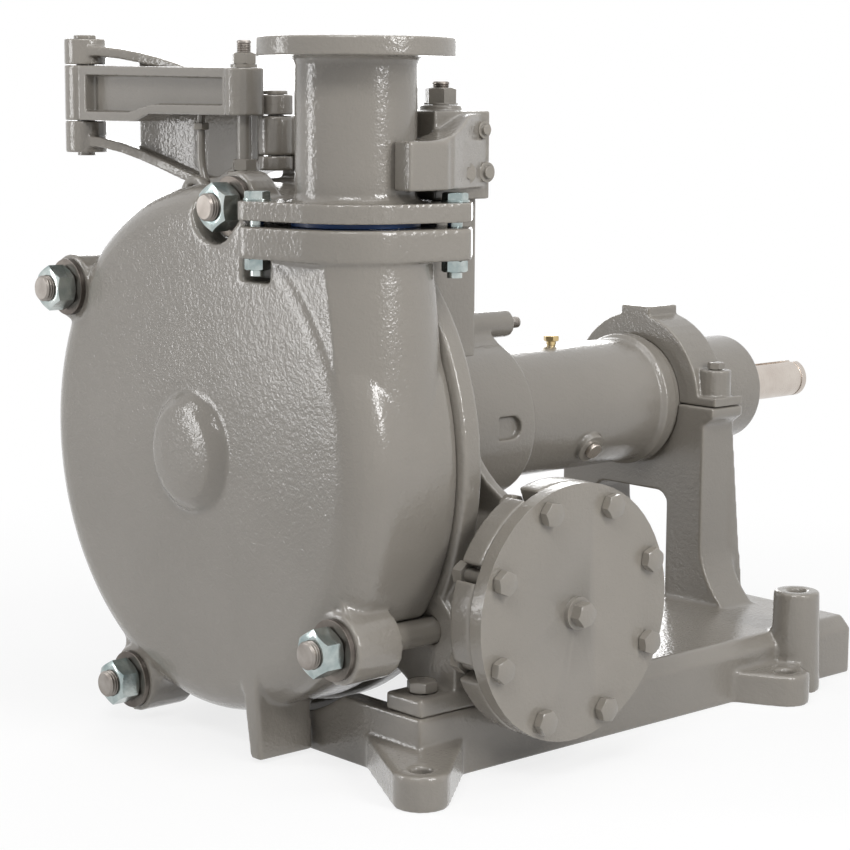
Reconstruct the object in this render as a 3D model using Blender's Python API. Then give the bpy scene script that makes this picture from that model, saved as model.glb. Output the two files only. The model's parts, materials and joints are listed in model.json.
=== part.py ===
"""Slurry pump whose case comes off forwards on a folding davit.

The shaft runs along Y at x = 0. The case is at -Y, the drive end of the shaft at +Y, the
side intake opens to +X and the discharge points up. The floor is z = 0.
"""
import math

import bmesh
import bpy
from mathutils import Matrix, Vector

MM = 0.001
GAP = 0.3 * MM
OVERRUN = 6 * MM
FAR = 1000 * MM
BITE = 3 * MM
FINE = 36
ROUND = 24
SMALL = 10
SKEW = math.radians(3.3)

# Shaft line
AXIS_Z = 330 * MM

# Volute case
CASE_RADIUS = 295 * MM
CASE_FRONT_Y = -184 * MM
CASE_BACK_Y = -50 * MM
CASE_EDGE = 42 * MM
CASE_WALL = 22 * MM
CASE_BACK_EDGE = 12 * MM
BACK_EDGE_SHARE = 0.4
NOSE_RADIUS = 68 * MM
NOSE_HEIGHT = 17 * MM
NOSE_ROUND = 16 * MM
NOSE_FLAT_SHARE = 0.6
NOSE_SHOULDER_SHARE = 0.86
NOSE_SIDE_SHARE = 0.35
NOSE_DROP_SHARE = 0.4
CAVITY_START = CASE_RADIUS - 103 * MM
CAVITY_END = CASE_RADIUS - 55 * MM
CAVITY_TURN = 31.3
CAVITY_SWEEP = 327.1
LINER_SEAT_RADIUS = CASE_RADIUS - 45 * MM
LINER_SEAT_DEPTH = 12 * MM

# Discharge neck, flange and spool
NECK_X = 192 * MM
NECK_Y = -107 * MM
NECK_RADIUS = 83 * MM
NECK_BORE = 50 * MM
NECK_ROOT_RADIUS = 104 * MM
CASE_FLANGE_TOP = AXIS_Z + CASE_RADIUS - 39 * MM
CASE_FLANGE_THICK = 34 * MM
EAR_TURN = math.radians(45)
EAR_ARC_START = math.radians(50)
EAR_ARC_END = math.radians(130)
EAR_HALF_LENGTH = 122 * MM
EAR_END_HALF_WIDTH = 26 * MM
EAR_MIDDLE_RADIUS = 88 * MM
EAR_CORNER = 6 * MM
EAR_BOLT_OFFSET = 104 * MM
SEAL_RING_THICK = 6 * MM
SEAL_RING_RADIUS = 68 * MM
SPOOL_FLANGE_THICK = 20 * MM
SPOOL_TOP = CASE_FLANGE_TOP + 195 * MM
SPOOL_TOP_THICK = 19.5 * MM
SPOOL_TOP_RADIUS = 104.5 * MM
SPOOL_RADIUS = 64 * MM
SPOOL_FILLET = 8 * MM
FILLET_SHARE = 0.3
SPOOL_HOLE_RADIUS = 9 * MM
SPOOL_HOLE_CIRCLE = 84 * MM
SPOOL_HOLES = 8
EAR_BOLT_RADIUS = 8 * MM
EAR_BOLT_HEX = 24 * MM
EAR_BOLT_HEAD = 10 * MM
EAR_BOLT_NUT = 13 * MM
EAR_BOLT_TAIL = 6 * MM
EAR_BOLT_POCKET = 26 * MM
EAR_BOLT_TURN = math.radians(15)
CLEARANCE = 1 * MM

# Tie studs: angle from +X, distance from the shaft line and how far the end is set back
STUD_PLACES = (
    ("top", math.radians(80.8), CASE_RADIUS - 19.5 * MM, 26 * MM),
    ("upper_left", math.radians(145.4), CASE_RADIUS - 1 * MM, 0),
    ("lower_left", math.radians(246.7), CASE_RADIUS + 13 * MM, 0),
    ("lower_right", math.radians(324.4), CASE_RADIUS + 10 * MM, 0),
)
STUD_RADIUS = 15 * MM
STUD_END_Y = -222 * MM
STUD_BACK_Y = -9 * MM
STUD_NUT_HEX = 46 * MM
STUD_NUT_THICK = 25 * MM
STUD_WASHER_RADIUS = 33 * MM
STUD_WASHER_THICK = 6.5 * MM
EAR_RADIUS = 38.5 * MM
EAR_FRONT_Y = -181 * MM
EAR_BACK_Y = -119 * MM
EAR_LOBE_SHARE = 0.9
EAR_ROOT_SHARE = 1.3
LUG_BACK_Y = -4 * MM
LUG_SHARE = 0.8
LUG_ROOT_SHARE = 1.2

# Case leg
LEG_X = 104 * MM
LEG_LEAN = 20 * MM
LEG_THICK = 32 * MM
LEG_FOOT_SHARE = 0.6
LEG_FRONT_Y = -184 * MM
LEG_LENGTH = 74 * MM
LEG_BOTTOM = 4 * MM
LEG_TOP = 120 * MM

# Intake housing
PLATE_RADIUS = CASE_RADIUS + 5 * MM
PLATE_BACK_Y = -22 * MM
RIB_LOW_SHARE = 0.72
RIB_HIGH_SHARE = 0.4
REAR_RIB_SHARE = 0.6
BRACKET_SHARE = 0.8
EYE_RADIUS = 82 * MM
LINER_THICK = 23 * MM
CHAMBER_RADIUS = 118 * MM
CHAMBER_WALL = 13 * MM
CHAMBER_BACK_Y = 130 * MM
PIPE_Y = 52 * MM
PIPE_Z = 178 * MM
PIPE_RADIUS = 94 * MM
SUMP_RADIUS = 99 * MM
PIPE_BORE = 76 * MM
SUMP_X = 20 * MM
FLANGE_RADIUS = 140 * MM
FLANGE_FACE_X = 351 * MM
FLANGE_THICK = 31 * MM
SLOT_WIDTH = 19 * MM
SLOT_DEPTH = 29 * MM
FIN_THICK = 16 * MM
FIN_Y = 42 * MM
FIN_TOP_Z = 410 * MM
FIN_TOP_X = 186 * MM
FIN_SAG = 22 * MM
BACK_OPENING = 88 * MM
REAR_PAD_HALF = 70 * MM
REAR_PAD_DEPTH = 60 * MM

# Cover plate on the intake
COVER_RADIUS = 139.7 * MM
COVER_THICK = 17 * MM
COVER_BOLT_CIRCLE = 120.65 * MM
COVER_BOLTS = 8
COVER_BOLT_TURN = math.radians(21.2)
COVER_BOLT_RADIUS = 8 * MM
COVER_BOLT_HEX = 24 * MM
COVER_BOLT_HEAD = 11 * MM
COVER_NUT_THICK = 14 * MM
COVER_BOLT_TAIL = 5 * MM
PLUG_SEAT_RADIUS = 18 * MM
PLUG_SEAT_HEIGHT = 5 * MM
PLUG_HEX = 24 * MM
PLUG_HEAD = 13 * MM
PLUG_TURN = math.radians(10)

# Base frame
BASE_RIGHT = 294 * MM
BASE_LEFT = -210 * MM
BASE_STEP_X = -4 * MM
BASE_STEP_Y = 12 * MM
BASE_FRONT_Y = -104 * MM
BASE_REAR_Y = 628 * MM
BASE_TOP = 72 * MM
BASE_WALL = 26 * MM
DECK_THICK = 16 * MM
BASE_CHAMFER = 14 * MM
FOOT_HEIGHT = 38 * MM
FOOT_RADIUS = 30 * MM
FOOT_HOLE = 11.3 * MM
FOOT_FRONT = (339 * MM, -142 * MM)
FOOT_REAR = (329 * MM, 455 * MM)
FOOT_LEFT_X = -250 * MM
FOOT_LEFT_Y = 70 * MM
FOOT_SPREAD = 66 * MM
TALL_BOSS = (298 * MM, 512 * MM)
TALL_BOSS_RADIUS = 28 * MM
TALL_BOSS_TOP = 124 * MM
TALL_BOSS_SHARE = 1.12
PAD_WIDTH = 56 * MM
PAD_LENGTH = 74 * MM
PAD_THICK = 20 * MM
SIDE_HOLE_RADIUS = 13 * MM
SIDE_HOLE_Z = 40 * MM
SIDE_HOLE_Y = -3 * MM
HOLD_BOLT_RADIUS = 10 * MM
HOLD_BOLT_HEX = 30 * MM
HOLD_BOLT_HEAD = 12.5 * MM
HOLD_BOLT_DEPTH = 32 * MM

# Pedestal and saddle cap
SADDLE_FRONT_Y = 530 * MM
SADDLE_THICK = 60 * MM
SADDLE_FOOT_THICK = 84 * MM
LEG_OUTER_X = 125 * MM
LEG_INNER_X = 64 * MM
PEDESTAL_FLARE = 44 * MM
PEDESTAL_FLARE_Z = 150 * MM
WINDOW_TOP = 212 * MM
WINDOW_CORNER = 16 * MM
CAP_RADIUS = 112 * MM
CAP_PAD_HALF = 25 * MM
CAP_PAD_Z = 451 * MM
CAP_FLANGE_X = 141 * MM
CAP_FLANGE_THICK = 12 * MM
CAP_BOSS_X = 118 * MM
CAP_BOSS_RADIUS = 20 * MM
CAP_BOSS_HEIGHT = 46 * MM
CAP_THICK = 54 * MM
CAP_BOLT_RADIUS = 6 * MM
CAP_BOLT_HEX = 19 * MM
CAP_BOLT_HEAD = 9 * MM
CAP_BOLT_DEPTH = 36 * MM

# Bearing cartridge
BARREL_RADIUS = 80 * MM
BARREL_FRONT_Y = 218 * MM
BARREL_STEP_Y = 608 * MM
BARREL_REAR_Y = 711 * MM
BARREL_REAR_RADIUS = 70 * MM
LIP_Y = 505 * MM
LIP_WIDTH = 18 * MM
LIP_HEIGHT = 5.5 * MM
BARREL_BORE = 50 * MM
BEARING_OUTER = 56 * MM
BEARING_WIDTH = 30 * MM
FRONT_BEARING_Y = 240 * MM
REAR_BEARING_Y = 640 * MM
SEAL_WIDTH = 10 * MM
SHAFT_SEAT = 33 * MM
RACE_THICK = 6 * MM
BALL_RADIUS = 6.4 * MM
BALLS = 9
RACE_DEPTH_SHARE = 0.7
BREATHER_Y = 378 * MM
BREATHER_HEX = 17 * MM
BREATHER_HEIGHT = 8 * MM
BREATHER_CAP_RADIUS = 6.5 * MM
BREATHER_CAP_HEIGHT = 6 * MM
BREATHER_THREAD = 5 * MM
DRAIN_Y = 378 * MM
DRAIN_ANGLE = math.radians(-31)
DRAIN_SEAT_RADIUS = 20 * MM
DRAIN_SEAT_HEIGHT = 7 * MM
DRAIN_RADIUS = 10.5 * MM
DRAIN_HEIGHT = 6 * MM
DRAIN_BORE = 6 * MM
ADJUST_TRAVEL = 3 * MM

# Lantern between the housing and the cartridge
LANTERN_FRONT_Y = 150.3 * MM
LANTERN_REAR_Y = 258 * MM
LANTERN_FRONT_RADIUS = 98 * MM
LANTERN_REAR_RADIUS = 98 * MM
LANTERN_WALL = 13 * MM
LANTERN_SEAM_Y = 196 * MM
POCKET_LENGTH = 36 * MM
POCKET_HALF_HEIGHT = 14 * MM
POCKET_DEPTH = 9 * MM
LANTERN_RING = 50 * MM
JACK_BOSS_Z = 113 * MM
JACK_BOSS_RADIUS = 17 * MM
JACK_BOSS_Y = 256 * MM
JACK_ARM_HALF = 13 * MM
JACK_ARM_LENGTH = 30 * MM
JACK_BOSS_LENGTH = 50 * MM
JACK_SCREW_RADIUS = 7 * MM
JACK_SCREW_LENGTH = 82 * MM
JACK_HEX = 22 * MM
JACK_HEAD = 9 * MM

# Seal end
EXPELLER_CASE_FRONT_Y = 96 * MM
EXPELLER_CASE_WALL = 10 * MM
SEAL_FLANGE_RADIUS = 93 * MM
EXPELLER_FRONT_Y = 112 * MM
EXPELLER_WEB = 9 * MM
EXPELLER_VANE = 12 * MM
EXPELLER_RADIUS = 72 * MM
EXPELLER_VANES = 8
EXPELLER_VANE_THICK = 6 * MM
SLEEVE_RADIUS = 37 * MM
SLEEVE_FRONT_Y = -66 * MM
RUNNING_GAP = 5 * MM

# Rotor
SHAFT_END_Y = 866 * MM
SHAFT_RADIUS = 25 * MM
SHAFT_WET_RADIUS = 28 * MM
SHAFT_MIDDLE = 38 * MM
SHAFT_NOSE = 20 * MM
SHAFT_NOSE_Y = -136 * MM
KEYWAY_WIDTH = 14 * MM
KEYWAY_DEPTH = 6 * MM
KEYWAY_FRONT_Y = 775 * MM
RING_GROOVE_Y = 851 * MM
RING_GROOVE_WIDTH = 3 * MM
RING_GROOVE_DEPTH = 1.5 * MM
IMPELLER_RADIUS = 180 * MM
IMPELLER_FRONT_Y = -143 * MM
IMPELLER_DISC = 13 * MM
IMPELLER_REAR_Y = -72 * MM
IMPELLER_RING = 11 * MM
IMPELLER_EYE = 80 * MM
IMPELLER_HUB = 42 * MM
IMPELLER_VANES = 5
VANE_THICK = 12 * MM
VANE_SWEEP = math.radians(80)
IMPELLER_CAP = 8 * MM
HUB_FACE_SHARE = 0.8
VANE_ROOT_SHARE = 0.9

# Davit, with its heights above the top of the back plate
DAVIT_Z = AXIS_Z + PLATE_RADIUS
LINK = 350 * MM
LINK_REST = math.radians(3.6)
ROOT_PIN = Vector((0, -63 * MM, 0))
KNUCKLE_RADIUS = 20 * MM
KNUCKLE_NECK_SHARE = 0.7
KNUCKLE_LOW = DAVIT_Z + 25 * MM
KNUCKLE_HIGH = DAVIT_Z + 69 * MM
ROOT_PIN_RADIUS = 9 * MM
ROOT_EYE_LOW = DAVIT_Z + 8 * MM
ROOT_EYE_HIGH = DAVIT_Z + 92 * MM
REAR_WIDTH = 40 * MM
REAR_ROOT_WIDTH = 28 * MM
REAR_WIDEN_SHARE = 0.2
FLANGE_THIN = 12 * MM
UPPER_TOP = DAVIT_Z + 150 * MM
LOWER_BOTTOM = DAVIT_Z + 30 * MM
DIP_SHARE = 0.36
WEB_FIRST_SHARE = 0.12
WEB_LAST_SHARE = 0.78
REAR_BOW = 40 * MM
WEB_THICK = 9 * MM
ELBOW_RADIUS = 25.5 * MM
ELBOW_LOW = DAVIT_Z + 21 * MM
ELBOW_HIGH = DAVIT_Z + 158 * MM
FRONT_LOW = DAVIT_Z + 60 * MM
FRONT_HIGH = DAVIT_Z + 126 * MM
FRONT_END_LOW = DAVIT_Z + 69 * MM
FRONT_END_HIGH = DAVIT_Z + 121 * MM
FRONT_STEP = 150 * MM
FRONT_WIDTH = 38 * MM
FRONT_POCKET = 14 * MM
FRONT_RIM = 11 * MM
FRONT_STEP_SHARE = 0.04
POCKET_START_SHARE = 0.12
POCKET_END_SHARE = 0.88
FRONT_EYE_RADIUS = 22 * MM
ELBOW_PIN_RADIUS = 11 * MM
PIN_HEAD_HEIGHT = 4 * MM
PIN_HEAD_RADIUS = 14 * MM
HANG_ROD_RADIUS = 8 * MM
HANG_ROD_TOP = DAVIT_Z + 151 * MM
HANG_NUT_HEX = 24 * MM
HANG_NUT_THICK = 13 * MM
HANG_WASHER_RADIUS = 15 * MM
HANG_WASHER_THICK = 3.5 * MM
HANG_LUG_RADIUS = 20 * MM
HANG_LUG_TOP = DAVIT_Z + 8 * MM
HANG_LUG_DEPTH = 22 * MM
HOOK_OFFSET = 89 * MM
HOOK_RADIUS = 4.5 * MM
HOOK_LOW = DAVIT_Z + 4 * MM
HOOK_BEND = 12 * MM
HOOK_NUT_HEX = 17 * MM
HOOK_NUT_THICK = 8 * MM
HOOK_NUT_Z = DAVIT_Z + 52 * MM
BRACKET_HALF_WIDTH = 18 * MM

# Yoke and its post
POST_Y = 12 * MM
POST_HALF_WIDTH = 21 * MM
POST_HALF_DEPTH = 24 * MM
POST_FOOT_Z = 440 * MM
POST_STEP_Z = CASE_FLANGE_TOP - 37 * MM
POST_BOLT_Z = CASE_FLANGE_TOP - 66 * MM
POST_BOLT_RADIUS = 8 * MM
POST_BOLT_HEX = 24 * MM
POST_BOLT_HEAD = 10 * MM
POST_BOLT_DEPTH = 12 * MM
YOKE_LOW = CASE_FLANGE_TOP + 26.3 * MM
YOKE_HIGH = CASE_FLANGE_TOP + 120 * MM
YOKE_HALF_WIDTH = 44 * MM
YOKE_BACK_Y = 44 * MM
YOKE_FRONT_Y = -36 * MM
ARM_INNER = 66 * MM
ARM_THICK = 26 * MM
ARM_LOW = CASE_FLANGE_TOP + 39 * MM
ARM_HIGH = CASE_FLANGE_TOP + 90 * MM
ARM_FRONT_Y = -112 * MM
YOKE_STUD_RADIUS = 9 * MM
YOKE_STUD_TOP = CASE_FLANGE_TOP + 166 * MM
YOKE_STUD_DEPTH = 40 * MM
YOKE_NUT_HEX = 30 * MM
YOKE_NUT_THICK = 18 * MM
YOKE_PIN_HEAD_RADIUS = 9 * MM
YOKE_PIN_HEAD = 4 * MM
YOKE_PIN_Z = (CASE_FLANGE_TOP + 54 * MM, CASE_FLANGE_TOP + 100 * MM)
YOKE_PIN_Y = 26 * MM

# Pieces that move together
ROTOR_PIECES = ("shaft", "shaft_sleeve", "expeller", "impeller", "front_bearing_inner", "rear_bearing_inner")
CARTRIDGE_PIECES = ("bearing_housing", "breather", "drain_plug", "front_bearing_outer", "rear_bearing_outer",
                    "front_oil_seal", "rear_oil_seal")
REAR_ARM_PIECES = ("davit_rear_link", "davit_elbow_pin")
FRONT_ARM_PIECES = ("davit_front_link", "hook_bolt")
CASE_PIECES = ("volute_case", "discharge_spool", "flange_seal_ring", "flange_bolt_rear", "flange_bolt_front",
               "case_hanging_bolt", "tie_nut_top", "tie_nut_upper_left", "tie_nut_lower_left",
               "tie_nut_lower_right", "tie_washer_top", "tie_washer_upper_left", "tie_washer_lower_left",
               "tie_washer_lower_right")

PAINT = (0.262, 0.246, 0.226, 1.0)
STEEL = (0.50, 0.47, 0.44, 1.0)
ZINC = (0.60, 0.63, 0.62, 1.0)
BRASS = (0.62, 0.47, 0.22, 1.0)
BLUE = (0.01, 0.09, 0.35, 1.0)
DARK = (0.10, 0.095, 0.09, 1.0)


def material(name, colour, roughness, metallic):
    """Return a material with one plain Principled surface."""
    made = bpy.data.materials.get(name) or bpy.data.materials.new(name)
    made.use_nodes = True
    shader = made.node_tree.nodes["Principled BSDF"]
    shader.inputs["Base Color"].default_value = colour
    shader.inputs["Roughness"].default_value = roughness
    shader.inputs["Metallic"].default_value = metallic
    made.diffuse_color = colour
    return made


FINISHES = {
    "paint": ("grey_paint", PAINT, 0.3, 0.0),
    "steel": ("bare_steel", STEEL, 0.3, 1.0),
    "zinc": ("zinc_plate", ZINC, 0.25, 1.0),
    "brass": ("brass", BRASS, 0.3, 1.0),
    "blue": ("blue_gasket", BLUE, 0.4, 0.0),
    "iron": ("dark_iron", DARK, 0.5, 0.6),
}


def new_object(name, geometry):
    """Put a bmesh into the scene as an object."""
    bmesh.ops.recalc_face_normals(geometry, faces=geometry.faces)
    mesh = bpy.data.meshes.new(name)
    geometry.to_mesh(mesh)
    geometry.free()
    made = bpy.data.objects.new(name, mesh)
    bpy.context.scene.collection.objects.link(made)
    return made


def axis_turn(axis):
    """Return the rotation that takes +Z to the named axis."""
    turns = {"x": Matrix.Rotation(math.pi / 2, 4, "Y"), "y": Matrix.Rotation(-math.pi / 2, 4, "X")}
    return turns.get(axis, Matrix.Identity(4))


def cylinder(radius, start, length, axis="z", sides=ROUND, radius_end=None, turn=SKEW):
    """Make a cylinder or cone from a start point along an axis."""
    geometry = bmesh.new()
    end = radius if radius_end is None else radius_end
    spin = Matrix.Rotation(turn, 4, "Z")
    bmesh.ops.create_cone(geometry, cap_ends=True, segments=sides, radius1=radius, radius2=end,
                          depth=length, matrix=spin)
    place = axis_turn(axis) @ Matrix.Translation((0, 0, length / 2))
    geometry.transform(Matrix.Translation(Vector(start)) @ place)
    return new_object("cylinder", geometry)


def hexagon(across_flats, start, length, axis="z", turn=0.0):
    """Make a hexagonal prism of a given width across its flats."""
    return cylinder(across_flats / math.sqrt(3), start, length, axis, 6, turn=turn)


def box(low, high):
    """Make a box between two corners."""
    geometry = bmesh.new()
    bmesh.ops.create_cube(geometry, size=1.0)
    size = Vector(high) - Vector(low)
    middle = (Vector(high) + Vector(low)) / 2
    geometry.transform(Matrix.Translation(middle) @ Matrix.Diagonal((*size, 1.0)))
    return new_object("box", geometry)


def prism(outline, low, high, axis="z"):
    """Extrude an outline: (x, y) along z, (x, z) along y, or (y, z) along x."""
    orders = {
        "z": lambda a, b, t: (a, b, t),
        "y": lambda a, b, t: (a, t, b),
        "x": lambda a, b, t: (t, a, b),
    }
    place = orders[axis]
    geometry = bmesh.new()
    lower = [geometry.verts.new(place(a, b, low)) for a, b in outline]
    upper = [geometry.verts.new(place(a, b, high)) for a, b in outline]
    geometry.faces.new(lower)
    geometry.faces.new(upper)
    for n in range(len(outline)):
        m = (n + 1) % len(outline)
        geometry.faces.new((lower[n], lower[m], upper[m], upper[n]))
    return new_object("prism", geometry)


def turned(profile, centre=(0, 0, 0), axis="y", sides=FINE):
    """Turn a profile of (radius, place along the axis) about an axis through centre.

    A profile that starts and ends on the axis is closed there with flat ends.
    """
    geometry = bmesh.new()
    rings = []
    for radius, along in profile:
        if radius == 0:
            continue
        ring = []
        for n in range(sides):
            angle = 2 * math.pi * n / sides
            ring.append(geometry.verts.new((radius * math.cos(angle), radius * math.sin(angle), along)))
        rings.append(ring)
    hollow = profile[0][0] != 0
    count = len(rings)
    for k in range(count if hollow else count - 1):
        first, second = rings[k], rings[(k + 1) % count]
        for n in range(sides):
            m = (n + 1) % sides
            geometry.faces.new((first[n], first[m], second[m], second[n]))
    if not hollow:
        geometry.faces.new(rings[0])
        geometry.faces.new(rings[-1])
    geometry.transform(Matrix.Translation(Vector(centre)) @ axis_turn(axis))
    return new_object("turned", geometry)


def loft(sections):
    """Join rings of points, all with as many points, into a capped solid."""
    geometry = bmesh.new()
    rings = [[geometry.verts.new(point) for point in ring] for ring in sections]
    geometry.faces.new(rings[0])
    geometry.faces.new(rings[-1])
    for first, second in zip(rings, rings[1:]):
        for n in range(len(first)):
            m = (n + 1) % len(first)
            geometry.faces.new((first[n], first[m], second[m], second[n]))
    return new_object("loft", geometry)


def combine(target, others, operation):
    """Apply exact Booleans of the other objects to the target and remove them."""
    for other in others:
        modifier = target.modifiers.new("boolean", "BOOLEAN")
        modifier.operation = operation
        modifier.solver = "EXACT"
        modifier.object = other
        graph = bpy.context.evaluated_depsgraph_get()
        result = bpy.data.meshes.new_from_object(target.evaluated_get(graph))
        target.modifiers.clear()
        old = target.data
        target.data = result
        bpy.data.meshes.remove(old)
        bpy.data.objects.remove(other)
    return target


def weld(first, *others):
    """Unite solids into one."""
    return combine(first, others, "UNION")


def cut(target, *cutters):
    """Cut solids out of the target."""
    return combine(target, cutters, "DIFFERENCE")


def finish(solid, name, finish_name, smooth=math.radians(35)):
    """Name a solid, give it its material and shade its round sides."""
    solid.name = name
    solid.data.name = name
    solid.data.materials.clear()
    solid.data.materials.append(material(*FINISHES[finish_name]))
    solid.data.shade_smooth()
    solid.data.set_sharp_from_angle(angle=smooth)
    return solid


def arc(centre, radius, start, end, steps):
    """Return points on an arc, both ends included."""
    points = []
    for n in range(steps + 1):
        angle = start + (end - start) * n / steps
        points.append((centre[0] + radius * math.cos(angle), centre[1] + radius * math.sin(angle)))
    return points


def hull(points):
    """Return the convex hull of plane points, in order."""
    ordered = sorted(set(points))

    def half(sequence):
        kept = []
        for p in sequence:
            while len(kept) > 1:
                a, b = kept[-2], kept[-1]
                if (b[0] - a[0]) * (p[1] - a[1]) - (b[1] - a[1]) * (p[0] - a[0]) > 0:
                    break
                kept.pop()
            kept.append(p)
        return kept[:-1]

    return half(ordered) + half(ordered[::-1])


def circle(centre, radius, sides=ROUND):
    """Return the points of a circle."""
    return arc(centre, radius, 0, 2 * math.pi * (sides - 1) / sides, sides - 1)


def stud_place(angle, distance):
    """Return the x and z of a tie stud."""
    return distance * math.cos(angle), AXIS_Z + distance * math.sin(angle)


def turn_about_neck(points):
    """Turn plan points from the flange's own frame to its place on the neck."""
    c, s = math.cos(EAR_TURN), math.sin(EAR_TURN)
    return [(NECK_X + c * u - s * v, NECK_Y + s * u + c * v) for u, v in points]


def ear_outline(grow=0.0):
    """Return the plan of the two-bolt flange: a round middle and two square ears."""
    side = arc((0, 0), EAR_MIDDLE_RADIUS + grow, EAR_ARC_START, EAR_ARC_END, 10)
    end = EAR_HALF_LENGTH + grow
    width = EAR_END_HALF_WIDTH + grow
    left = [(-end + EAR_CORNER, width), (-end, width - EAR_CORNER), (-end, -width + EAR_CORNER),
            (-end + EAR_CORNER, -width)]
    lower = [(-u, -v) for u, v in side]
    right = [(-u, -v) for u, v in left]
    return turn_about_neck(side + left + lower + right)


def ear_bolt_places():
    """Return the plan places of the two flange bolts."""
    return turn_about_neck([(EAR_BOLT_OFFSET, 0), (-EAR_BOLT_OFFSET, 0)])


def cavity_outline():
    """Return the spiral wall of the volute, widest where the discharge leaves it."""
    points = []
    steps = 28
    for n in range(steps + 1):
        share = n / steps
        angle = math.radians(CAVITY_TURN) + share * math.radians(CAVITY_SWEEP)
        radius = CAVITY_START + (CAVITY_END - CAVITY_START) * share
        points.append((radius * math.cos(angle), AXIS_Z + radius * math.sin(angle)))
    return points


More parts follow.
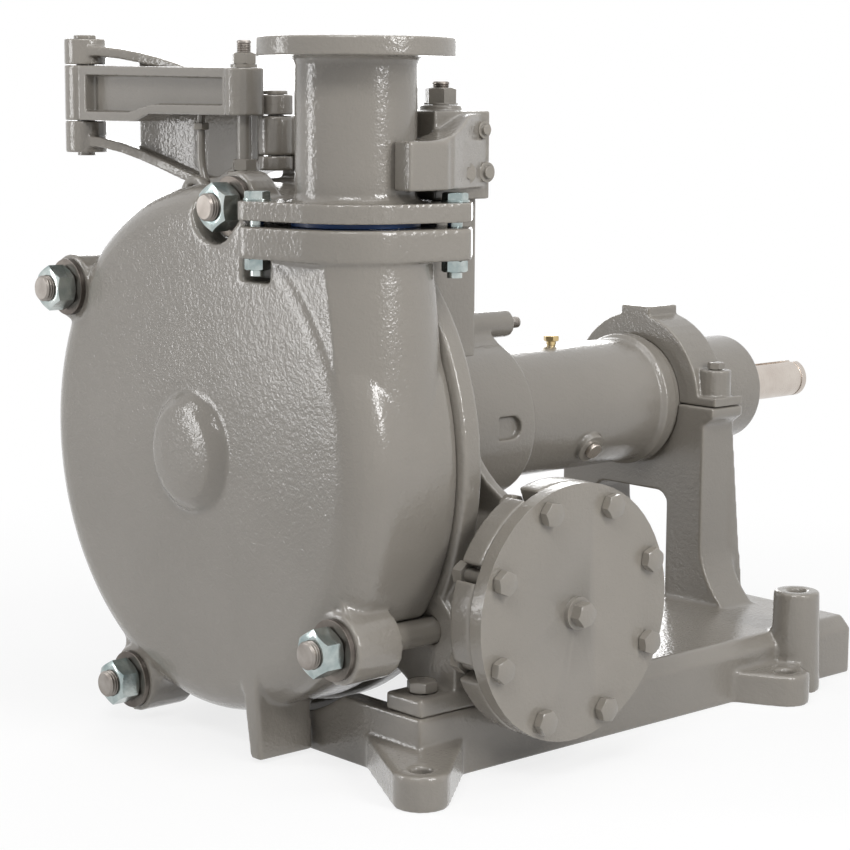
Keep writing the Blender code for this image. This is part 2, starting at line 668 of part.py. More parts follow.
def make_case():
    """Make the one-piece case with its ears, neck, flange and leg."""
    y = CASE_FRONT_Y
    inner = CASE_RADIUS - CASE_EDGE
    profile = [(0, y - NOSE_HEIGHT)]
    nose_flat = NOSE_RADIUS - NOSE_ROUND
    profile += [(nose_flat * NOSE_FLAT_SHARE, y - NOSE_HEIGHT),
                (nose_flat, y - NOSE_HEIGHT * NOSE_SHOULDER_SHARE),
                (NOSE_RADIUS - NOSE_ROUND * NOSE_SIDE_SHARE, y - NOSE_HEIGHT * NOSE_DROP_SHARE),
                (NOSE_RADIUS, y)]
    for r, a in arc((0, 0), 1.0, math.radians(90), 0, 6):
        profile.append((inner + CASE_EDGE * r, y + CASE_EDGE * (1 - a)))
    profile += [(CASE_RADIUS, CASE_BACK_Y - CASE_BACK_EDGE),
                (CASE_RADIUS - CASE_BACK_EDGE * BACK_EDGE_SHARE, CASE_BACK_Y), (0, CASE_BACK_Y)]
    case = turned(profile, (0, 0, AXIS_Z))
    for _, angle, distance, back in STUD_PLACES:
        x, z = stud_place(angle, distance)
        ear_front = EAR_FRONT_Y + back
        root = CASE_RADIUS - CASE_EDGE - CASE_WALL
        foot = (root * math.cos(angle), AXIS_Z + root * math.sin(angle))
        lobe = hull(circle((x, z), EAR_RADIUS * EAR_LOBE_SHARE, 16)
                    + circle(foot, EAR_RADIUS * EAR_ROOT_SHARE, 16))
        weld(case, prism(lobe, ear_front + BITE * 2, EAR_BACK_Y - BITE * 3, "y"))
        weld(case, cylinder(EAR_RADIUS, (x, ear_front - BITE, z), EAR_BACK_Y + BITE - ear_front, "y", 20))
        face_start = CASE_FRONT_Y - NOSE_HEIGHT
        cut(case, cylinder(EAR_RADIUS + BITE / 2, (x, face_start, z), ear_front - face_start, "y", 20))
    flange_low = CASE_FLANGE_TOP - CASE_FLANGE_THICK
    neck = cylinder(NECK_ROOT_RADIUS, (NECK_X, NECK_Y, AXIS_Z), flange_low - AXIS_Z + BITE, "z", FINE,
                    radius_end=NECK_RADIUS)
    side_trim = box((CASE_RADIUS, -FAR, 0), (FAR, FAR, FAR))
    front_trim = box((-FAR, -FAR, 0), (FAR, CASE_FRONT_Y + BITE, FAR))
    back_trim = box((-FAR, CASE_BACK_Y - BITE, 0), (FAR, FAR, FAR))
    cut(neck, side_trim, front_trim, back_trim)
    weld(case, neck)
    for x, y_bolt in ear_bolt_places():
        cut(case, cylinder(EAR_BOLT_HEX, (x, y_bolt, flange_low - EAR_BOLT_POCKET), EAR_BOLT_POCKET + BITE,
                           "z", 20))
    weld(case, prism(ear_outline(), flange_low, CASE_FLANGE_TOP + BITE, "z"))
    cut(case, prism(ear_outline(2 * CLEARANCE), CASE_FLANGE_TOP, AXIS_Z + CASE_RADIUS + OVERRUN, "z"))
    leg = loft([
        [(LEG_X - LEG_LEAN, LEG_FRONT_Y, LEG_TOP), (LEG_X - LEG_LEAN + LEG_THICK, LEG_FRONT_Y, LEG_TOP),
         (LEG_X - LEG_LEAN + LEG_THICK, LEG_FRONT_Y + LEG_LENGTH, LEG_TOP),
         (LEG_X - LEG_LEAN, LEG_FRONT_Y + LEG_LENGTH, LEG_TOP)],
        [(LEG_X, LEG_FRONT_Y, LEG_BOTTOM),
         (LEG_X + LEG_THICK * LEG_FOOT_SHARE, LEG_FRONT_Y, LEG_BOTTOM),
         (LEG_X + LEG_THICK * LEG_FOOT_SHARE, LEG_FRONT_Y + LEG_LENGTH, LEG_BOTTOM),
         (LEG_X, LEG_FRONT_Y + LEG_LENGTH, LEG_BOTTOM)],
    ])
    weld(case, leg)
    lug_root = AXIS_Z + CASE_RADIUS - CASE_WALL
    weld(case, cylinder(HANG_LUG_RADIUS, (0, NECK_Y, lug_root), HANG_LUG_TOP - lug_root, "z", 18))
    cavity = prism(cavity_outline(), CASE_FRONT_Y + CASE_WALL, CASE_BACK_Y + OVERRUN, "y")
    throat = cylinder(NECK_BORE, (NECK_X, NECK_Y, AXIS_Z), CASE_FLANGE_TOP - AXIS_Z + OVERRUN, "z", ROUND)
    seat = cylinder(LINER_SEAT_RADIUS + GAP, (0, CASE_BACK_Y - LINER_SEAT_DEPTH, AXIS_Z),
                    LINER_SEAT_DEPTH + OVERRUN, "y", FINE, turn=0)
    cut(case, cavity, throat, seat)
    for _, angle, distance, _ in STUD_PLACES:
        x, z = stud_place(angle, distance)
        cut(case, cylinder(STUD_RADIUS + CLEARANCE, (x, EAR_FRONT_Y - OVERRUN, z),
                           CASE_BACK_Y - EAR_FRONT_Y + 2 * OVERRUN, "y", 20))
    for x, y_bolt in ear_bolt_places():
        cut(case, cylinder(EAR_BOLT_RADIUS + CLEARANCE, (x, y_bolt, flange_low - OVERRUN),
                           CASE_FLANGE_THICK + 2 * OVERRUN, "z", SMALL))
    hole_low = HANG_LUG_TOP - HANG_LUG_DEPTH - GAP
    cut(case, cylinder(HANG_ROD_RADIUS + GAP, (0, NECK_Y, hole_low), HANG_LUG_DEPTH + OVERRUN, "z", SMALL))
    return finish(case, "volute_case", "paint")


def make_case_fasteners():
    """Make the tie studs, their nuts and washers."""
    for name, angle, distance, back in STUD_PLACES:
        x, z = stud_place(angle, distance)
        stud_end = STUD_END_Y + back
        stud = cylinder(STUD_RADIUS, (x, stud_end, z), STUD_BACK_Y - stud_end, "y", 20)
        finish(stud, "tie_stud_" + name, "steel")
        washer_y = EAR_FRONT_Y + back - GAP - STUD_WASHER_THICK
        washer = cylinder(STUD_WASHER_RADIUS, (x, washer_y, z), STUD_WASHER_THICK, "y", 20)
        cut(washer, cylinder(STUD_RADIUS + CLEARANCE, (x, washer_y - OVERRUN, z),
                             STUD_WASHER_THICK + 2 * OVERRUN, "y", 20))
        finish(washer, "tie_washer_" + name, "iron")
        nut_y = washer_y - GAP - STUD_NUT_THICK
        nut = hexagon(STUD_NUT_HEX, (x, nut_y, z), STUD_NUT_THICK, "y")
        cut(nut, cylinder(STUD_RADIUS + CLEARANCE / 2, (x, nut_y - OVERRUN, z),
                          STUD_NUT_THICK + 2 * OVERRUN, "y", 20))
        finish(nut, "tie_nut_" + name, "zinc")


def make_spool():
    """Make the discharge spool, its seal ring and the two flange bolts."""
    low = CASE_FLANGE_TOP + SEAL_RING_THICK
    foot_top = low + SPOOL_FLANGE_THICK
    spool = prism(ear_outline(), low, foot_top, "z")
    top_low = SPOOL_TOP - SPOOL_TOP_THICK
    bulge = SPOOL_FILLET * FILLET_SHARE
    pipe_profile = [(0, low + BITE), (SPOOL_RADIUS + SPOOL_FILLET, low + BITE),
                    (SPOOL_RADIUS + SPOOL_FILLET, foot_top), (SPOOL_RADIUS + bulge, foot_top + bulge),
                    (SPOOL_RADIUS, foot_top + SPOOL_FILLET), (SPOOL_RADIUS, top_low - SPOOL_FILLET),
                    (SPOOL_RADIUS + bulge, top_low - bulge),
                    (SPOOL_RADIUS + SPOOL_FILLET, top_low), (SPOOL_TOP_RADIUS, top_low),
                    (SPOOL_TOP_RADIUS, SPOOL_TOP), (0, SPOOL_TOP)]
    weld(spool, turned(pipe_profile, (NECK_X, NECK_Y, 0), "z"))
    cut(spool, cylinder(NECK_BORE, (NECK_X, NECK_Y, low - OVERRUN), SPOOL_TOP - low + 2 * OVERRUN, "z",
                        ROUND))
    for x, y in ear_bolt_places():
        cut(spool, cylinder(EAR_BOLT_RADIUS + CLEARANCE, (x, y, low - OVERRUN),
                            SPOOL_FLANGE_THICK + 2 * OVERRUN, "z", SMALL))
    for n in range(SPOOL_HOLES):
        angle = 2 * math.pi * (n + 0.5) / SPOOL_HOLES
        place = (NECK_X + SPOOL_HOLE_CIRCLE * math.cos(angle), NECK_Y + SPOOL_HOLE_CIRCLE * math.sin(angle),
                 top_low - OVERRUN)
        cut(spool, cylinder(SPOOL_HOLE_RADIUS, place, SPOOL_TOP_THICK + 2 * OVERRUN, "z", 16))
    finish(spool, "discharge_spool", "paint")
    ring_low = CASE_FLANGE_TOP + GAP
    ring = cylinder(SEAL_RING_RADIUS, (NECK_X, NECK_Y, ring_low), SEAL_RING_THICK - 2 * GAP, "z", FINE)
    cut(ring, cylinder(NECK_BORE, (NECK_X, NECK_Y, ring_low - OVERRUN), SEAL_RING_THICK + 2 * OVERRUN, "z",
                       ROUND))
    finish(ring, "flange_seal_ring", "blue")
    for name, (x, y) in zip(("rear", "front"), ear_bolt_places()):
        nut_top = CASE_FLANGE_TOP - CASE_FLANGE_THICK - GAP
        bolt_low = nut_top - EAR_BOLT_NUT - EAR_BOLT_TAIL
        head_low = foot_top + GAP
        bolt = cylinder(EAR_BOLT_RADIUS, (x, y, bolt_low), head_low + BITE - bolt_low, "z", SMALL)
        nut_low = nut_top - EAR_BOLT_NUT
        weld(bolt, hexagon(EAR_BOLT_HEX, (x, y, head_low), EAR_BOLT_HEAD, "z", EAR_BOLT_TURN),
             hexagon(EAR_BOLT_HEX, (x, y, nut_low), EAR_BOLT_NUT, "z", EAR_BOLT_TURN))
        finish(bolt, "flange_bolt_" + name, "zinc")


def slotted_flange():
    """Make the intake flange with a slot open to the rim at each bolt."""
    low = FLANGE_FACE_X - FLANGE_THICK
    flange = cylinder(FLANGE_RADIUS, (low, PIPE_Y, PIPE_Z), FLANGE_THICK, "x", FINE)
    for n in range(COVER_BOLTS):
        angle = COVER_BOLT_TURN + 2 * math.pi * n / COVER_BOLTS
        slot = box((low - OVERRUN, FLANGE_RADIUS - SLOT_DEPTH, -SLOT_WIDTH / 2),
                   (FLANGE_FACE_X + OVERRUN, FLANGE_RADIUS + OVERRUN, SLOT_WIDTH / 2))
        turn = Matrix.Rotation(angle, 4, "X")
        slot.data.transform(Matrix.Translation((0, PIPE_Y, PIPE_Z)) @ turn)
        cut(flange, slot)
    return flange


def make_intake_housing():
    """Make the back plate, intake chamber and side intake as one casting."""
    front = CASE_BACK_Y + GAP
    housing = turned([(0, front), (PLATE_RADIUS - 3 * BITE, front), (PLATE_RADIUS, front + BITE),
                      (PLATE_RADIUS, PLATE_BACK_Y - BITE), (PLATE_RADIUS - BITE, PLATE_BACK_Y),
                      (0, PLATE_BACK_Y)], (0, 0, AXIS_Z))
    for _, angle, distance, _ in STUD_PLACES:
        x, z = stud_place(angle, distance)
        root = PLATE_RADIUS - 2 * EAR_RADIUS
        foot = (root * math.cos(angle), AXIS_Z + root * math.sin(angle))
        lobe = hull(circle((x, z), EAR_RADIUS, 16) + circle(foot, EAR_RADIUS * LUG_ROOT_SHARE, 16))
        weld(housing, prism(lobe, front + CLEARANCE, PLATE_BACK_Y + BITE, "y"))
        weld(housing, cylinder(EAR_RADIUS * LUG_SHARE, (x, PLATE_BACK_Y, z), LUG_BACK_Y - PLATE_BACK_Y,
                               "y", 20))
    body = hull(circle((0, AXIS_Z), CHAMBER_RADIUS) + circle((SUMP_X, PIPE_Z), SUMP_RADIUS))
    weld(housing, prism(body, PLATE_BACK_Y - BITE, CHAMBER_BACK_Y, "y"))
    pipe_length = FLANGE_FACE_X - FLANGE_THICK + BITE - SUMP_X
    weld(housing, cylinder(PIPE_RADIUS, (SUMP_X, PIPE_Y, PIPE_Z), pipe_length, "x", 36))
    weld(housing, slotted_flange())
    low_x = FLANGE_FACE_X - FLANGE_THICK - BITE
    pipe_top = PIPE_Z + PIPE_RADIUS
    curve = []
    for n in range(9):
        share = n / 8
        sag = FIN_SAG * math.sin(math.pi * share)
        curve.append((FIN_TOP_X + (low_x - FIN_TOP_X) * share - sag,
                      FIN_TOP_Z + (pipe_top - FIN_TOP_Z) * share - sag))
    fin = curve + [(low_x, PIPE_Z), (SUMP_X, PIPE_Z), (SUMP_X, FIN_TOP_Z + BITE),
                   (FIN_TOP_X - BITE, FIN_TOP_Z + BITE)]
    weld(housing, prism(fin, FIN_Y - FIN_THICK / 2, FIN_Y + FIN_THICK / 2, "y"))
    root = [(FIN_TOP_X - 2 * FIN_THICK, FIN_TOP_Z), (FIN_TOP_X - 3 * FIN_THICK, FIN_TOP_Z),
            (FIN_TOP_X - 3 * FIN_THICK, PIPE_Z + BITE), (FIN_TOP_X - 2 * FIN_THICK, PIPE_Z + BITE)]
    weld(housing, prism(root, PLATE_BACK_Y - BITE, FIN_Y, "y"))
    pad_low = BASE_TOP + GAP
    outer = BASE_RIGHT - BITE
    inner = outer - PAD_WIDTH
    pad_front = BASE_FRONT_Y + BITE
    weld(housing, box((inner, pad_front, pad_low), (outer, pad_front + PAD_LENGTH + 3 * BITE,
                                                  pad_low + PAD_THICK)))
    lean = PLATE_RADIUS - 2 * EAR_RADIUS - PAD_WIDTH
    rib = [(outer - BITE, pad_low + BITE), (inner, pad_low + BITE),
           (lean, AXIS_Z - PLATE_RADIUS * RIB_LOW_SHARE), (lean, AXIS_Z - PLATE_RADIUS * RIB_HIGH_SHARE),
           (outer - BITE, pad_low + PAD_THICK + EAR_RADIUS)]
    weld(housing, prism(rib, front + CLEARANCE, PLATE_BACK_Y + CLEARANCE, "y"))
    left = BASE_LEFT + 2 * BITE
    pad_y = BASE_STEP_Y + BITE
    weld(housing, box((left, pad_y, pad_low), (left + PAD_WIDTH, pad_y + PAD_LENGTH, pad_low + PAD_THICK)))
    rib = [(left + BITE, pad_low + BITE), (left + BITE, pad_low + PAD_THICK),
           (-CHAMBER_RADIUS * REAR_RIB_SHARE, AXIS_Z), (0, AXIS_Z), (-SUMP_X, pad_low + 2 * BITE)]
    rib_back = pad_y + PAD_LENGTH - 2 * BITE
    weld(housing, prism(rib, rib_back - FIN_THICK, rib_back, "y"))
    weld(housing, box((-REAR_PAD_HALF, CHAMBER_BACK_Y - REAR_PAD_DEPTH, pad_low),
                      (REAR_PAD_HALF, CHAMBER_BACK_Y, PIPE_Z)))
    bracket_y = ROOT_PIN.y + KNUCKLE_RADIUS + 2 * CLEARANCE
    weld(housing, box((-BRACKET_HALF_WIDTH, bracket_y, AXIS_Z + PLATE_RADIUS * BRACKET_SHARE),
                      (BRACKET_HALF_WIDTH, PLATE_BACK_Y - BITE, KNUCKLE_HIGH)))
    pin = ROOT_PIN
    neck = KNUCKLE_RADIUS * KNUCKLE_NECK_SHARE
    weld(housing, box((-neck, pin.y, KNUCKLE_LOW), (neck, PLATE_BACK_Y - 2 * BITE, KNUCKLE_HIGH)))
    weld(housing, cylinder(KNUCKLE_RADIUS, (pin.x, pin.y, KNUCKLE_LOW), KNUCKLE_HIGH - KNUCKLE_LOW, "z", 18))
    inner_body = hull(circle((0, AXIS_Z), CHAMBER_RADIUS - CHAMBER_WALL, 28)
                      + circle((SUMP_X, PIPE_Z), PIPE_BORE + BITE, 28))
    chamber = prism(inner_body, PLATE_BACK_Y + BITE, CHAMBER_BACK_Y - CHAMBER_WALL, "y")
    eye_length = PLATE_BACK_Y - front + 3 * OVERRUN
    eye = cylinder(EYE_RADIUS + LINER_THICK, (0, front - OVERRUN, AXIS_Z), eye_length, "y", FINE)
    seat = cylinder(LINER_SEAT_RADIUS + GAP, (0, front - OVERRUN, AXIS_Z), LINER_SEAT_DEPTH + OVERRUN, "y",
                    FINE, turn=0)
    back = cylinder(BACK_OPENING, (0, CHAMBER_BACK_Y - 2 * CHAMBER_WALL, AXIS_Z),
                    2 * CHAMBER_WALL + OVERRUN, "y", FINE, turn=0)
    bore = cylinder(PIPE_BORE, (SUMP_X - BITE, PIPE_Y, PIPE_Z), FLANGE_FACE_X, "x", ROUND, turn=0)
    shelf_low = CASE_FLANGE_TOP - CASE_FLANGE_THICK - OVERRUN
    shelf = box((NECK_X - EAR_MIDDLE_RADIUS + BITE, front - OVERRUN, shelf_low),
                (PLATE_RADIUS + OVERRUN, PLATE_BACK_Y + OVERRUN, AXIS_Z + PLATE_RADIUS + OVERRUN))
    cut(housing, bore, chamber, eye, seat, back, shelf)
    cut(housing, cylinder(ROOT_PIN_RADIUS + GAP, (pin.x, pin.y, KNUCKLE_LOW - OVERRUN),
                          KNUCKLE_HIGH - KNUCKLE_LOW + 2 * OVERRUN, "z", SMALL))
    for _, angle, distance, _ in STUD_PLACES:
        x, z = stud_place(angle, distance)
        cut(housing, cylinder(STUD_RADIUS + GAP, (x, front - OVERRUN, z),
                              STUD_BACK_Y + GAP - front + OVERRUN, "y", 20))
    for _, x, y in hold_bolt_places():
        cut(housing, cylinder(HOLD_BOLT_RADIUS + CLEARANCE, (x, y, 0), pad_low + PAD_THICK + OVERRUN,
                              "z", SMALL))
    hole_y = PLATE_BACK_Y - POST_BOLT_DEPTH - GAP
    cut(housing, cylinder(POST_BOLT_RADIUS + GAP, (NECK_X, hole_y, POST_BOLT_Z), POST_BOLT_DEPTH + OVERRUN,
                          "y", SMALL))
    return finish(housing, "intake_housing", "paint")


def hold_bolt_places():
    """Return the name and plan place of each hold-down bolt."""
    right = (BASE_RIGHT - BITE - PAD_WIDTH / 2, BASE_FRONT_Y + PAD_LENGTH / 3 + 2 * BITE)
    left = (BASE_LEFT + 2 * BITE + PAD_WIDTH / 3, BASE_STEP_Y + BITE + PAD_LENGTH / 3)
    return (("right", *right), ("left", *left))


def make_liner():
    """Make the wear plate between the impeller and the housing."""
    y = CASE_BACK_Y - LINER_SEAT_DEPTH + GAP
    liner = turned([(EYE_RADIUS, y), (LINER_SEAT_RADIUS, y), (LINER_SEAT_RADIUS, y + LINER_THICK),
                    (EYE_RADIUS, y + LINER_THICK)], (0, 0, AXIS_Z))
    return finish(liner, "rear_liner", "iron")


def make_cover():
    """Make the blanking plate on the intake, with its plug screwed in, and its bolts."""
    start = FLANGE_FACE_X + GAP
    cover = cylinder(COVER_RADIUS, (start, PIPE_Y, PIPE_Z), COVER_THICK, "x", 56)
    face = start + COVER_THICK
    weld(cover, cylinder(PLUG_SEAT_RADIUS, (face - BITE, PIPE_Y, PIPE_Z), PLUG_SEAT_HEIGHT + BITE, "x", 24))
    centres = []
    for n in range(COVER_BOLTS):
        angle = COVER_BOLT_TURN + 2 * math.pi * n / COVER_BOLTS
        centres.append((PIPE_Y + COVER_BOLT_CIRCLE * math.cos(angle),
                        PIPE_Z + COVER_BOLT_CIRCLE * math.sin(angle), angle))
    for y, z, _ in centres:
        cut(cover, cylinder(COVER_BOLT_RADIUS + CLEARANCE, (start - OVERRUN, y, z),
                            COVER_THICK + 2 * OVERRUN, "x", SMALL))
    weld(cover, hexagon(PLUG_HEX, (face + PLUG_SEAT_HEIGHT - BITE, PIPE_Y, PIPE_Z), PLUG_HEAD + BITE, "x",
                        PLUG_TURN))
    finish(cover, "intake_cover_plate", "paint")
    for n, (y, z, angle) in enumerate(centres, 1):
        flange_back = FLANGE_FACE_X - FLANGE_THICK
        nut_x = flange_back - GAP - COVER_NUT_THICK
        low = nut_x - COVER_BOLT_TAIL
        bolt = cylinder(COVER_BOLT_RADIUS, (low, y, z), face + GAP + BITE - low, "x", SMALL)
        weld(bolt, hexagon(COVER_BOLT_HEX, (face + GAP, y, z), COVER_BOLT_HEAD, "x", angle),
             hexagon(COVER_BOLT_HEX, (nut_x, y, z), COVER_NUT_THICK, "x", angle))
        finish(bolt, "cover_bolt_" + str(n), "paint")


def foot(place, near):
    """Make one foot, drawn out from the base's side to its bolt hole."""
    outline = hull(list(near) + circle(place, FOOT_RADIUS, 16))
    return prism(outline, 0, FOOT_HEIGHT, "z")


def base_chamfer(corner_x, side):
    """Make a cutter for the slope along an upper edge of the base."""
    reach = BASE_CHAMFER + OVERRUN
    outside = corner_x + side * OVERRUN
    section = [(outside, BASE_TOP - reach), (outside, BASE_TOP + OVERRUN),
               (corner_x - side * reach, BASE_TOP + OVERRUN)]
    return prism(section, BASE_STEP_Y + BITE, BASE_REAR_Y + OVERRUN, "y")


def feet():
    """Return each foot's place with the points of the base's side that it grows from."""
    right, left, spread = BASE_RIGHT - BASE_WALL, BASE_LEFT + BASE_WALL, FOOT_SPREAD
    front_right = [(right, FOOT_FRONT[1] + 2 * spread), (right - spread, BASE_FRONT_Y + BITE)]
    rear_right = [(right, FOOT_REAR[1] - spread), (right, FOOT_REAR[1] + spread)]
    front_left = [(left, FOOT_LEFT_Y - spread / 2), (left, FOOT_LEFT_Y + spread)]
    rear_left = [(left, FOOT_REAR[1] - spread), (left, FOOT_REAR[1] + spread)]
    return ((FOOT_FRONT, front_right), (FOOT_REAR, rear_right), ((FOOT_LEFT_X, FOOT_LEFT_Y), front_left),
            ((FOOT_LEFT_X, FOOT_REAR[1]), rear_left))


def make_base():
    """Make the base, its feet and the pedestal as one casting."""
    wall = BASE_WALL
    plan = [(BASE_RIGHT, BASE_FRONT_Y), (BASE_RIGHT, BASE_REAR_Y), (BASE_LEFT, BASE_REAR_Y),
            (BASE_LEFT, BASE_STEP_Y), (BASE_STEP_X, BASE_STEP_Y), (BASE_STEP_X, BASE_FRONT_Y)]
    base = prism(plan, 0, BASE_TOP, "z")
    hollow = box((BASE_LEFT + wall, BASE_STEP_Y + wall, -OVERRUN),
                 (BASE_RIGHT - wall, BASE_REAR_Y - wall, BASE_TOP - DECK_THICK))
    front_hollow = box((BASE_STEP_X + wall, BASE_FRONT_Y + wall, -OVERRUN),
                       (BASE_RIGHT - PAD_WIDTH - 3 * BITE, BASE_STEP_Y + 2 * wall, BASE_TOP + OVERRUN))
    envelope = cylinder(CASE_RADIUS + 2 * OVERRUN, (0, BASE_FRONT_Y - OVERRUN, AXIS_Z),
                        BASE_STEP_Y - BITE - BASE_FRONT_Y, "y", 48)
    cut(base, hollow, front_hollow, envelope, base_chamfer(BASE_RIGHT, 1), base_chamfer(BASE_LEFT, -1))
    for place, near in feet():
        weld(base, foot(place, near))
    bosses = ((TALL_BOSS[0], TALL_BOSS[1]), (BASE_LEFT - (TALL_BOSS[0] - BASE_RIGHT), TALL_BOSS[1]))
    for x, y in bosses:
        weld(base, cylinder(TALL_BOSS_RADIUS * TALL_BOSS_SHARE, (x, y, 0), TALL_BOSS_TOP, "z", 20,
                            radius_end=TALL_BOSS_RADIUS))
    front_y = SADDLE_FRONT_Y
    rear_y = front_y + SADDLE_THICK
    weld(base, pedestal())
    cuts = [cylinder(BARREL_RADIUS + GAP, (0, front_y - 2 * OVERRUN, AXIS_Z), SADDLE_THICK + 5 * OVERRUN,
                     "y", FINE, turn=0)]
    for (x, y), _ in feet():
        cuts.append(cylinder(FOOT_HOLE, (x, y, -OVERRUN), FOOT_HEIGHT + 2 * OVERRUN, "z", ROUND))
    for x, y in bosses:
        cuts.append(cylinder(FOOT_HOLE, (x, y, -OVERRUN), TALL_BOSS_TOP + 2 * OVERRUN, "z", ROUND))
    for _, x, y in hold_bolt_places():
        cuts.append(cylinder(HOLD_BOLT_RADIUS + GAP, (x, y, BASE_TOP - HOLD_BOLT_DEPTH - GAP),
                             HOLD_BOLT_DEPTH + OVERRUN, "z", SMALL))
    for side in (-1, 1):
        cuts.append(cylinder(CAP_BOLT_RADIUS + GAP,
                             (side * CAP_BOSS_X, (front_y + rear_y) / 2, AXIS_Z - CAP_BOLT_DEPTH - GAP),
                             CAP_BOLT_DEPTH + OVERRUN, "z", SMALL))
    cuts.append(cylinder(SIDE_HOLE_RADIUS, (BASE_RIGHT - PAD_WIDTH - 4 * BITE, SIDE_HOLE_Y, SIDE_HOLE_Z),
                         PAD_WIDTH + 4 * BITE + OVERRUN, "x", 16))
    cut(base, *cuts)
    return finish(base, "base_frame", "paint")


def pedestal():
    """Make the portal that carries the rear of the bearing cartridge."""
    front_y = SADDLE_FRONT_Y
    low = BASE_TOP - BITE
    flare = []
    for n in range(7):
        share = n / 6
        flare.append((LEG_OUTER_X + PEDESTAL_FLARE * (1 - share) ** 2,
                      low + (PEDESTAL_FLARE_Z - low) * share))
    top = AXIS_Z - GAP
    right = flare + [(LEG_OUTER_X, top - 2 * CAP_FLANGE_THICK), (CAP_FLANGE_X, top - CAP_FLANGE_THICK),
                     (CAP_FLANGE_X, top)]
    outline = right + [(-x, z) for x, z in right[::-1]]
    body = prism(outline, front_y, front_y + SADDLE_THICK, "y")
    back = loft([
        [(LEG_OUTER_X, front_y + SADDLE_THICK - BITE, top - 3 * CAP_FLANGE_THICK),
         (LEG_INNER_X, front_y + SADDLE_THICK - BITE, top - 3 * CAP_FLANGE_THICK),
         (LEG_INNER_X, front_y + SADDLE_THICK, top - 3 * CAP_FLANGE_THICK),
         (LEG_OUTER_X, front_y + SADDLE_THICK, top - 3 * CAP_FLANGE_THICK)],
        [(LEG_OUTER_X + BITE, front_y + SADDLE_THICK - BITE, low),
         (LEG_INNER_X, front_y + SADDLE_THICK - BITE, low),
         (LEG_INNER_X, front_y + SADDLE_FOOT_THICK, low),
         (LEG_OUTER_X + BITE, front_y + SADDLE_FOOT_THICK, low)],
    ])
    mirrored = back.copy()
    mirrored.data = back.data.copy()
    bpy.context.scene.collection.objects.link(mirrored)
    flip = bmesh.new()
    flip.from_mesh(mirrored.data)
    flip.transform(Matrix.Diagonal((-1, 1, 1, 1)))
    bmesh.ops.recalc_face_normals(flip, faces=flip.faces)
    flip.to_mesh(mirrored.data)
    flip.free()
    weld(body, back, mirrored)
    r = WINDOW_CORNER
    x = LEG_INNER_X
    corner = arc((x - r, WINDOW_TOP - r), r, 0, math.pi / 2, 4)
    window = [(x, BASE_TOP), *corner, *[(-a, b) for a, b in corner[::-1]], (-x, BASE_TOP)]
    cut(body, prism(window, front_y - OVERRUN, front_y + SADDLE_FOOT_THICK + OVERRUN, "y"))
    return body


def make_cap():
    """Make the saddle cap and its two bolts."""
    middle = SADDLE_FRONT_Y + SADDLE_THICK / 2
    front = middle - CAP_THICK / 2
    low = AXIS_Z + GAP * 2
    arch = arc((0, AXIS_Z), CAP_RADIUS, 0, math.pi, 24)
    cap = prism(arch, front, front + CAP_THICK, "y")
    weld(cap, box((-CAP_PAD_HALF, front, AXIS_Z + BARREL_RADIUS + BITE), (CAP_PAD_HALF, front + CAP_THICK,
                                                                        CAP_PAD_Z)))
    weld(cap, box((-CAP_FLANGE_X, front, low - BITE), (CAP_FLANGE_X, front + CAP_THICK,
                                                     AXIS_Z + CAP_FLANGE_THICK)))
    for side in (-1, 1):
        x = side * CAP_BOSS_X
        weld(cap, cylinder(CAP_BOSS_RADIUS, (x, middle, AXIS_Z), CAP_BOSS_HEIGHT, "z", 18))
    cut(cap, cylinder(BARREL_RADIUS + GAP, (0, front - OVERRUN, AXIS_Z), CAP_THICK + 2 * OVERRUN, "y", FINE,
                      turn=0))
    cut(cap, box((-CAP_FLANGE_X - OVERRUN, front - OVERRUN, AXIS_Z - CAP_RADIUS),
                 (CAP_FLANGE_X + OVERRUN, front + CAP_THICK + OVERRUN, low)))
    for side in (-1, 1):
        x = side * CAP_BOSS_X
        cut(cap, cylinder(CAP_BOLT_RADIUS + CLEARANCE, (x, middle, AXIS_Z - OVERRUN),
                          CAP_BOSS_HEIGHT + 2 * OVERRUN, "z", SMALL))
    finish(cap, "saddle_cap", "paint")
    for name, side in (("left", -1), ("right", 1)):
        x = side * CAP_BOSS_X
        head_low = AXIS_Z + CAP_BOSS_HEIGHT + GAP
        bolt_low = AXIS_Z - CAP_BOLT_DEPTH
        bolt = cylinder(CAP_BOLT_RADIUS, (x, middle, bolt_low), head_low + BITE - bolt_low, "z", SMALL)
        weld(bolt, hexagon(CAP_BOLT_HEX, (x, middle, head_low), CAP_BOLT_HEAD))
        finish(bolt, "cap_bolt_" + name, "paint")


def make_hold_bolts():
    """Make the bolts that hold the housing down on the base."""
    for name, x, y in hold_bolt_places():
        head_low = BASE_TOP + PAD_THICK + 2 * GAP
        bolt_low = BASE_TOP - HOLD_BOLT_DEPTH
        bolt = cylinder(HOLD_BOLT_RADIUS, (x, y, bolt_low), head_low + BITE - bolt_low, "z", SMALL)
        weld(bolt, hexagon(HOLD_BOLT_HEX, (x, y, head_low), HOLD_BOLT_HEAD))
        finish(bolt, "hold_down_bolt_" + name, "paint")


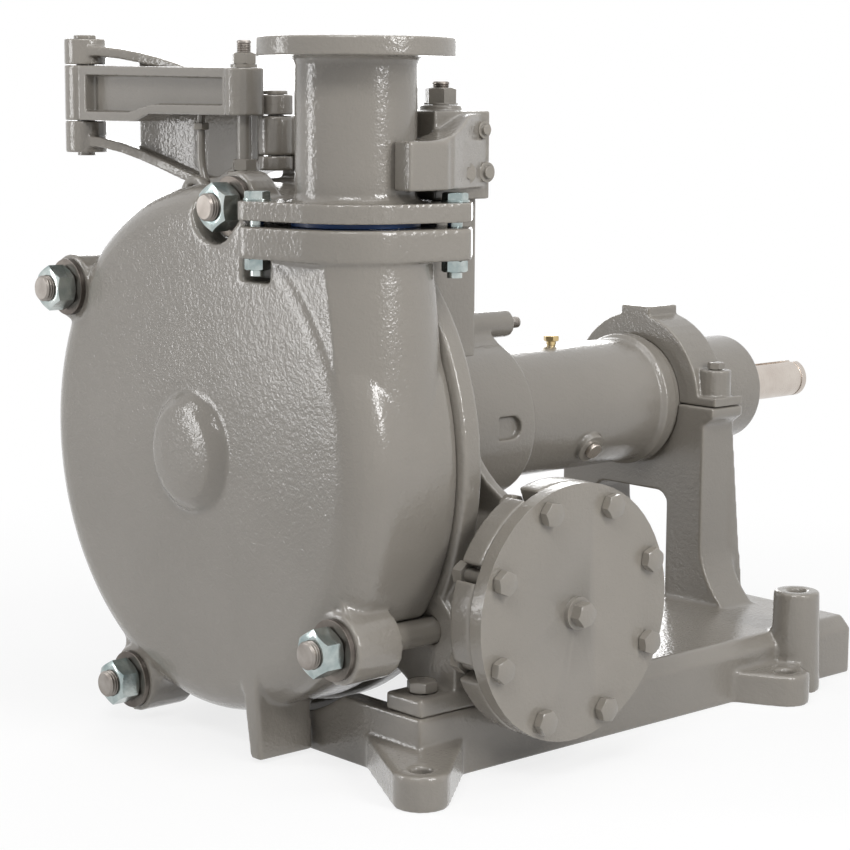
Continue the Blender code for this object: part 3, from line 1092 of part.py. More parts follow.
def make_cartridge():
    """Make the bearing housing with its plugs, bearings and shaft seals."""
    r = BARREL_RADIUS
    lip = LIP_HEIGHT
    bore = BARREL_BORE
    seat = BEARING_OUTER
    front_seat_end = FRONT_BEARING_Y + BEARING_WIDTH + GAP
    housing = turned([
        (seat, BARREL_FRONT_Y), (r - BITE, BARREL_FRONT_Y), (r, BARREL_FRONT_Y + BITE), (r, LIP_Y - lip),
        (r + lip, LIP_Y), (r + lip, LIP_Y + LIP_WIDTH), (r, LIP_Y + LIP_WIDTH), (r, BARREL_STEP_Y),
        (BARREL_REAR_RADIUS, BARREL_STEP_Y + BITE), (BARREL_REAR_RADIUS, BARREL_REAR_Y - BITE),
        (BARREL_REAR_RADIUS - BITE, BARREL_REAR_Y), (seat, BARREL_REAR_Y), (seat, REAR_BEARING_Y - GAP),
        (bore, REAR_BEARING_Y - GAP), (bore, front_seat_end), (seat, front_seat_end),
    ], (0, 0, AXIS_Z))
    turn = Matrix.Rotation(-DRAIN_ANGLE, 4, "Y")

    def along_drain(radius, start, length, sides):
        made = cylinder(radius, (start, 0, 0), length, "x", sides)
        made.data.transform(Matrix.Translation((0, DRAIN_Y, AXIS_Z)) @ turn)
        return made

    weld(housing, along_drain(DRAIN_SEAT_RADIUS, r - LANTERN_WALL, LANTERN_WALL + DRAIN_SEAT_HEIGHT, 28))
    plug_root = bore + OVERRUN
    cut(housing, along_drain(DRAIN_BORE + BITE / 2 + GAP, bore - OVERRUN, r, SMALL))
    cut(housing, cylinder(BREATHER_THREAD + GAP, (0, BREATHER_Y, AXIS_Z + bore - OVERRUN), r, "z", SMALL))
    finish(housing, "bearing_housing", "paint")
    seat_top = r + DRAIN_SEAT_HEIGHT + GAP
    plug = along_drain(DRAIN_BORE + BITE / 2, plug_root, seat_top + BITE - plug_root, SMALL)
    weld(plug, along_drain(DRAIN_RADIUS, seat_top, DRAIN_HEIGHT, 24))
    cut(plug, along_drain(DRAIN_BORE, r, DRAIN_SEAT_HEIGHT + DRAIN_HEIGHT + OVERRUN, SMALL))
    finish(plug, "drain_plug", "steel")
    top = AXIS_Z + r + GAP
    thread_low = AXIS_Z + plug_root
    breather = cylinder(BREATHER_THREAD, (0, BREATHER_Y, thread_low), top + BITE - thread_low, "z", SMALL)
    weld(breather, hexagon(BREATHER_HEX, (0, BREATHER_Y, top), BREATHER_HEIGHT))
    weld(breather, cylinder(BREATHER_CAP_RADIUS, (0, BREATHER_Y, top + BREATHER_HEIGHT - BITE),
                            BREATHER_CAP_HEIGHT + BITE, "z", SMALL))
    finish(breather, "breather", "brass")
    race_inner = SHAFT_SEAT + GAP
    ball_line = race_inner + RACE_THICK + BALL_RADIUS * RACE_DEPTH_SHARE
    for name, y in (("front", FRONT_BEARING_Y), ("rear", REAR_BEARING_Y)):
        outer_bore = ball_line + BALL_RADIUS + CLEARANCE
        outer = turned([(outer_bore, y), (seat - GAP, y), (seat - GAP, y + BEARING_WIDTH),
                        (outer_bore, y + BEARING_WIDTH)], (0, 0, AXIS_Z), sides=ROUND)
        finish(outer, name + "_bearing_outer", "steel")
        race_outer = race_inner + RACE_THICK
        inner = turned([(race_inner, y), (race_outer, y), (race_outer, y + BEARING_WIDTH),
                        (race_inner, y + BEARING_WIDTH)], (0, 0, AXIS_Z), sides=ROUND)
        for n in range(BALLS):
            angle = 2 * math.pi * n / BALLS
            centre = (ball_line * math.cos(angle), y + BEARING_WIDTH / 2,
                      AXIS_Z + ball_line * math.sin(angle))
            geometry = bmesh.new()
            bmesh.ops.create_uvsphere(geometry, u_segments=6, v_segments=4, radius=BALL_RADIUS,
                                      matrix=Matrix.Translation(centre))
            weld(inner, new_object("ball", geometry))
        finish(inner, name + "_bearing_inner", "steel")
    rear_seal_y = BARREL_REAR_Y - BITE - SEAL_WIDTH
    for name, y, radius in (("front", BARREL_FRONT_Y + BITE, SHAFT_WET_RADIUS),
                            ("rear", rear_seal_y, SHAFT_SEAT)):
        seal = turned([(radius + 2 * GAP, y), (seat - GAP, y), (seat - GAP, y + SEAL_WIDTH),
                       (radius + 2 * GAP, y + SEAL_WIDTH)], (0, 0, AXIS_Z), sides=ROUND)
        finish(seal, name + "_oil_seal", "iron")


def make_lantern():
    """Make the open lantern between the housing and the cartridge, and its jack screw."""
    front, rear = LANTERN_FRONT_Y, LANTERN_REAR_Y
    big, small = LANTERN_FRONT_RADIUS, LANTERN_REAR_RADIUS
    wall = LANTERN_WALL
    ring_front = rear - LANTERN_RING
    bore = BARREL_RADIUS + GAP
    lantern = turned([
        (big - wall, front), (big - BITE, front), (big, front + BITE), (big, LANTERN_SEAM_Y),
        (small, LANTERN_SEAM_Y), (small, rear - BITE), (small - BITE, rear), (bore, rear),
        (bore, ring_front), (big - wall, ring_front),
    ], (0, 0, AXIS_Z))
    tall = POCKET_HALF_HEIGHT
    pocket = [(LANTERN_SEAM_Y, AXIS_Z - tall)]
    pocket += arc((LANTERN_SEAM_Y + POCKET_LENGTH - tall, AXIS_Z), tall, -math.pi / 2, math.pi / 2, 8)
    pocket += [(LANTERN_SEAM_Y, AXIS_Z + tall)]
    for side in (-1, 1):
        ends = sorted((side * (small - POCKET_DEPTH), side * (small + OVERRUN)))
        cut(lantern, prism(pocket, *ends, "x"))
    boss_z = AXIS_Z + JACK_BOSS_Z
    boss_y = JACK_BOSS_Y
    arm_front = rear - JACK_ARM_LENGTH
    weld(lantern, box((-JACK_ARM_HALF, arm_front, AXIS_Z + bore + BITE),
                      (JACK_ARM_HALF, rear - BITE, boss_z)),
         cylinder(JACK_BOSS_RADIUS, (0, boss_y, boss_z), JACK_BOSS_LENGTH, "y", 24),
         cylinder(JACK_BOSS_RADIUS, (0, arm_front, boss_z), boss_y + BITE - arm_front, "y", 24))
    hole = JACK_SCREW_RADIUS + GAP
    cut(lantern, cylinder(hole, (0, arm_front - OVERRUN, boss_z),
                          boss_y + JACK_BOSS_LENGTH - arm_front + 2 * OVERRUN, "y", SMALL))
    head_y = arm_front - GAP
    finish(lantern, "bearing_lantern", "paint")
    screw = cylinder(JACK_SCREW_RADIUS, (0, head_y - BITE, boss_z), JACK_SCREW_LENGTH, "y", SMALL)
    weld(screw, hexagon(JACK_HEX, (0, head_y - JACK_HEAD, boss_z), JACK_HEAD, "y"))
    finish(screw, "jack_screw", "paint")


def make_seal_end():
    """Make the expeller, its case and the shaft sleeve."""
    y0 = EXPELLER_CASE_FRONT_Y
    wall = EXPELLER_CASE_WALL
    outer = BACK_OPENING - GAP
    inner = outer - wall
    back = CHAMBER_BACK_Y + GAP
    flange = LANTERN_FRONT_Y - GAP
    neck = SLEEVE_RADIUS + RUNNING_GAP
    case = turned([
        (neck, y0), (outer, y0), (outer, back), (SEAL_FLANGE_RADIUS, back), (SEAL_FLANGE_RADIUS, flange),
        (neck, flange), (neck, flange - wall), (inner, flange - wall), (inner, y0 + wall), (neck, y0 + wall),
    ], (0, 0, AXIS_Z))
    finish(case, "expeller_case", "iron")
    y = EXPELLER_FRONT_Y
    hub = SLEEVE_RADIUS
    bore = SHAFT_WET_RADIUS + GAP
    total = EXPELLER_WEB + EXPELLER_VANE
    expeller = turned([(bore, y), (EXPELLER_RADIUS, y), (EXPELLER_RADIUS, y + EXPELLER_WEB),
                       (hub, y + EXPELLER_WEB), (hub, y + total), (bore, y + total)],
                      (0, 0, AXIS_Z), sides=ROUND)
    for n in range(EXPELLER_VANES):
        angle = 2 * math.pi * n / EXPELLER_VANES
        vane = box((hub - BITE, y + EXPELLER_WEB - BITE, -EXPELLER_VANE_THICK / 2),
                   (EXPELLER_RADIUS - BITE, y + total, EXPELLER_VANE_THICK / 2))
        vane.data.transform(Matrix.Translation((0, 0, AXIS_Z)) @ Matrix.Rotation(angle, 4, "Y"))
        weld(expeller, vane)
    finish(expeller, "expeller", "iron")
    sleeve = turned([(bore, SLEEVE_FRONT_Y), (SLEEVE_RADIUS, SLEEVE_FRONT_Y), (SLEEVE_RADIUS, y - GAP),
                     (bore, y - GAP)], (0, 0, AXIS_Z), sides=ROUND)
    finish(sleeve, "shaft_sleeve", "steel")


def vane_outline(start_angle):
    """Return one swept impeller vane in the plane of the disc."""
    outer_side, inner_side = [], []
    root = IMPELLER_HUB * VANE_ROOT_SHARE
    steps = 5
    for n in range(steps + 1):
        share = n / steps
        radius = root + (IMPELLER_RADIUS - root) * share
        angle = start_angle - VANE_SWEEP * share
        half = VANE_THICK / 2 / radius
        outer_side.append((radius * math.cos(angle + half), AXIS_Z + radius * math.sin(angle + half)))
        inner_side.append((radius * math.cos(angle - half), AXIS_Z + radius * math.sin(angle - half)))
    return outer_side + inner_side[::-1]


def make_rotor():
    """Make the shaft and the impeller screwed on its end."""
    step_back = IMPELLER_REAR_Y
    middle_start = FRONT_BEARING_Y + BEARING_WIDTH + GAP
    shaft = turned([
        (0, SHAFT_NOSE_Y), (SHAFT_NOSE, SHAFT_NOSE_Y),
        (SHAFT_NOSE, step_back), (SHAFT_WET_RADIUS, step_back + BITE),
        (SHAFT_WET_RADIUS, FRONT_BEARING_Y - BITE), (SHAFT_SEAT, FRONT_BEARING_Y - BITE),
        (SHAFT_SEAT, middle_start), (SHAFT_MIDDLE, middle_start),
        (SHAFT_MIDDLE, REAR_BEARING_Y - GAP), (SHAFT_SEAT, REAR_BEARING_Y - GAP),
        (SHAFT_SEAT, BARREL_REAR_Y),
        (SHAFT_RADIUS, BARREL_REAR_Y + BITE), (SHAFT_RADIUS, RING_GROOVE_Y),
        (SHAFT_RADIUS - RING_GROOVE_DEPTH, RING_GROOVE_Y),
        (SHAFT_RADIUS - RING_GROOVE_DEPTH, RING_GROOVE_Y + RING_GROOVE_WIDTH),
        (SHAFT_RADIUS, RING_GROOVE_Y + RING_GROOVE_WIDTH), (SHAFT_RADIUS, SHAFT_END_Y - BITE),
        (SHAFT_RADIUS - BITE, SHAFT_END_Y), (0, SHAFT_END_Y),
    ], (0, 0, AXIS_Z), sides=ROUND)
    cut(shaft, box((-KEYWAY_WIDTH / 2, KEYWAY_FRONT_Y, AXIS_Z + SHAFT_RADIUS - KEYWAY_DEPTH),
                   (KEYWAY_WIDTH / 2, SHAFT_END_Y + OVERRUN, AXIS_Z + SHAFT_RADIUS + OVERRUN)))
    finish(shaft, "shaft", "steel")
    front, rear = IMPELLER_FRONT_Y, IMPELLER_REAR_Y
    face = front - IMPELLER_CAP
    impeller = turned([
        (0, face), (IMPELLER_HUB * HUB_FACE_SHARE, face), (IMPELLER_HUB, front), (IMPELLER_RADIUS, front),
        (IMPELLER_RADIUS, front + IMPELLER_DISC), (IMPELLER_HUB, front + IMPELLER_DISC),
        (IMPELLER_HUB, rear - BITE), (SHAFT_NOSE + GAP, rear - BITE),
        (SHAFT_NOSE + GAP, SHAFT_NOSE_Y - GAP), (0, SHAFT_NOSE_Y - GAP),
    ], (0, 0, AXIS_Z))
    for n in range(IMPELLER_VANES):
        outline = vane_outline(2 * math.pi * n / IMPELLER_VANES)
        weld(impeller, prism(outline, front + IMPELLER_DISC - BITE, rear - BITE, "y"))
    weld(impeller, turned([(IMPELLER_EYE, rear - IMPELLER_RING), (IMPELLER_RADIUS, rear - IMPELLER_RING),
                           (IMPELLER_RADIUS, rear), (IMPELLER_EYE, rear)], (0, 0, AXIS_Z)))
    finish(impeller, "impeller", "iron")


def elbow_place():
    """Return the plan place of the davit's elbow at rest."""
    return Vector((ROOT_PIN.x - LINK * math.cos(LINK_REST), ROOT_PIN.y - LINK * math.sin(LINK_REST), 0))


def hang_place():
    """Return the plan place of the bolt that the case hangs on."""
    return Vector((ROOT_PIN.x, ROOT_PIN.y - 2 * LINK * math.sin(LINK_REST), 0))


def ribbon(start, end, bow, first, last, width, low, high, steps=6):
    """Make a bar along a bowed line from start to end; low and high are functions of the share."""
    along = end - start
    across = Vector((-along.y, along.x, 0)).normalized()
    sections = []
    for n in range(steps + 1):
        share = first + (last - first) * n / steps
        wide = width(share) if callable(width) else width
        side = across * bow * math.sin(math.pi * share)
        slope = across * bow * math.pi * math.cos(math.pi * share) + along
        normal = Vector((-slope.y, slope.x, 0)).normalized() * wide / 2
        middle = start + along * share + side
        a, b = middle - normal, middle + normal
        sections.append([(a.x, a.y, low(share)), (b.x, b.y, low(share)), (b.x, b.y, high(share)),
                         (a.x, a.y, high(share))])
    return loft(sections)


def make_davit():
    """Make the two links, their pins, the hanging bolt and the hook bolt."""
    root, elbow, hang = ROOT_PIN, elbow_place(), hang_place()
    top_low_elbow = FRONT_HIGH + CLEARANCE
    bottom_high_elbow = FRONT_LOW - CLEARANCE
    root_top_low = KNUCKLE_HIGH + CLEARANCE
    root_bottom_high = KNUCKLE_LOW - CLEARANCE

    def eased(share):
        return share * share * (3 - 2 * share)

    def upper_top(share):
        return ROOT_EYE_HIGH + (UPPER_TOP - ROOT_EYE_HIGH) * eased(share)

    def lower_bottom(share):
        reach = PLATE_RADIUS + ROOT_EYE_LOW - DAVIT_Z
        dip = AXIS_Z + math.sqrt(reach ** 2 - (LINK * min(share, DIP_SHARE)) ** 2)
        return dip + (LOWER_BOTTOM - dip) * eased(max(0, share - DIP_SHARE) / (1 - DIP_SHARE))

    def upper_bottom(share):
        return upper_top(share) - FLANGE_THIN

    def lower_top(share):
        return lower_bottom(share) + FLANGE_THIN

    def flange_width(share):
        return REAR_ROOT_WIDTH + (REAR_WIDTH - REAR_ROOT_WIDTH) * min(1, share / REAR_WIDEN_SHARE)

    eye = ROOT_EYE_HIGH - root_top_low + BITE
    rear = cylinder(KNUCKLE_RADIUS, (root.x, root.y, root_top_low - BITE), eye, "z", 18)
    bow = -REAR_BOW
    upper = ribbon(root, elbow, bow, 0, 1, flange_width, upper_bottom, upper_top, 12)
    lower = ribbon(root, elbow, bow, 0, 1, flange_width, lower_bottom, lower_top, 12)
    web = ribbon(root, elbow, bow, WEB_FIRST_SHARE, WEB_LAST_SHARE, WEB_THICK,
                 lambda share: lower_bottom(share) + BITE, lambda share: upper_top(share) - BITE, 8)
    weld(rear, upper, web, lower,
         cylinder(KNUCKLE_RADIUS, (root.x, root.y, ROOT_EYE_LOW), root_bottom_high + BITE - ROOT_EYE_LOW,
                  "z", 18),
         cylinder(ELBOW_RADIUS, (elbow.x, elbow.y, top_low_elbow), ELBOW_HIGH - top_low_elbow, "z", 20),
         cylinder(ELBOW_RADIUS, (elbow.x, elbow.y, ELBOW_LOW), bottom_high_elbow - ELBOW_LOW, "z", 20))
    cut(rear, cylinder(ROOT_PIN_RADIUS + CLEARANCE, (root.x, root.y, ROOT_EYE_LOW - OVERRUN),
                       ROOT_EYE_HIGH - ROOT_EYE_LOW + 2 * OVERRUN, "z", SMALL),
        cylinder(ELBOW_PIN_RADIUS + GAP, (elbow.x, elbow.y, ELBOW_LOW - OVERRUN),
                 ELBOW_HIGH - ELBOW_LOW + 2 * OVERRUN, "z", SMALL),
        cylinder(KNUCKLE_RADIUS + 2 * CLEARANCE, (root.x, root.y, root_bottom_high),
                 root_top_low - root_bottom_high, "z", 20),
        cylinder(PIN_HEAD_RADIUS + CLEARANCE, (root.x, root.y, ROOT_EYE_HIGH - GAP), OVERRUN, "z", 20))
    finish(rear, "davit_rear_link", "paint")

    front = cylinder(ELBOW_RADIUS, (elbow.x, elbow.y, FRONT_LOW), FRONT_HIGH - FRONT_LOW, "z", 20)
    step = FRONT_STEP / LINK

    def low(share):
        blend = min(1, max(0, (share - step) / FRONT_STEP_SHARE))
        return FRONT_LOW + (FRONT_END_LOW - FRONT_LOW) * blend

    def high(share):
        return FRONT_HIGH + (FRONT_END_HIGH - FRONT_HIGH) * share

    bar = ribbon(elbow, hang, 0, 0, 1, FRONT_WIDTH, low, high, 12)
    depth = FRONT_POCKET
    across = Vector((-(hang - elbow).y, (hang - elbow).x, 0)).normalized()
    for side in (-1, 1):
        offset = across * side * FRONT_WIDTH / 2
        pocket = ribbon(elbow + offset, hang + offset, 0, POCKET_START_SHARE, POCKET_END_SHARE, 2 * depth,
                        lambda share: low(share) + FRONT_RIM, lambda share: high(share) - FRONT_RIM, 12)
        cut(bar, pocket)
    weld(front, bar, cylinder(FRONT_EYE_RADIUS, (hang.x, hang.y, FRONT_END_LOW),
                              FRONT_END_HIGH - FRONT_END_LOW, "z", 20))
    hook = hang + (elbow - hang).normalized() * HOOK_OFFSET
    cut(front, cylinder(ELBOW_PIN_RADIUS + CLEARANCE, (elbow.x, elbow.y, FRONT_LOW - OVERRUN),
                        FRONT_HIGH - FRONT_LOW + 2 * OVERRUN, "z", SMALL),
        cylinder(HANG_ROD_RADIUS + CLEARANCE, (hang.x, hang.y, FRONT_END_LOW - OVERRUN),
                 FRONT_END_HIGH - FRONT_END_LOW + 2 * OVERRUN, "z", SMALL),
        cylinder(HOOK_RADIUS + GAP, (hook.x, hook.y, FRONT_END_LOW - OVERRUN), FRONT_RIM + OVERRUN,
                 "z", SMALL))
    finish(front, "davit_front_link", "paint")

    pin = cylinder(ELBOW_PIN_RADIUS, (elbow.x, elbow.y, ELBOW_LOW - PIN_HEAD_HEIGHT),
                   ELBOW_HIGH + GAP - ELBOW_LOW + PIN_HEAD_HEIGHT + BITE, "z", SMALL)
    weld(pin, cylinder(PIN_HEAD_RADIUS, (elbow.x, elbow.y, ELBOW_HIGH + GAP), PIN_HEAD_HEIGHT, "z", 18))
    finish(pin, "davit_elbow_pin", "paint")
    pin = cylinder(ROOT_PIN_RADIUS, (root.x, root.y, ROOT_EYE_LOW),
                   ROOT_EYE_HIGH + GAP - ROOT_EYE_LOW + BITE, "z", SMALL)
    weld(pin, cylinder(PIN_HEAD_RADIUS, (root.x, root.y, ROOT_EYE_HIGH + GAP), PIN_HEAD_HEIGHT, "z", 18))
    finish(pin, "davit_root_pin", "paint")

    low_z = HANG_LUG_TOP - HANG_LUG_DEPTH
    rod = cylinder(HANG_ROD_RADIUS, (hang.x, hang.y, low_z), HANG_ROD_TOP - low_z, "z", SMALL)
    washer_z = FRONT_END_HIGH + GAP
    weld(rod, cylinder(HANG_WASHER_RADIUS, (hang.x, hang.y, washer_z), HANG_WASHER_THICK, "z", 18))
    weld(rod, hexagon(HANG_NUT_HEX, (hang.x, hang.y, washer_z + HANG_WASHER_THICK - GAP), HANG_NUT_THICK))
    weld(rod, hexagon(HANG_NUT_HEX, (hang.x, hang.y, HANG_LUG_TOP + GAP), HANG_NUT_THICK))
    finish(rod, "case_hanging_bolt", "paint")

    path = [Vector((hook.x, hook.y, FRONT_END_LOW + FRONT_RIM - CLEARANCE))]
    bend = HOOK_BEND
    towards = (hang - elbow).normalized()
    for u, v in arc((bend, HOOK_LOW + bend), bend, math.pi, 2 * math.pi, 6):
        path.append(Vector((hook.x, hook.y, v)) + towards * u)
    rings = []
    for n, point in enumerate(path):
        before = path[max(n - 1, 0)]
        after = path[min(n + 1, len(path) - 1)]
        tangent = (after - before).normalized()
        side = tangent.cross(across).normalized()
        ring = []
        for m in range(10):
            angle = 2 * math.pi * m / 10
            ring.append(point + HOOK_RADIUS * (math.cos(angle) * across + math.sin(angle) * side))
        rings.append(ring)
    bolt = loft(rings)
    weld(bolt, hexagon(HOOK_NUT_HEX, (hook.x, hook.y, HOOK_NUT_Z), HOOK_NUT_THICK))
    finish(bolt, "hook_bolt", "paint")


def make_yoke():
    """Make the post behind the neck, the yoke on it and its fasteners."""
    foot_y = PLATE_BACK_Y + GAP
    back = POST_Y + POST_HALF_DEPTH
    post = box((NECK_X - POST_HALF_WIDTH, POST_Y - POST_HALF_DEPTH, POST_FOOT_Z),
               (NECK_X + POST_HALF_WIDTH, back, YOKE_LOW - GAP))
    weld(post, box((NECK_X - POST_HALF_WIDTH, foot_y, POST_FOOT_Z),
                   (NECK_X + POST_HALF_WIDTH, back, POST_STEP_Z)))
    stud_low = YOKE_LOW - YOKE_STUD_DEPTH
    cut(post, cylinder(YOKE_STUD_RADIUS + GAP, (NECK_X, POST_Y, stud_low - GAP), YOKE_STUD_DEPTH + OVERRUN,
                       "z", SMALL))
    cut(post, cylinder(POST_BOLT_RADIUS + CLEARANCE, (NECK_X, foot_y - OVERRUN, POST_BOLT_Z),
                       back - foot_y + 2 * OVERRUN, "y", SMALL))
    finish(post, "yoke_post", "paint")
    bolt_y = PLATE_BACK_Y - POST_BOLT_DEPTH
    bolt = cylinder(POST_BOLT_RADIUS, (NECK_X, bolt_y, POST_BOLT_Z), back + GAP + BITE - bolt_y, "y", SMALL)
    weld(bolt, hexagon(POST_BOLT_HEX, (NECK_X, back + GAP, POST_BOLT_Z), POST_BOLT_HEAD, "y"))
    finish(bolt, "post_bolt", "paint")

    outer = ARM_INNER + ARM_THICK
    half = YOKE_HALF_WIDTH
    yoke = box((NECK_X - half, YOKE_FRONT_Y, YOKE_LOW), (NECK_X + half, YOKE_BACK_Y, YOKE_HIGH))
    u_shape = [(NECK_X - outer, ARM_FRONT_Y), (NECK_X - ARM_INNER, ARM_FRONT_Y)]
    inside = arc((NECK_X, NECK_Y), ARM_INNER, math.pi, 0, 14)
    u_shape += inside
    u_shape += [(NECK_X + ARM_INNER, ARM_FRONT_Y), (NECK_X + outer, ARM_FRONT_Y)]
    u_shape += [(NECK_X + outer, NECK_Y + outer / 2), (NECK_X + half, YOKE_BACK_Y - OVERRUN),
                (NECK_X - half, YOKE_BACK_Y - OVERRUN), (NECK_X - outer, NECK_Y + outer / 2)]
    weld(yoke, prism(u_shape, ARM_LOW, ARM_HIGH, "z"))
    cut(yoke, cylinder(ARM_INNER, (NECK_X, NECK_Y, YOKE_LOW - OVERRUN), YOKE_HIGH - YOKE_LOW + 2 * OVERRUN,
                       "z", FINE))
    fillet = SPOOL_RADIUS + SPOOL_FILLET + CLEARANCE
    cut(yoke, cylinder(fillet, (NECK_X, NECK_Y, YOKE_LOW - OVERRUN), OVERRUN + SPOOL_FILLET + BITE,
                       "z", FINE))
    cut(yoke, cylinder(YOKE_STUD_RADIUS + CLEARANCE, (NECK_X, POST_Y, YOKE_LOW - OVERRUN),
                       YOKE_HIGH - YOKE_LOW + 2 * OVERRUN, "z", SMALL))
    for z in YOKE_PIN_Z:
        weld(yoke, cylinder(YOKE_PIN_HEAD_RADIUS, (NECK_X + half - BITE, YOKE_PIN_Y, z),
                            YOKE_PIN_HEAD + BITE, "x", SMALL))
    finish(yoke, "spool_yoke", "paint")
    stud = cylinder(YOKE_STUD_RADIUS, (NECK_X, POST_Y, stud_low), YOKE_STUD_TOP - stud_low, "z", SMALL)
    weld(stud, hexagon(YOKE_NUT_HEX, (NECK_X, POST_Y, YOKE_HIGH + GAP), YOKE_NUT_THICK))
    finish(stud, "yoke_stud", "paint")


def put_origin(names, place):
    """Put the origin of each named piece on the axis that it moves about."""
    for name in names:
        moved = bpy.data.objects[name]
        moved.data.transform(Matrix.Translation(-place))
        moved.location = place


def main():
    """Build the whole pump."""
    for old in list(bpy.data.objects):
        bpy.data.objects.remove(old)
    make_base()
    make_intake_housing()
    make_liner()
    make_cover()
    make_hold_bolts()
    make_cap()
    make_cartridge()
    make_lantern()
    make_seal_end()
    make_rotor()
    make_davit()
    make_yoke()
    make_case()
    make_case_fasteners()
    make_spool()
    put_origin(ROTOR_PIECES, Vector((0, 0, AXIS_Z)))
    put_origin(CARTRIDGE_PIECES, Vector((0, 0, AXIS_Z)))
    put_origin(REAR_ARM_PIECES, ROOT_PIN)
    put_origin(FRONT_ARM_PIECES, elbow_place())
    put_origin(CASE_PIECES, hang_place())


main()
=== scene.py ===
"""Looks of the slurry pump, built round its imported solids.

The shaft runs along Y at x = 0. The case is at -Y, the drive end of the shaft at +Y, the
side intake opens to +X and the discharge points up. The floor is z = 0.
"""

import json
import math

import bmesh
import bpy
from mathutils import Matrix, Vector


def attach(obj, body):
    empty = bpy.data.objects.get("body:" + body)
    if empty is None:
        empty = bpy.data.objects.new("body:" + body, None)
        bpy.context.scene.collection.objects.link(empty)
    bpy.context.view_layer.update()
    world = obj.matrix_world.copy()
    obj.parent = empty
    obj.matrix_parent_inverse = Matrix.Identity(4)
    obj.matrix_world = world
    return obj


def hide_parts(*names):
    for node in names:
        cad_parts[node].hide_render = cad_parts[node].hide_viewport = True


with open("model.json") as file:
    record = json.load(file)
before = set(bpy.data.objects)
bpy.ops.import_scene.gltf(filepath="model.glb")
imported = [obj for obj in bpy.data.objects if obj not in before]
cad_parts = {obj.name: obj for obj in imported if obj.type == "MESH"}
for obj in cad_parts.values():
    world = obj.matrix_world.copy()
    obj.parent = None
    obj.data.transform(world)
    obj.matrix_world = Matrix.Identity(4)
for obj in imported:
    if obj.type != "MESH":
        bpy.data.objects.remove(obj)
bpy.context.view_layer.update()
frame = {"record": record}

MM = 0.001
GAP = 0.3 * MM
OVERRUN = 6 * MM
FAR = 1000 * MM
BITE = 3 * MM
CLEARANCE = 1 * MM
SKEW = math.radians(3.3)

# Sides of round shapes, and steps of curves
FINE = 144
ROUND = 72
HEX_TURN_SIDES = 64
COVER_SIDES = 56
MEDIUM = 48
PIPE_SIDES = 36
SMALL = 32
CHAMBER_SIDES = 28
BOSS_SIDES = 24
EAR_SIDES = 20
PIN_SIDES = 18
COARSE = 16
CAVITY_STEPS = 28
WEB_STEPS = 12
FIN_STEPS = 8
FLARE_STEPS = 6
VANE_STEPS = 5

# Shaft line
AXIS_Z = 330 * MM

# Volute case
CASE_RADIUS = 295 * MM
CASE_FRONT_Y = -184 * MM
CASE_BACK_Y = -50 * MM
CASE_EDGE = 42 * MM
CASE_WALL = 22 * MM
CASE_BACK_EDGE = 12 * MM
BACK_EDGE_SHARE = 0.4
NOSE_RADIUS = 68 * MM
NOSE_HEIGHT = 17 * MM
NOSE_ROUND = 16 * MM
NOSE_FLAT_SHARE = 0.6
NOSE_SHOULDER_SHARE = 0.86
NOSE_SIDE_SHARE = 0.35
NOSE_DROP_SHARE = 0.4
CAVITY_START = CASE_RADIUS - 103 * MM
CAVITY_END = CASE_RADIUS - 55 * MM
CAVITY_TURN = 31.3
CAVITY_SWEEP = 327.1
LINER_SEAT_RADIUS = CASE_RADIUS - 45 * MM
LINER_SEAT_DEPTH = 12 * MM

# Discharge neck, flange and spool
NECK_X = 192 * MM
NECK_Y = -107 * MM
NECK_RADIUS = 83 * MM
NECK_BORE = 50 * MM
NECK_ROOT_RADIUS = 104 * MM
CASE_FLANGE_TOP = AXIS_Z + CASE_RADIUS - 39 * MM
CASE_FLANGE_THICK = 34 * MM
EAR_TURN = math.radians(45)
EAR_ARC_START = math.radians(50)
EAR_ARC_END = math.radians(130)
EAR_HALF_LENGTH = 122 * MM
EAR_END_HALF_WIDTH = 26 * MM
EAR_MIDDLE_RADIUS = 88 * MM
EAR_CORNER = 6 * MM
EAR_BOLT_OFFSET = 104 * MM
SEAL_RING_THICK = 6 * MM
SEAL_RING_RADIUS = 68 * MM
SPOOL_FLANGE_THICK = 20 * MM
SPOOL_TOP = CASE_FLANGE_TOP + 195 * MM
SPOOL_TOP_THICK = 19.5 * MM
SPOOL_TOP_RADIUS = 104.5 * MM
SPOOL_RADIUS = 64 * MM
SPOOL_FILLET = 8 * MM
FILLET_SHARE = 0.3
SPOOL_HOLE_RADIUS = 9 * MM
SPOOL_HOLE_CIRCLE = 84 * MM
SPOOL_HOLES = 8
EAR_BOLT_RADIUS = 8 * MM
EAR_BOLT_HEX = 24 * MM
EAR_BOLT_HEAD = 10 * MM
EAR_BOLT_NUT = 13 * MM
EAR_BOLT_TAIL = 6 * MM
EAR_BOLT_POCKET = 26 * MM
EAR_BOLT_TURN = math.radians(15)

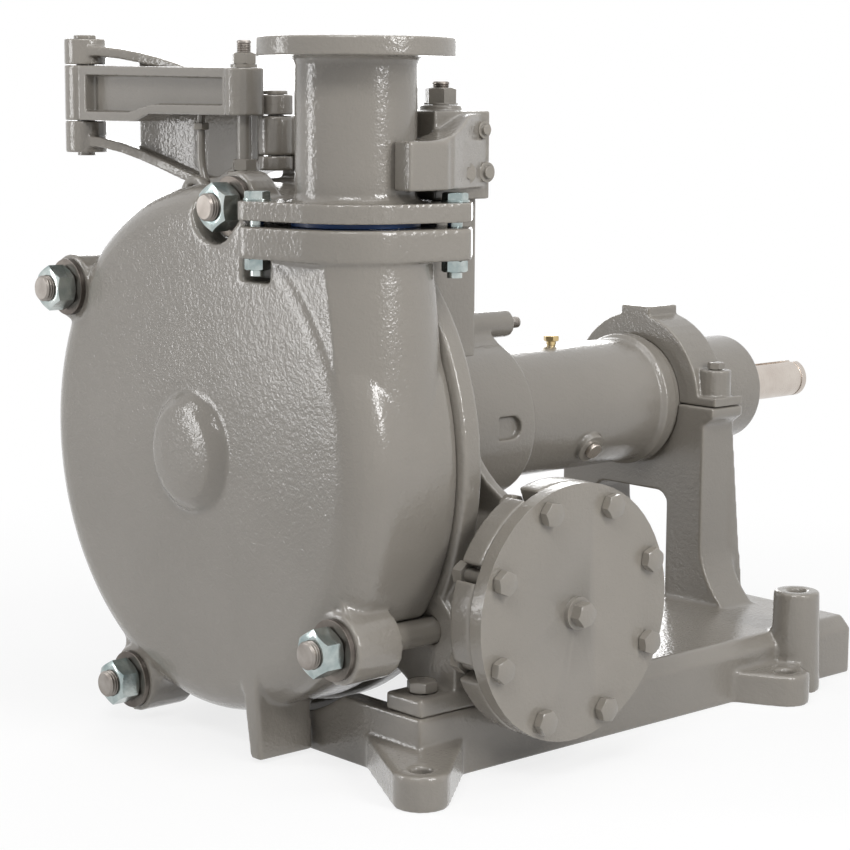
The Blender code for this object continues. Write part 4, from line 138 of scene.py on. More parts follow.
# Tie studs: angle from +X, distance from the shaft line and how far the end is set back
STUD_PLACES = (
    ("top", math.radians(80.8), CASE_RADIUS - 19.5 * MM, 26 * MM),
    ("upper_left", math.radians(145.4), CASE_RADIUS - 1 * MM, 0),
    ("lower_left", math.radians(246.7), CASE_RADIUS + 13 * MM, 0),
    ("lower_right", math.radians(324.4), CASE_RADIUS + 10 * MM, 0),
)
STUD_RADIUS = 15 * MM
STUD_END_Y = -222 * MM
STUD_BACK_Y = -9 * MM
STUD_NUT_HEX = 46 * MM
STUD_NUT_THICK = 25 * MM
STUD_WASHER_RADIUS = 33 * MM
STUD_WASHER_THICK = 6.5 * MM
EAR_RADIUS = 38.5 * MM
EAR_FRONT_Y = -181 * MM
EAR_BACK_Y = -119 * MM
EAR_LOBE_SHARE = 0.9
EAR_ROOT_SHARE = 1.3
LUG_BACK_Y = -4 * MM
LUG_SHARE = 0.8
LUG_ROOT_SHARE = 1.2

# Case leg
LEG_X = 104 * MM
LEG_LEAN = 20 * MM
LEG_THICK = 32 * MM
LEG_FOOT_SHARE = 0.6
LEG_FRONT_Y = -184 * MM
LEG_LENGTH = 74 * MM
LEG_BOTTOM = 4 * MM
LEG_TOP = 120 * MM

# Intake housing
PLATE_RADIUS = CASE_RADIUS + 5 * MM
PLATE_BACK_Y = -22 * MM
RIB_LOW_SHARE = 0.72
RIB_HIGH_SHARE = 0.4
REAR_RIB_SHARE = 0.6
BRACKET_SHARE = 0.8
EYE_RADIUS = 82 * MM
LINER_THICK = 23 * MM
CHAMBER_RADIUS = 118 * MM
CHAMBER_WALL = 13 * MM
CHAMBER_BACK_Y = 130 * MM
PIPE_Y = 52 * MM
PIPE_Z = 178 * MM
PIPE_RADIUS = 94 * MM
SUMP_RADIUS = 99 * MM
PIPE_BORE = 76 * MM
SUMP_X = 20 * MM
FLANGE_RADIUS = 140 * MM
FLANGE_FACE_X = 351 * MM
FLANGE_THICK = 31 * MM
SLOT_WIDTH = 19 * MM
SLOT_DEPTH = 29 * MM
FIN_THICK = 16 * MM
FIN_Y = 42 * MM
FIN_TOP_Z = 410 * MM
FIN_TOP_X = 186 * MM
FIN_SAG = 22 * MM
BACK_OPENING = 88 * MM
REAR_PAD_HALF = 70 * MM
REAR_PAD_DEPTH = 60 * MM

# Cover plate on the intake
COVER_RADIUS = 139.7 * MM
COVER_THICK = 17 * MM
COVER_BOLT_CIRCLE = 120.65 * MM
COVER_BOLTS = 8
COVER_BOLT_TURN = math.radians(21.2)
COVER_BOLT_RADIUS = 8 * MM
COVER_BOLT_HEX = 24 * MM
COVER_BOLT_HEAD = 11 * MM
COVER_NUT_THICK = 14 * MM
COVER_BOLT_TAIL = 5 * MM
PLUG_SEAT_RADIUS = 18 * MM
PLUG_SEAT_HEIGHT = 5 * MM
PLUG_HEX = 24 * MM
PLUG_HEAD = 13 * MM
PLUG_TURN = math.radians(10)

# Base frame
BASE_RIGHT = 294 * MM
BASE_LEFT = -210 * MM
BASE_STEP_X = -4 * MM
BASE_STEP_Y = 12 * MM
BASE_FRONT_Y = -104 * MM
BASE_REAR_Y = 628 * MM
BASE_TOP = 72 * MM
BASE_WALL = 26 * MM
DECK_THICK = 16 * MM
BASE_CHAMFER = 14 * MM
FOOT_HEIGHT = 38 * MM
FOOT_RADIUS = 30 * MM
FOOT_HOLE = 11.3 * MM
FOOT_FRONT = (339 * MM, -142 * MM)
FOOT_REAR = (329 * MM, 455 * MM)
FOOT_LEFT_X = -250 * MM
FOOT_LEFT_Y = 70 * MM
FOOT_SPREAD = 66 * MM
TALL_BOSS = (298 * MM, 512 * MM)
TALL_BOSS_RADIUS = 28 * MM
TALL_BOSS_TOP = 124 * MM
TALL_BOSS_SHARE = 1.12
PAD_WIDTH = 56 * MM
PAD_LENGTH = 74 * MM
PAD_THICK = 20 * MM
SIDE_HOLE_RADIUS = 13 * MM
SIDE_HOLE_Z = 40 * MM
SIDE_HOLE_Y = -3 * MM
HOLD_BOLT_RADIUS = 10 * MM
HOLD_BOLT_HEX = 30 * MM
HOLD_BOLT_HEAD = 12.5 * MM
HOLD_BOLT_DEPTH = 32 * MM

# Pedestal and saddle cap
SADDLE_FRONT_Y = 530 * MM
SADDLE_THICK = 60 * MM
SADDLE_FOOT_THICK = 84 * MM
LEG_OUTER_X = 125 * MM
LEG_INNER_X = 64 * MM
PEDESTAL_FLARE = 44 * MM
PEDESTAL_FLARE_Z = 150 * MM
WINDOW_TOP = 212 * MM
WINDOW_CORNER = 16 * MM
CAP_RADIUS = 112 * MM
CAP_PAD_HALF = 25 * MM
CAP_PAD_Z = 451 * MM
CAP_FLANGE_X = 141 * MM
CAP_FLANGE_THICK = 12 * MM
CAP_BOSS_X = 118 * MM
CAP_BOSS_RADIUS = 20 * MM
CAP_BOSS_HEIGHT = 46 * MM
CAP_THICK = 54 * MM
CAP_BOLT_RADIUS = 6 * MM
CAP_BOLT_HEX = 19 * MM
CAP_BOLT_HEAD = 9 * MM
CAP_BOLT_DEPTH = 36 * MM

# Bearing cartridge
BARREL_RADIUS = 80 * MM
BARREL_FRONT_Y = 218 * MM
BARREL_STEP_Y = 608 * MM
BARREL_REAR_Y = 711 * MM
BARREL_REAR_RADIUS = 70 * MM
LIP_Y = 505 * MM
LIP_WIDTH = 18 * MM
LIP_HEIGHT = 5.5 * MM
BARREL_BORE = 50 * MM
BEARING_OUTER = 56 * MM
BEARING_WIDTH = 30 * MM
FRONT_BEARING_Y = 240 * MM
REAR_BEARING_Y = 640 * MM
SEAL_WIDTH = 10 * MM
SHAFT_SEAT = 33 * MM
RACE_THICK = 6 * MM
BALL_RADIUS = 6.4 * MM
BALLS = 9
RACE_DEPTH_SHARE = 0.7
BREATHER_Y = 378 * MM
BREATHER_HEX = 17 * MM
BREATHER_HEIGHT = 5 * MM
BREATHER_CAP_RADIUS = 6 * MM
BREATHER_CAP_HEIGHT = 7 * MM
BREATHER_THREAD = 5 * MM
DRAIN_Y = 378 * MM
DRAIN_ANGLE = math.radians(-31)
DRAIN_SEAT_RADIUS = 20 * MM
DRAIN_SEAT_HEIGHT = 7 * MM
DRAIN_RADIUS = 10.5 * MM
DRAIN_HEIGHT = 6 * MM
DRAIN_BORE = 6 * MM

# Lantern between the housing and the cartridge
LANTERN_FRONT_Y = 150.3 * MM
LANTERN_REAR_Y = 258 * MM
LANTERN_FRONT_RADIUS = 98 * MM
LANTERN_REAR_RADIUS = 98 * MM
LANTERN_WALL = 13 * MM
LANTERN_SEAM_Y = 196 * MM
POCKET_LENGTH = 36 * MM
POCKET_HALF_HEIGHT = 14 * MM
POCKET_DEPTH = 9 * MM
LANTERN_RING = 50 * MM
JACK_BOSS_Z = 113 * MM
JACK_BOSS_RADIUS = 17 * MM
JACK_BOSS_Y = 256 * MM
JACK_ARM_HALF = 13 * MM
JACK_ARM_LENGTH = 30 * MM
JACK_BOSS_LENGTH = 41 * MM
JACK_SCREW_RADIUS = 7 * MM
JACK_SCREW_LENGTH = 93 * MM
JACK_HEX = 22 * MM
JACK_HEAD = 9 * MM
# Fillet under the jack boss: height above the shaft line, half width and front of each level
JACK_FILLET = ((88 * MM, 40 * MM, 204 * MM), (96 * MM, 27 * MM, 211 * MM), (104 * MM, 18 * MM, 219 * MM),
               (113 * MM, 15 * MM, 226 * MM))

# Seal end
EXPELLER_CASE_FRONT_Y = 96 * MM
EXPELLER_CASE_WALL = 10 * MM
SEAL_FLANGE_RADIUS = 93 * MM
EXPELLER_FRONT_Y = 112 * MM
EXPELLER_WEB = 9 * MM
EXPELLER_VANE = 12 * MM
EXPELLER_RADIUS = 72 * MM
EXPELLER_VANES = 8
EXPELLER_VANE_THICK = 6 * MM
SLEEVE_RADIUS = 37 * MM
SLEEVE_FRONT_Y = -66 * MM
RUNNING_GAP = 5 * MM

# Rotor
SHAFT_END_Y = 866 * MM
SHAFT_RADIUS = 25 * MM
SHAFT_WET_RADIUS = 28 * MM
SHAFT_MIDDLE = 38 * MM
SHAFT_NOSE = 20 * MM
SHAFT_NOSE_Y = -136 * MM
KEYWAY_WIDTH = 14 * MM
KEYWAY_DEPTH = 6 * MM
KEYWAY_FRONT_Y = 775 * MM
RING_GROOVE_Y = 851 * MM
RING_GROOVE_WIDTH = 3 * MM
RING_GROOVE_DEPTH = 1.5 * MM
IMPELLER_RADIUS = 180 * MM
IMPELLER_FRONT_Y = -143 * MM
IMPELLER_DISC = 13 * MM
IMPELLER_REAR_Y = -72 * MM
IMPELLER_RING = 11 * MM
IMPELLER_EYE = 80 * MM
IMPELLER_HUB = 42 * MM
IMPELLER_VANES = 5
VANE_THICK = 12 * MM
VANE_SWEEP = math.radians(80)
IMPELLER_CAP = 8 * MM
HUB_FACE_SHARE = 0.8
VANE_ROOT_SHARE = 0.9

# Davit, with its heights above the top of the back plate
DAVIT_Z = AXIS_Z + PLATE_RADIUS
LINK = 350 * MM
LINK_REST = math.radians(3.6)
ROOT_PIN = Vector((0, -63 * MM, 0))
KNUCKLE_RADIUS = 20 * MM
KNUCKLE_NECK_SHARE = 0.7
KNUCKLE_LOW = DAVIT_Z + 25 * MM
KNUCKLE_HIGH = DAVIT_Z + 69 * MM
ROOT_PIN_RADIUS = 9 * MM
ROOT_EYE_LOW = DAVIT_Z + 8 * MM
ROOT_EYE_HIGH = DAVIT_Z + 92 * MM
REAR_WIDTH = 40 * MM
REAR_ROOT_WIDTH = 28 * MM
REAR_WIDEN_SHARE = 0.2
FLANGE_THIN = 12 * MM
UPPER_TOP = DAVIT_Z + 150 * MM
LOWER_BOTTOM = DAVIT_Z + 30 * MM
DIP_SHARE = 0.36
WEB_FIRST_SHARE = 0.12
WEB_LAST_SHARE = 0.78
REAR_BOW = 40 * MM
WEB_THICK = 9 * MM
ELBOW_RADIUS = 25.5 * MM
ELBOW_LOW = DAVIT_Z + 21 * MM
ELBOW_HIGH = DAVIT_Z + 158 * MM
FRONT_LOW = DAVIT_Z + 60 * MM
FRONT_HIGH = DAVIT_Z + 126 * MM
FRONT_END_LOW = DAVIT_Z + 69 * MM
FRONT_END_HIGH = DAVIT_Z + 121 * MM
FRONT_STEP = 150 * MM
FRONT_WIDTH = 38 * MM
FRONT_POCKET = 14 * MM
FRONT_RIM = 11 * MM
FRONT_STEP_SHARE = 0.04
POCKET_START_SHARE = 0.09
POCKET_END_SHARE = 0.955
FRONT_EYE_RADIUS = 22 * MM
ELBOW_PIN_RADIUS = 11 * MM
PIN_HEAD_HEIGHT = 4 * MM
PIN_HEAD_RADIUS = 14 * MM
HANG_ROD_RADIUS = 8 * MM
HANG_ROD_TOP = DAVIT_Z + 151 * MM
HANG_NUT_HEX = 24 * MM
HANG_NUT_THICK = 13 * MM
HANG_WASHER_RADIUS = 15 * MM
HANG_WASHER_THICK = 3.5 * MM
HANG_LUG_RADIUS = 20 * MM
HANG_LUG_TOP = DAVIT_Z + 8 * MM
HANG_LUG_DEPTH = 22 * MM
HOOK_OFFSET = 89 * MM
HOOK_RADIUS = 4.5 * MM
HOOK_NUT_HEX = 17 * MM
HOOK_NUT_THICK = 8 * MM
HOOK_NUT_Z = DAVIT_Z + 52 * MM
BRACKET_HALF_WIDTH = 18 * MM

# Yoke and its post
POST_Y = 12 * MM
POST_HALF_WIDTH = 26 * MM
POST_HALF_DEPTH = 29 * MM
POST_FOOT_Z = 440 * MM
POST_STEP_Z = CASE_FLANGE_TOP - 37 * MM
POST_BOLT_Z = CASE_FLANGE_TOP - 66 * MM
POST_BOLT_RADIUS = 8 * MM
POST_BOLT_HEX = 24 * MM
POST_BOLT_HEAD = 10 * MM
POST_BOLT_DEPTH = 12 * MM
YOKE_LOW = CASE_FLANGE_TOP + 26.3 * MM
YOKE_HIGH = CASE_FLANGE_TOP + 120 * MM
YOKE_HALF_WIDTH = 44 * MM
YOKE_BACK_Y = 44 * MM
YOKE_FRONT_Y = -36 * MM
ARM_INNER = 66 * MM
ARM_THICK = 26 * MM
ARM_LOW = CASE_FLANGE_TOP + 39 * MM
ARM_HIGH = CASE_FLANGE_TOP + 90 * MM
ARM_FRONT_Y = -112 * MM
YOKE_STUD_RADIUS = 9 * MM
YOKE_STUD_TOP = CASE_FLANGE_TOP + 151 * MM
YOKE_BOSS_RADIUS = 23 * MM
YOKE_BOSS_HEIGHT = 6 * MM
YOKE_STUD_DEPTH = 40 * MM
YOKE_NUT_HEX = 30 * MM
YOKE_NUT_THICK = 18 * MM
YOKE_PIN_HEAD = 4 * MM


# Camera: the photograph's, found from the pump's own corners
CAMERA_AZIMUTH = math.radians(48.16)
CAMERA_PITCH = math.radians(8.43)
CAMERA_ROLL = math.radians(0.34)
CAMERA_DISTANCE = 2571.8 * MM
CAMERA_SHIFT_RIGHT = 122.1 * MM
CAMERA_HEIGHT = 343.6 * MM
CAMERA_LENS = 93.81

# Fasteners: the share of the width across flats that the turned face takes, and its slope
HEX_FACE_SHARE = 0.475
HEX_SLOPE = 0.577
THREAD_DEPTH_SHARE = 0.6
THREAD_SHARES = (0.2, 0.5, 0.9)
STUD_PITCH = 3.5 * MM
STUD_THREAD = 46 * MM
ROD_PITCH = 2 * MM
ROD_THREAD = 24 * MM
HEAD_FLANGE_SHARE = 0.62
HEAD_FLANGE_THICK = 2 * MM
BORE_SHADE_DEPTH = 4 * MM

# Floor: how far from the middle its shading gives way to plain white
FLOOR_NEAR = 0.7
FLOOR_FAR = 1.5
FLOOR_HALF_SIZE = 12
FLOOR_COLOUR = (0.9, 0.9, 0.9, 1)
FLOOR_GLOW_SHARE = 0.8
SKY_COLOUR = (0.95, 0.97, 1.0, 1)
SKY_STRENGTH = 0.12

# Lamps round the middle of the pump: places to the right, towards the camera and up, width, height, power
MIDDLE = Vector((0.05, 0.2, 0.35))
LAMPS = (("left", -2.2, 0.2, 0.6, 0.36, 1.8, 15),
         ("right", 1.6, 1.7, 0.9, 0.55, 1.3, 34),
         ("front", -0.5, 2.0, 1.5, 1.2, 0.6, 25),
         ("over", 0.1, 0.3, 2.0, 1.6, 1.6, 19),
         ("behind", -0.2, -2.2, 0.9, 1.4, 1.2, 24))

# Web of the yoke between its arms and its top
WEB_FRONT_Y = -88 * MM
WEB_BACK_Y = 36 * MM
WEB_INNER_SHARE = 0.5
WEB_RISE_SHARE = 0.7
YOKE_PINS = ((31 * MM, CASE_FLANGE_TOP + 100 * MM, 9 * MM, NECK_X + 36 * MM),
             (34 * MM, CASE_FLANGE_TOP + 55 * MM, 11 * MM, NECK_X + 37 * MM),
             (-6 * MM, CASE_FLANGE_TOP + 55 * MM, 11 * MM, NECK_X + 50 * MM))
YOKE_PIN_REACH = 14 * MM
YOKE_PIN_SHARE = 0.6
WEB_WIDE_SHARE = 0.3

# Lower end of the hook bolt
HOOK_CURVE = 60 * MM
HOOK_CURVE_Z = DAVIT_Z + 27 * MM
HOOK_SWEEP = 0.62

# Lug on the case that the hook bolt's end goes into
LUG_PLACE = (-90 * MM, 604 * MM)
LUG_OUTER = 27 * MM
LUG_INNER = 16 * MM
LUG_THICK = 13 * MM

# The body that each piece rides on, from the record
BODY_OF = {node: body for body, members in frame["record"]["behaviour"]["bodies"].items()
           for node in members}


class Nodes:
    """Short names for building one material's node tree."""

    def __init__(self, name):
        self.material = bpy.data.materials.new(name)
        self.material.use_nodes = True
        self.tree = self.material.node_tree
        self.shader = self.tree.nodes["Principled BSDF"]
        self.place = self.add("ShaderNodeTexCoord").outputs["Object"]

    def add(self, kind, **settings):
        """Add a node and set its properties."""
        node = self.tree.nodes.new(kind)
        for key, value in settings.items():
            setattr(node, key, value)
        return node

    def link(self, source, target):
        """Link an output to an input."""
        self.tree.links.new(source, target)

    def noise(self, scale, detail=3.0, stretch=(1, 1, 1)):
        """Return a noise value in the piece's own space."""
        mapping = self.add("ShaderNodeMapping")
        mapping.inputs["Scale"].default_value = stretch
        self.link(self.place, mapping.inputs["Vector"])
        noise = self.add("ShaderNodeTexNoise")
        noise.inputs["Scale"].default_value = scale
        noise.inputs["Detail"].default_value = detail
        self.link(mapping.outputs["Vector"], noise.inputs["Vector"])
        return noise.outputs["Fac"]

    def ramp(self, value, stops):
        """Return a colour ramp of a value; stops are (position, colour)."""
        ramp = self.add("ShaderNodeValToRGB")
        elements = ramp.color_ramp.elements
        while len(elements) < len(stops):
            elements.new(0.5)
        for element, (position, colour) in zip(elements, stops):
            element.position = position
            element.color = (*colour, 1)
        self.link(value, ramp.inputs["Fac"])
        return ramp.outputs["Color"]

    def range(self, value, low, high):
        """Return a value spread between two numbers."""
        spread = self.add("ShaderNodeMapRange")
        spread.inputs["To Min"].default_value = low
        spread.inputs["To Max"].default_value = high
        self.link(value, spread.inputs["Value"])
        return spread.outputs["Result"]

    def multiply(self, a, b):
        """Return the product of two colours."""
        mix = self.add("ShaderNodeMix", data_type="RGBA", blend_type="MULTIPLY")
        mix.inputs["Factor"].default_value = 1.0
        self.link(a, mix.inputs[6])
        self.link(b, mix.inputs[7])
        return mix.outputs[2]

    def bump(self, value, strength, distance, normal=None):
        """Return the normal of a height."""
        bump = self.add("ShaderNodeBump")
        bump.inputs["Strength"].default_value = strength
        bump.inputs["Distance"].default_value = distance
        self.link(value, bump.inputs["Height"])
        if normal is not None:
            self.link(normal, bump.inputs["Normal"])
        return bump.outputs["Normal"]

    def set(self, **values):
        """Set or link the shader's sockets by name; an underscore stands for a space."""
        for key, value in values.items():
            socket = self.shader.inputs[key.replace("_", " ")]
            if isinstance(value, bpy.types.NodeSocket):
                self.link(value, socket)
            else:
                socket.default_value = value


def enamel(name, colour, rough, peel):
    """Return thick gloss enamel on a casting: orange peel, a wavy skin, worn edges and painted shade in the
    hollows.
    """
    n = Nodes(name)
    r, g, b = colour
    broad = n.ramp(n.noise(5.0, 4.0), [(0.3, (r * 0.93, g * 0.93, b * 0.92)),
                                       (0.7, (r * 1.05, g * 1.05, b * 1.05))])
    # Painted shade: hollows and creases are darkened towards 0.62 of the paint colour; sharp edges are
    # lightened a little as wear.
    edges = n.ramp(n.add("ShaderNodeNewGeometry").outputs["Pointiness"],
                   [(0.42, (0.62, 0.61, 0.58)), (0.49, (1, 1, 1)), (0.56, (1.1, 1.09, 1.07))])
    cast = n.bump(n.noise(34.0, 2.0), 0.35, 0.0012)
    skin = n.bump(n.noise(210.0, 2.0), peel, 0.0007, cast)
    fine = n.bump(n.noise(430.0, 1.5), peel, 0.0003, skin)
    n.set(Base_Color=n.multiply(broad, edges), Roughness=n.range(n.noise(14.0), rough, rough + 0.1),
          Coat_Weight=0.3, Coat_Roughness=0.06, Normal=fine, Coat_Normal=fine)
    return n.material


def plated(name, dark, light, rough):
    """Return bright plating with a colour cast that drifts over the facets."""
    n = Nodes(name)
    colour = n.ramp(n.noise(36.0, 3.0), [(0.35, dark), (0.65, light)])
    n.set(Base_Color=colour, Metallic=1.0, Roughness=n.range(n.noise(60.0), rough, rough + 0.16))
    n.set(Normal=n.bump(n.noise(300.0, 2.0), 0.25, 0.0003))
    return n.material


def turned_steel(name, dark, light, rough, stretch):
    """Return bare steel with fine turning marks along one direction."""
    n = Nodes(name)
    colour = n.ramp(n.noise(30.0, 4.0), [(0.35, dark), (0.65, light)])
    n.set(Base_Color=colour, Metallic=1.0, Roughness=n.range(n.noise(90.0, 2.0, stretch), rough,
                                                             rough + 0.16))
    n.set(Normal=n.bump(n.noise(160.0, 2.0, stretch), 0.35, 0.0002))
    return n.material


def dull(name, dark, light, rough, metallic, grain):
    """Return a plain rough surface, such as dark iron or sealing sheet."""
    n = Nodes(name)
    colour = n.ramp(n.noise(24.0, 5.0), [(0.35, dark), (0.65, light)])
    n.set(Base_Color=colour, Metallic=metallic, Roughness=n.range(n.noise(50.0), rough, rough + 0.2))
    n.set(Normal=n.bump(n.noise(240.0, 3.0), grain, 0.0005))
    return n.material


GREY = (0.225, 0.207, 0.182)
MATERIALS = {
    "paint": enamel("gloss_grey_enamel", GREY, 0.13, 0.68),
    "bolt_paint": enamel("grey_enamel_on_fasteners", GREY, 0.16, 0.4),
    "steel": turned_steel("machined_steel", (0.56, 0.50, 0.45), (0.63, 0.575, 0.52), 0.22, (0.3, 14, 0.3)),
    "bolt_steel": turned_steel("stud_steel", (0.21, 0.185, 0.165), (0.35, 0.325, 0.30), 0.3, (1, 1, 1)),
    # socket: a near-black disc down the drain plug's bore, painted shade standing in for the shadow in the
    # hole
    "socket": dull("painted_bore_shade", (0.004, 0.004, 0.004), (0.012, 0.011, 0.01), 0.6, 0.0, 0.2),
    "zinc": plated("bright_zinc", (0.27, 0.335, 0.335), (0.56, 0.60, 0.58), 0.14),
    "brass": plated("plain_brass", (0.50, 0.36, 0.15), (0.70, 0.55, 0.30), 0.25),
    "blue": dull("blue_sealing_sheet", (0.004, 0.05, 0.22), (0.01, 0.09, 0.33), 0.3, 0.0, 0.3),
    "iron": dull("dark_iron_skin", (0.06, 0.055, 0.05), (0.13, 0.12, 0.11), 0.4, 0.5, 0.7),
    "washer": dull("dark_washer_steel", (0.10, 0.085, 0.075), (0.19, 0.17, 0.15), 0.28, 0.9, 0.4),
}

# Castings: how fine their skin is and how far their corners are eased
CAST_SKIN = {"volute_case": (2.2 * MM, 14), "intake_housing": (2.2 * MM, 10), "base_frame": (2.4 * MM, 10),
             "discharge_spool": (1.5 * MM, 5), "bearing_lantern": (1.6 * MM, 6),
             "saddle_cap": (1.5 * MM, 7),
             "davit_rear_link": (1.5 * MM, 7), "davit_front_link": (1.4 * MM, 5),
             "yoke_post": (1.5 * MM, 6),
             "spool_yoke": (1.4 * MM, 14), "bearing_housing": (1.4 * MM, 2)}
EASE_FACTOR = 0.5
KEPT_FACES = 0.35
SOFT_EDGE = 0.7 * MM
SHARP_ANGLE = math.radians(35)


def apply_modifiers(solid):
    """Bake a solid's modifiers into its mesh."""
    graph = bpy.context.evaluated_depsgraph_get()
    result = bpy.data.meshes.new_from_object(solid.evaluated_get(graph))
    solid.modifiers.clear()
    old = solid.data
    solid.data = result
    bpy.data.meshes.remove(old)


def cast_skin(solid, grid, rounds):
    """Turn sharp geometry into a cast skin with eased corners."""
    remesh = solid.modifiers.new("skin", "REMESH")
    remesh.mode = "VOXEL"
    remesh.voxel_size = grid
    remesh.adaptivity = 0.0
    smooth = solid.modifiers.new("ease", "SMOOTH")
    smooth.factor = EASE_FACTOR
    smooth.iterations = rounds
    fewer = solid.modifiers.new("fewer", "DECIMATE")
    fewer.ratio = KEPT_FACES
    apply_modifiers(solid)
    solid.data.shade_smooth()


def soften(solid):
    """Break the sharp edges of a machined piece."""
    bevel = solid.modifiers.new("edges", "BEVEL")
    bevel.width = SOFT_EDGE
    bevel.segments = 2
    bevel.limit_method = "ANGLE"
    bevel.angle_limit = SHARP_ANGLE
    bevel.harden_normals = True
    apply_modifiers(solid)


def finish(solid, name, look, part="look"):
    """Name a piece, give it its material and let it stand for its node of the frame."""
    if name in CAST_SKIN and part == "look":
        cast_skin(solid, *CAST_SKIN[name])
    else:
        solid.data.shade_smooth()
        solid.data.set_sharp_from_angle(angle=SHARP_ANGLE)
        soften(solid)
    for vertex in solid.data.vertices:
        vertex.co.z = max(vertex.co.z, 0)
    solid.name = name + "_" + part
    solid.data.name = solid.name
    solid.data.materials.clear()
    solid.data.materials.append(MATERIALS[look])
    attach(solid, BODY_OF[name])
    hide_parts(name)


def new_object(name, geometry):
    """Put a bmesh into the scene as an object."""
    bmesh.ops.recalc_face_normals(geometry, faces=geometry.faces)
    mesh = bpy.data.meshes.new(name)
    geometry.to_mesh(mesh)
    geometry.free()
    made = bpy.data.objects.new(name, mesh)
    bpy.context.scene.collection.objects.link(made)
    return made


def axis_turn(axis):
    """Return the rotation that takes +Z to the named axis."""
    turns = {"x": Matrix.Rotation(math.pi / 2, 4, "Y"), "y": Matrix.Rotation(-math.pi / 2, 4, "X")}
    return turns.get(axis, Matrix.Identity(4))


def moved(place, axis, distance):
    """Return a place shifted along an axis."""
    shifted = list(place)
    shifted["xyz".index(axis)] += distance
    return shifted


def cylinder(radius, start, length, axis="z", sides=ROUND, radius_end=None, turn=SKEW):
    """Make a cylinder or cone from a start point along an axis."""
    geometry = bmesh.new()
    end = radius if radius_end is None else radius_end
    bmesh.ops.create_cone(geometry, cap_ends=True, segments=sides, radius1=radius, radius2=end,
                          depth=length,
                          matrix=Matrix.Rotation(turn, 4, "Z"))
    place = axis_turn(axis) @ Matrix.Translation((0, 0, length / 2))
    geometry.transform(Matrix.Translation(Vector(start)) @ place)
    return new_object("cylinder", geometry)


def hole(radius, start, length, axis="z", sides=SMALL, turn=SKEW):
    """Make a cutter for a bore that runs past both of its ends."""
    return cylinder(radius, moved(start, axis, -OVERRUN), length + 2 * OVERRUN, axis, sides, turn=turn)


def blind(radius, mouth, depth, axis="z"):
    """Make a cutter for a hole that ends a little below the bolt in it."""
    start = moved(moved(mouth, axis, -depth), axis, -GAP)
    return cylinder(radius + GAP, start, depth + OVERRUN, axis, SMALL)


def turned(profile, centre=(0, 0, AXIS_Z), axis="y", sides=FINE):
    """Turn a profile of (radius, place along the axis) about an axis through centre.

    A profile that starts and ends on the axis is closed there with flat ends.
    """
    geometry = bmesh.new()
    rings = [[geometry.verts.new((*polar((0, 0), radius, 2 * math.pi * n / sides), along))
              for n in range(sides)]
             for radius, along in profile if radius]
    hollow = profile[0][0] != 0
    bridge(geometry, rings + rings[:1] * hollow)
    if not hollow:
        geometry.faces.new(rings[0])
        geometry.faces.new(rings[-1])
    geometry.transform(Matrix.Translation(Vector(centre)) @ axis_turn(axis))
    return new_object("turned", geometry)


def ring(inner, outer, along, width, sides=ROUND, centre=(0, 0, AXIS_Z)):
    """Make a plain ring along y."""
    return turned([(inner, along), (outer, along), (outer, along + width), (inner, along + width)], centre,
                  sides=sides)


def hexagon(across_flats, start, length, axis="z", turn=0.0):
    """Make a nut or bolt head: a hexagonal prism with its corners turned off at both ends."""
    corner = across_flats / math.sqrt(3)
    face = across_flats * HEX_FACE_SHARE
    wide = corner + CLEARANCE
    drop = (wide - face) * HEX_SLOPE
    made = cylinder(corner, start, length, axis, 6, turn=turn)
    shape = turned([(0, 0), (face, 0), (wide, drop), (wide, length - drop), (face, length), (0, length)],
                   start, axis, HEX_TURN_SIDES)
    return combine(made, [shape], "INTERSECT")


def bolt(radius, start, head, across_flats, thick, axis="z", turn=0.0):
    """Make a bolt from its end to its head, which lies at a place on the axis."""
    index = "xyz".index(axis)
    made = cylinder(radius, start, head + BITE - start[index], axis, SMALL)
    place = list(start)
    place[index] = head
    return weld(made, hexagon(across_flats, place, thick, axis, turn))


def threaded(radius, start, length, axis="z", pitch=ROD_PITCH):
    """Make a threaded rod with both ends turned down."""
    root = radius - pitch * THREAD_DEPTH_SHARE
    profile = [(0, 0), (root, 0), (radius, radius - root)]
    for n in range(int((length - 2 * (radius - root)) / pitch)):
        along = radius - root + n * pitch
        profile += [(crest, along + pitch * share) for crest,
                    share in zip((radius, root, radius), THREAD_SHARES)]
    profile += [(radius, length - radius + root), (root, length), (0, length)]
    return turned(profile, start, axis, MEDIUM)


def box(low, high):
    """Make a box between two corners."""
    geometry = bmesh.new()
    bmesh.ops.create_cube(geometry, size=1.0)
    size = Vector(high) - Vector(low)
    middle = (Vector(high) + Vector(low)) / 2
    geometry.transform(Matrix.Translation(middle) @ Matrix.Diagonal((*size, 1.0)))
    return new_object("box", geometry)


def bridge(geometry, rings):
    """Join each ring of points to the next with a band of faces."""
    for first, second in zip(rings, rings[1:]):
        for n in range(len(first)):
            m = (n + 1) % len(first)
            geometry.faces.new((first[n], first[m], second[m], second[n]))


def loft(sections):
    """Join rings of points, all with as many points, into a capped solid."""
    geometry = bmesh.new()
    rings = [[geometry.verts.new(point) for point in ring] for ring in sections]
    geometry.faces.new(rings[0])
    geometry.faces.new(rings[-1])
    bridge(geometry, rings)
    return new_object("loft", geometry)


def prism(outline, low, high, axis="z"):
    """Extrude an outline: (x, y) along z, (x, z) along y, or (y, z) along x."""
    index = "xyz".index(axis)
    return loft([[(*point[:index], level, *point[index:]) for point in outline] for level in (low, high)])


def level_ring(x_first, x_last, y_first, y_last, z):
    """Return the four corners of a level rectangle."""
    return [(x_first, y_first, z), (x_last, y_first, z), (x_last, y_last, z), (x_first, y_last, z)]


def combine(target, others, operation):
    """Apply exact Booleans of the other objects to the target and remove them."""
    for other in others:
        modifier = target.modifiers.new("boolean", "BOOLEAN")
        modifier.operation = operation
        modifier.solver = "EXACT"
        modifier.object = other
        apply_modifiers(target)
        bpy.data.objects.remove(other)
    return target


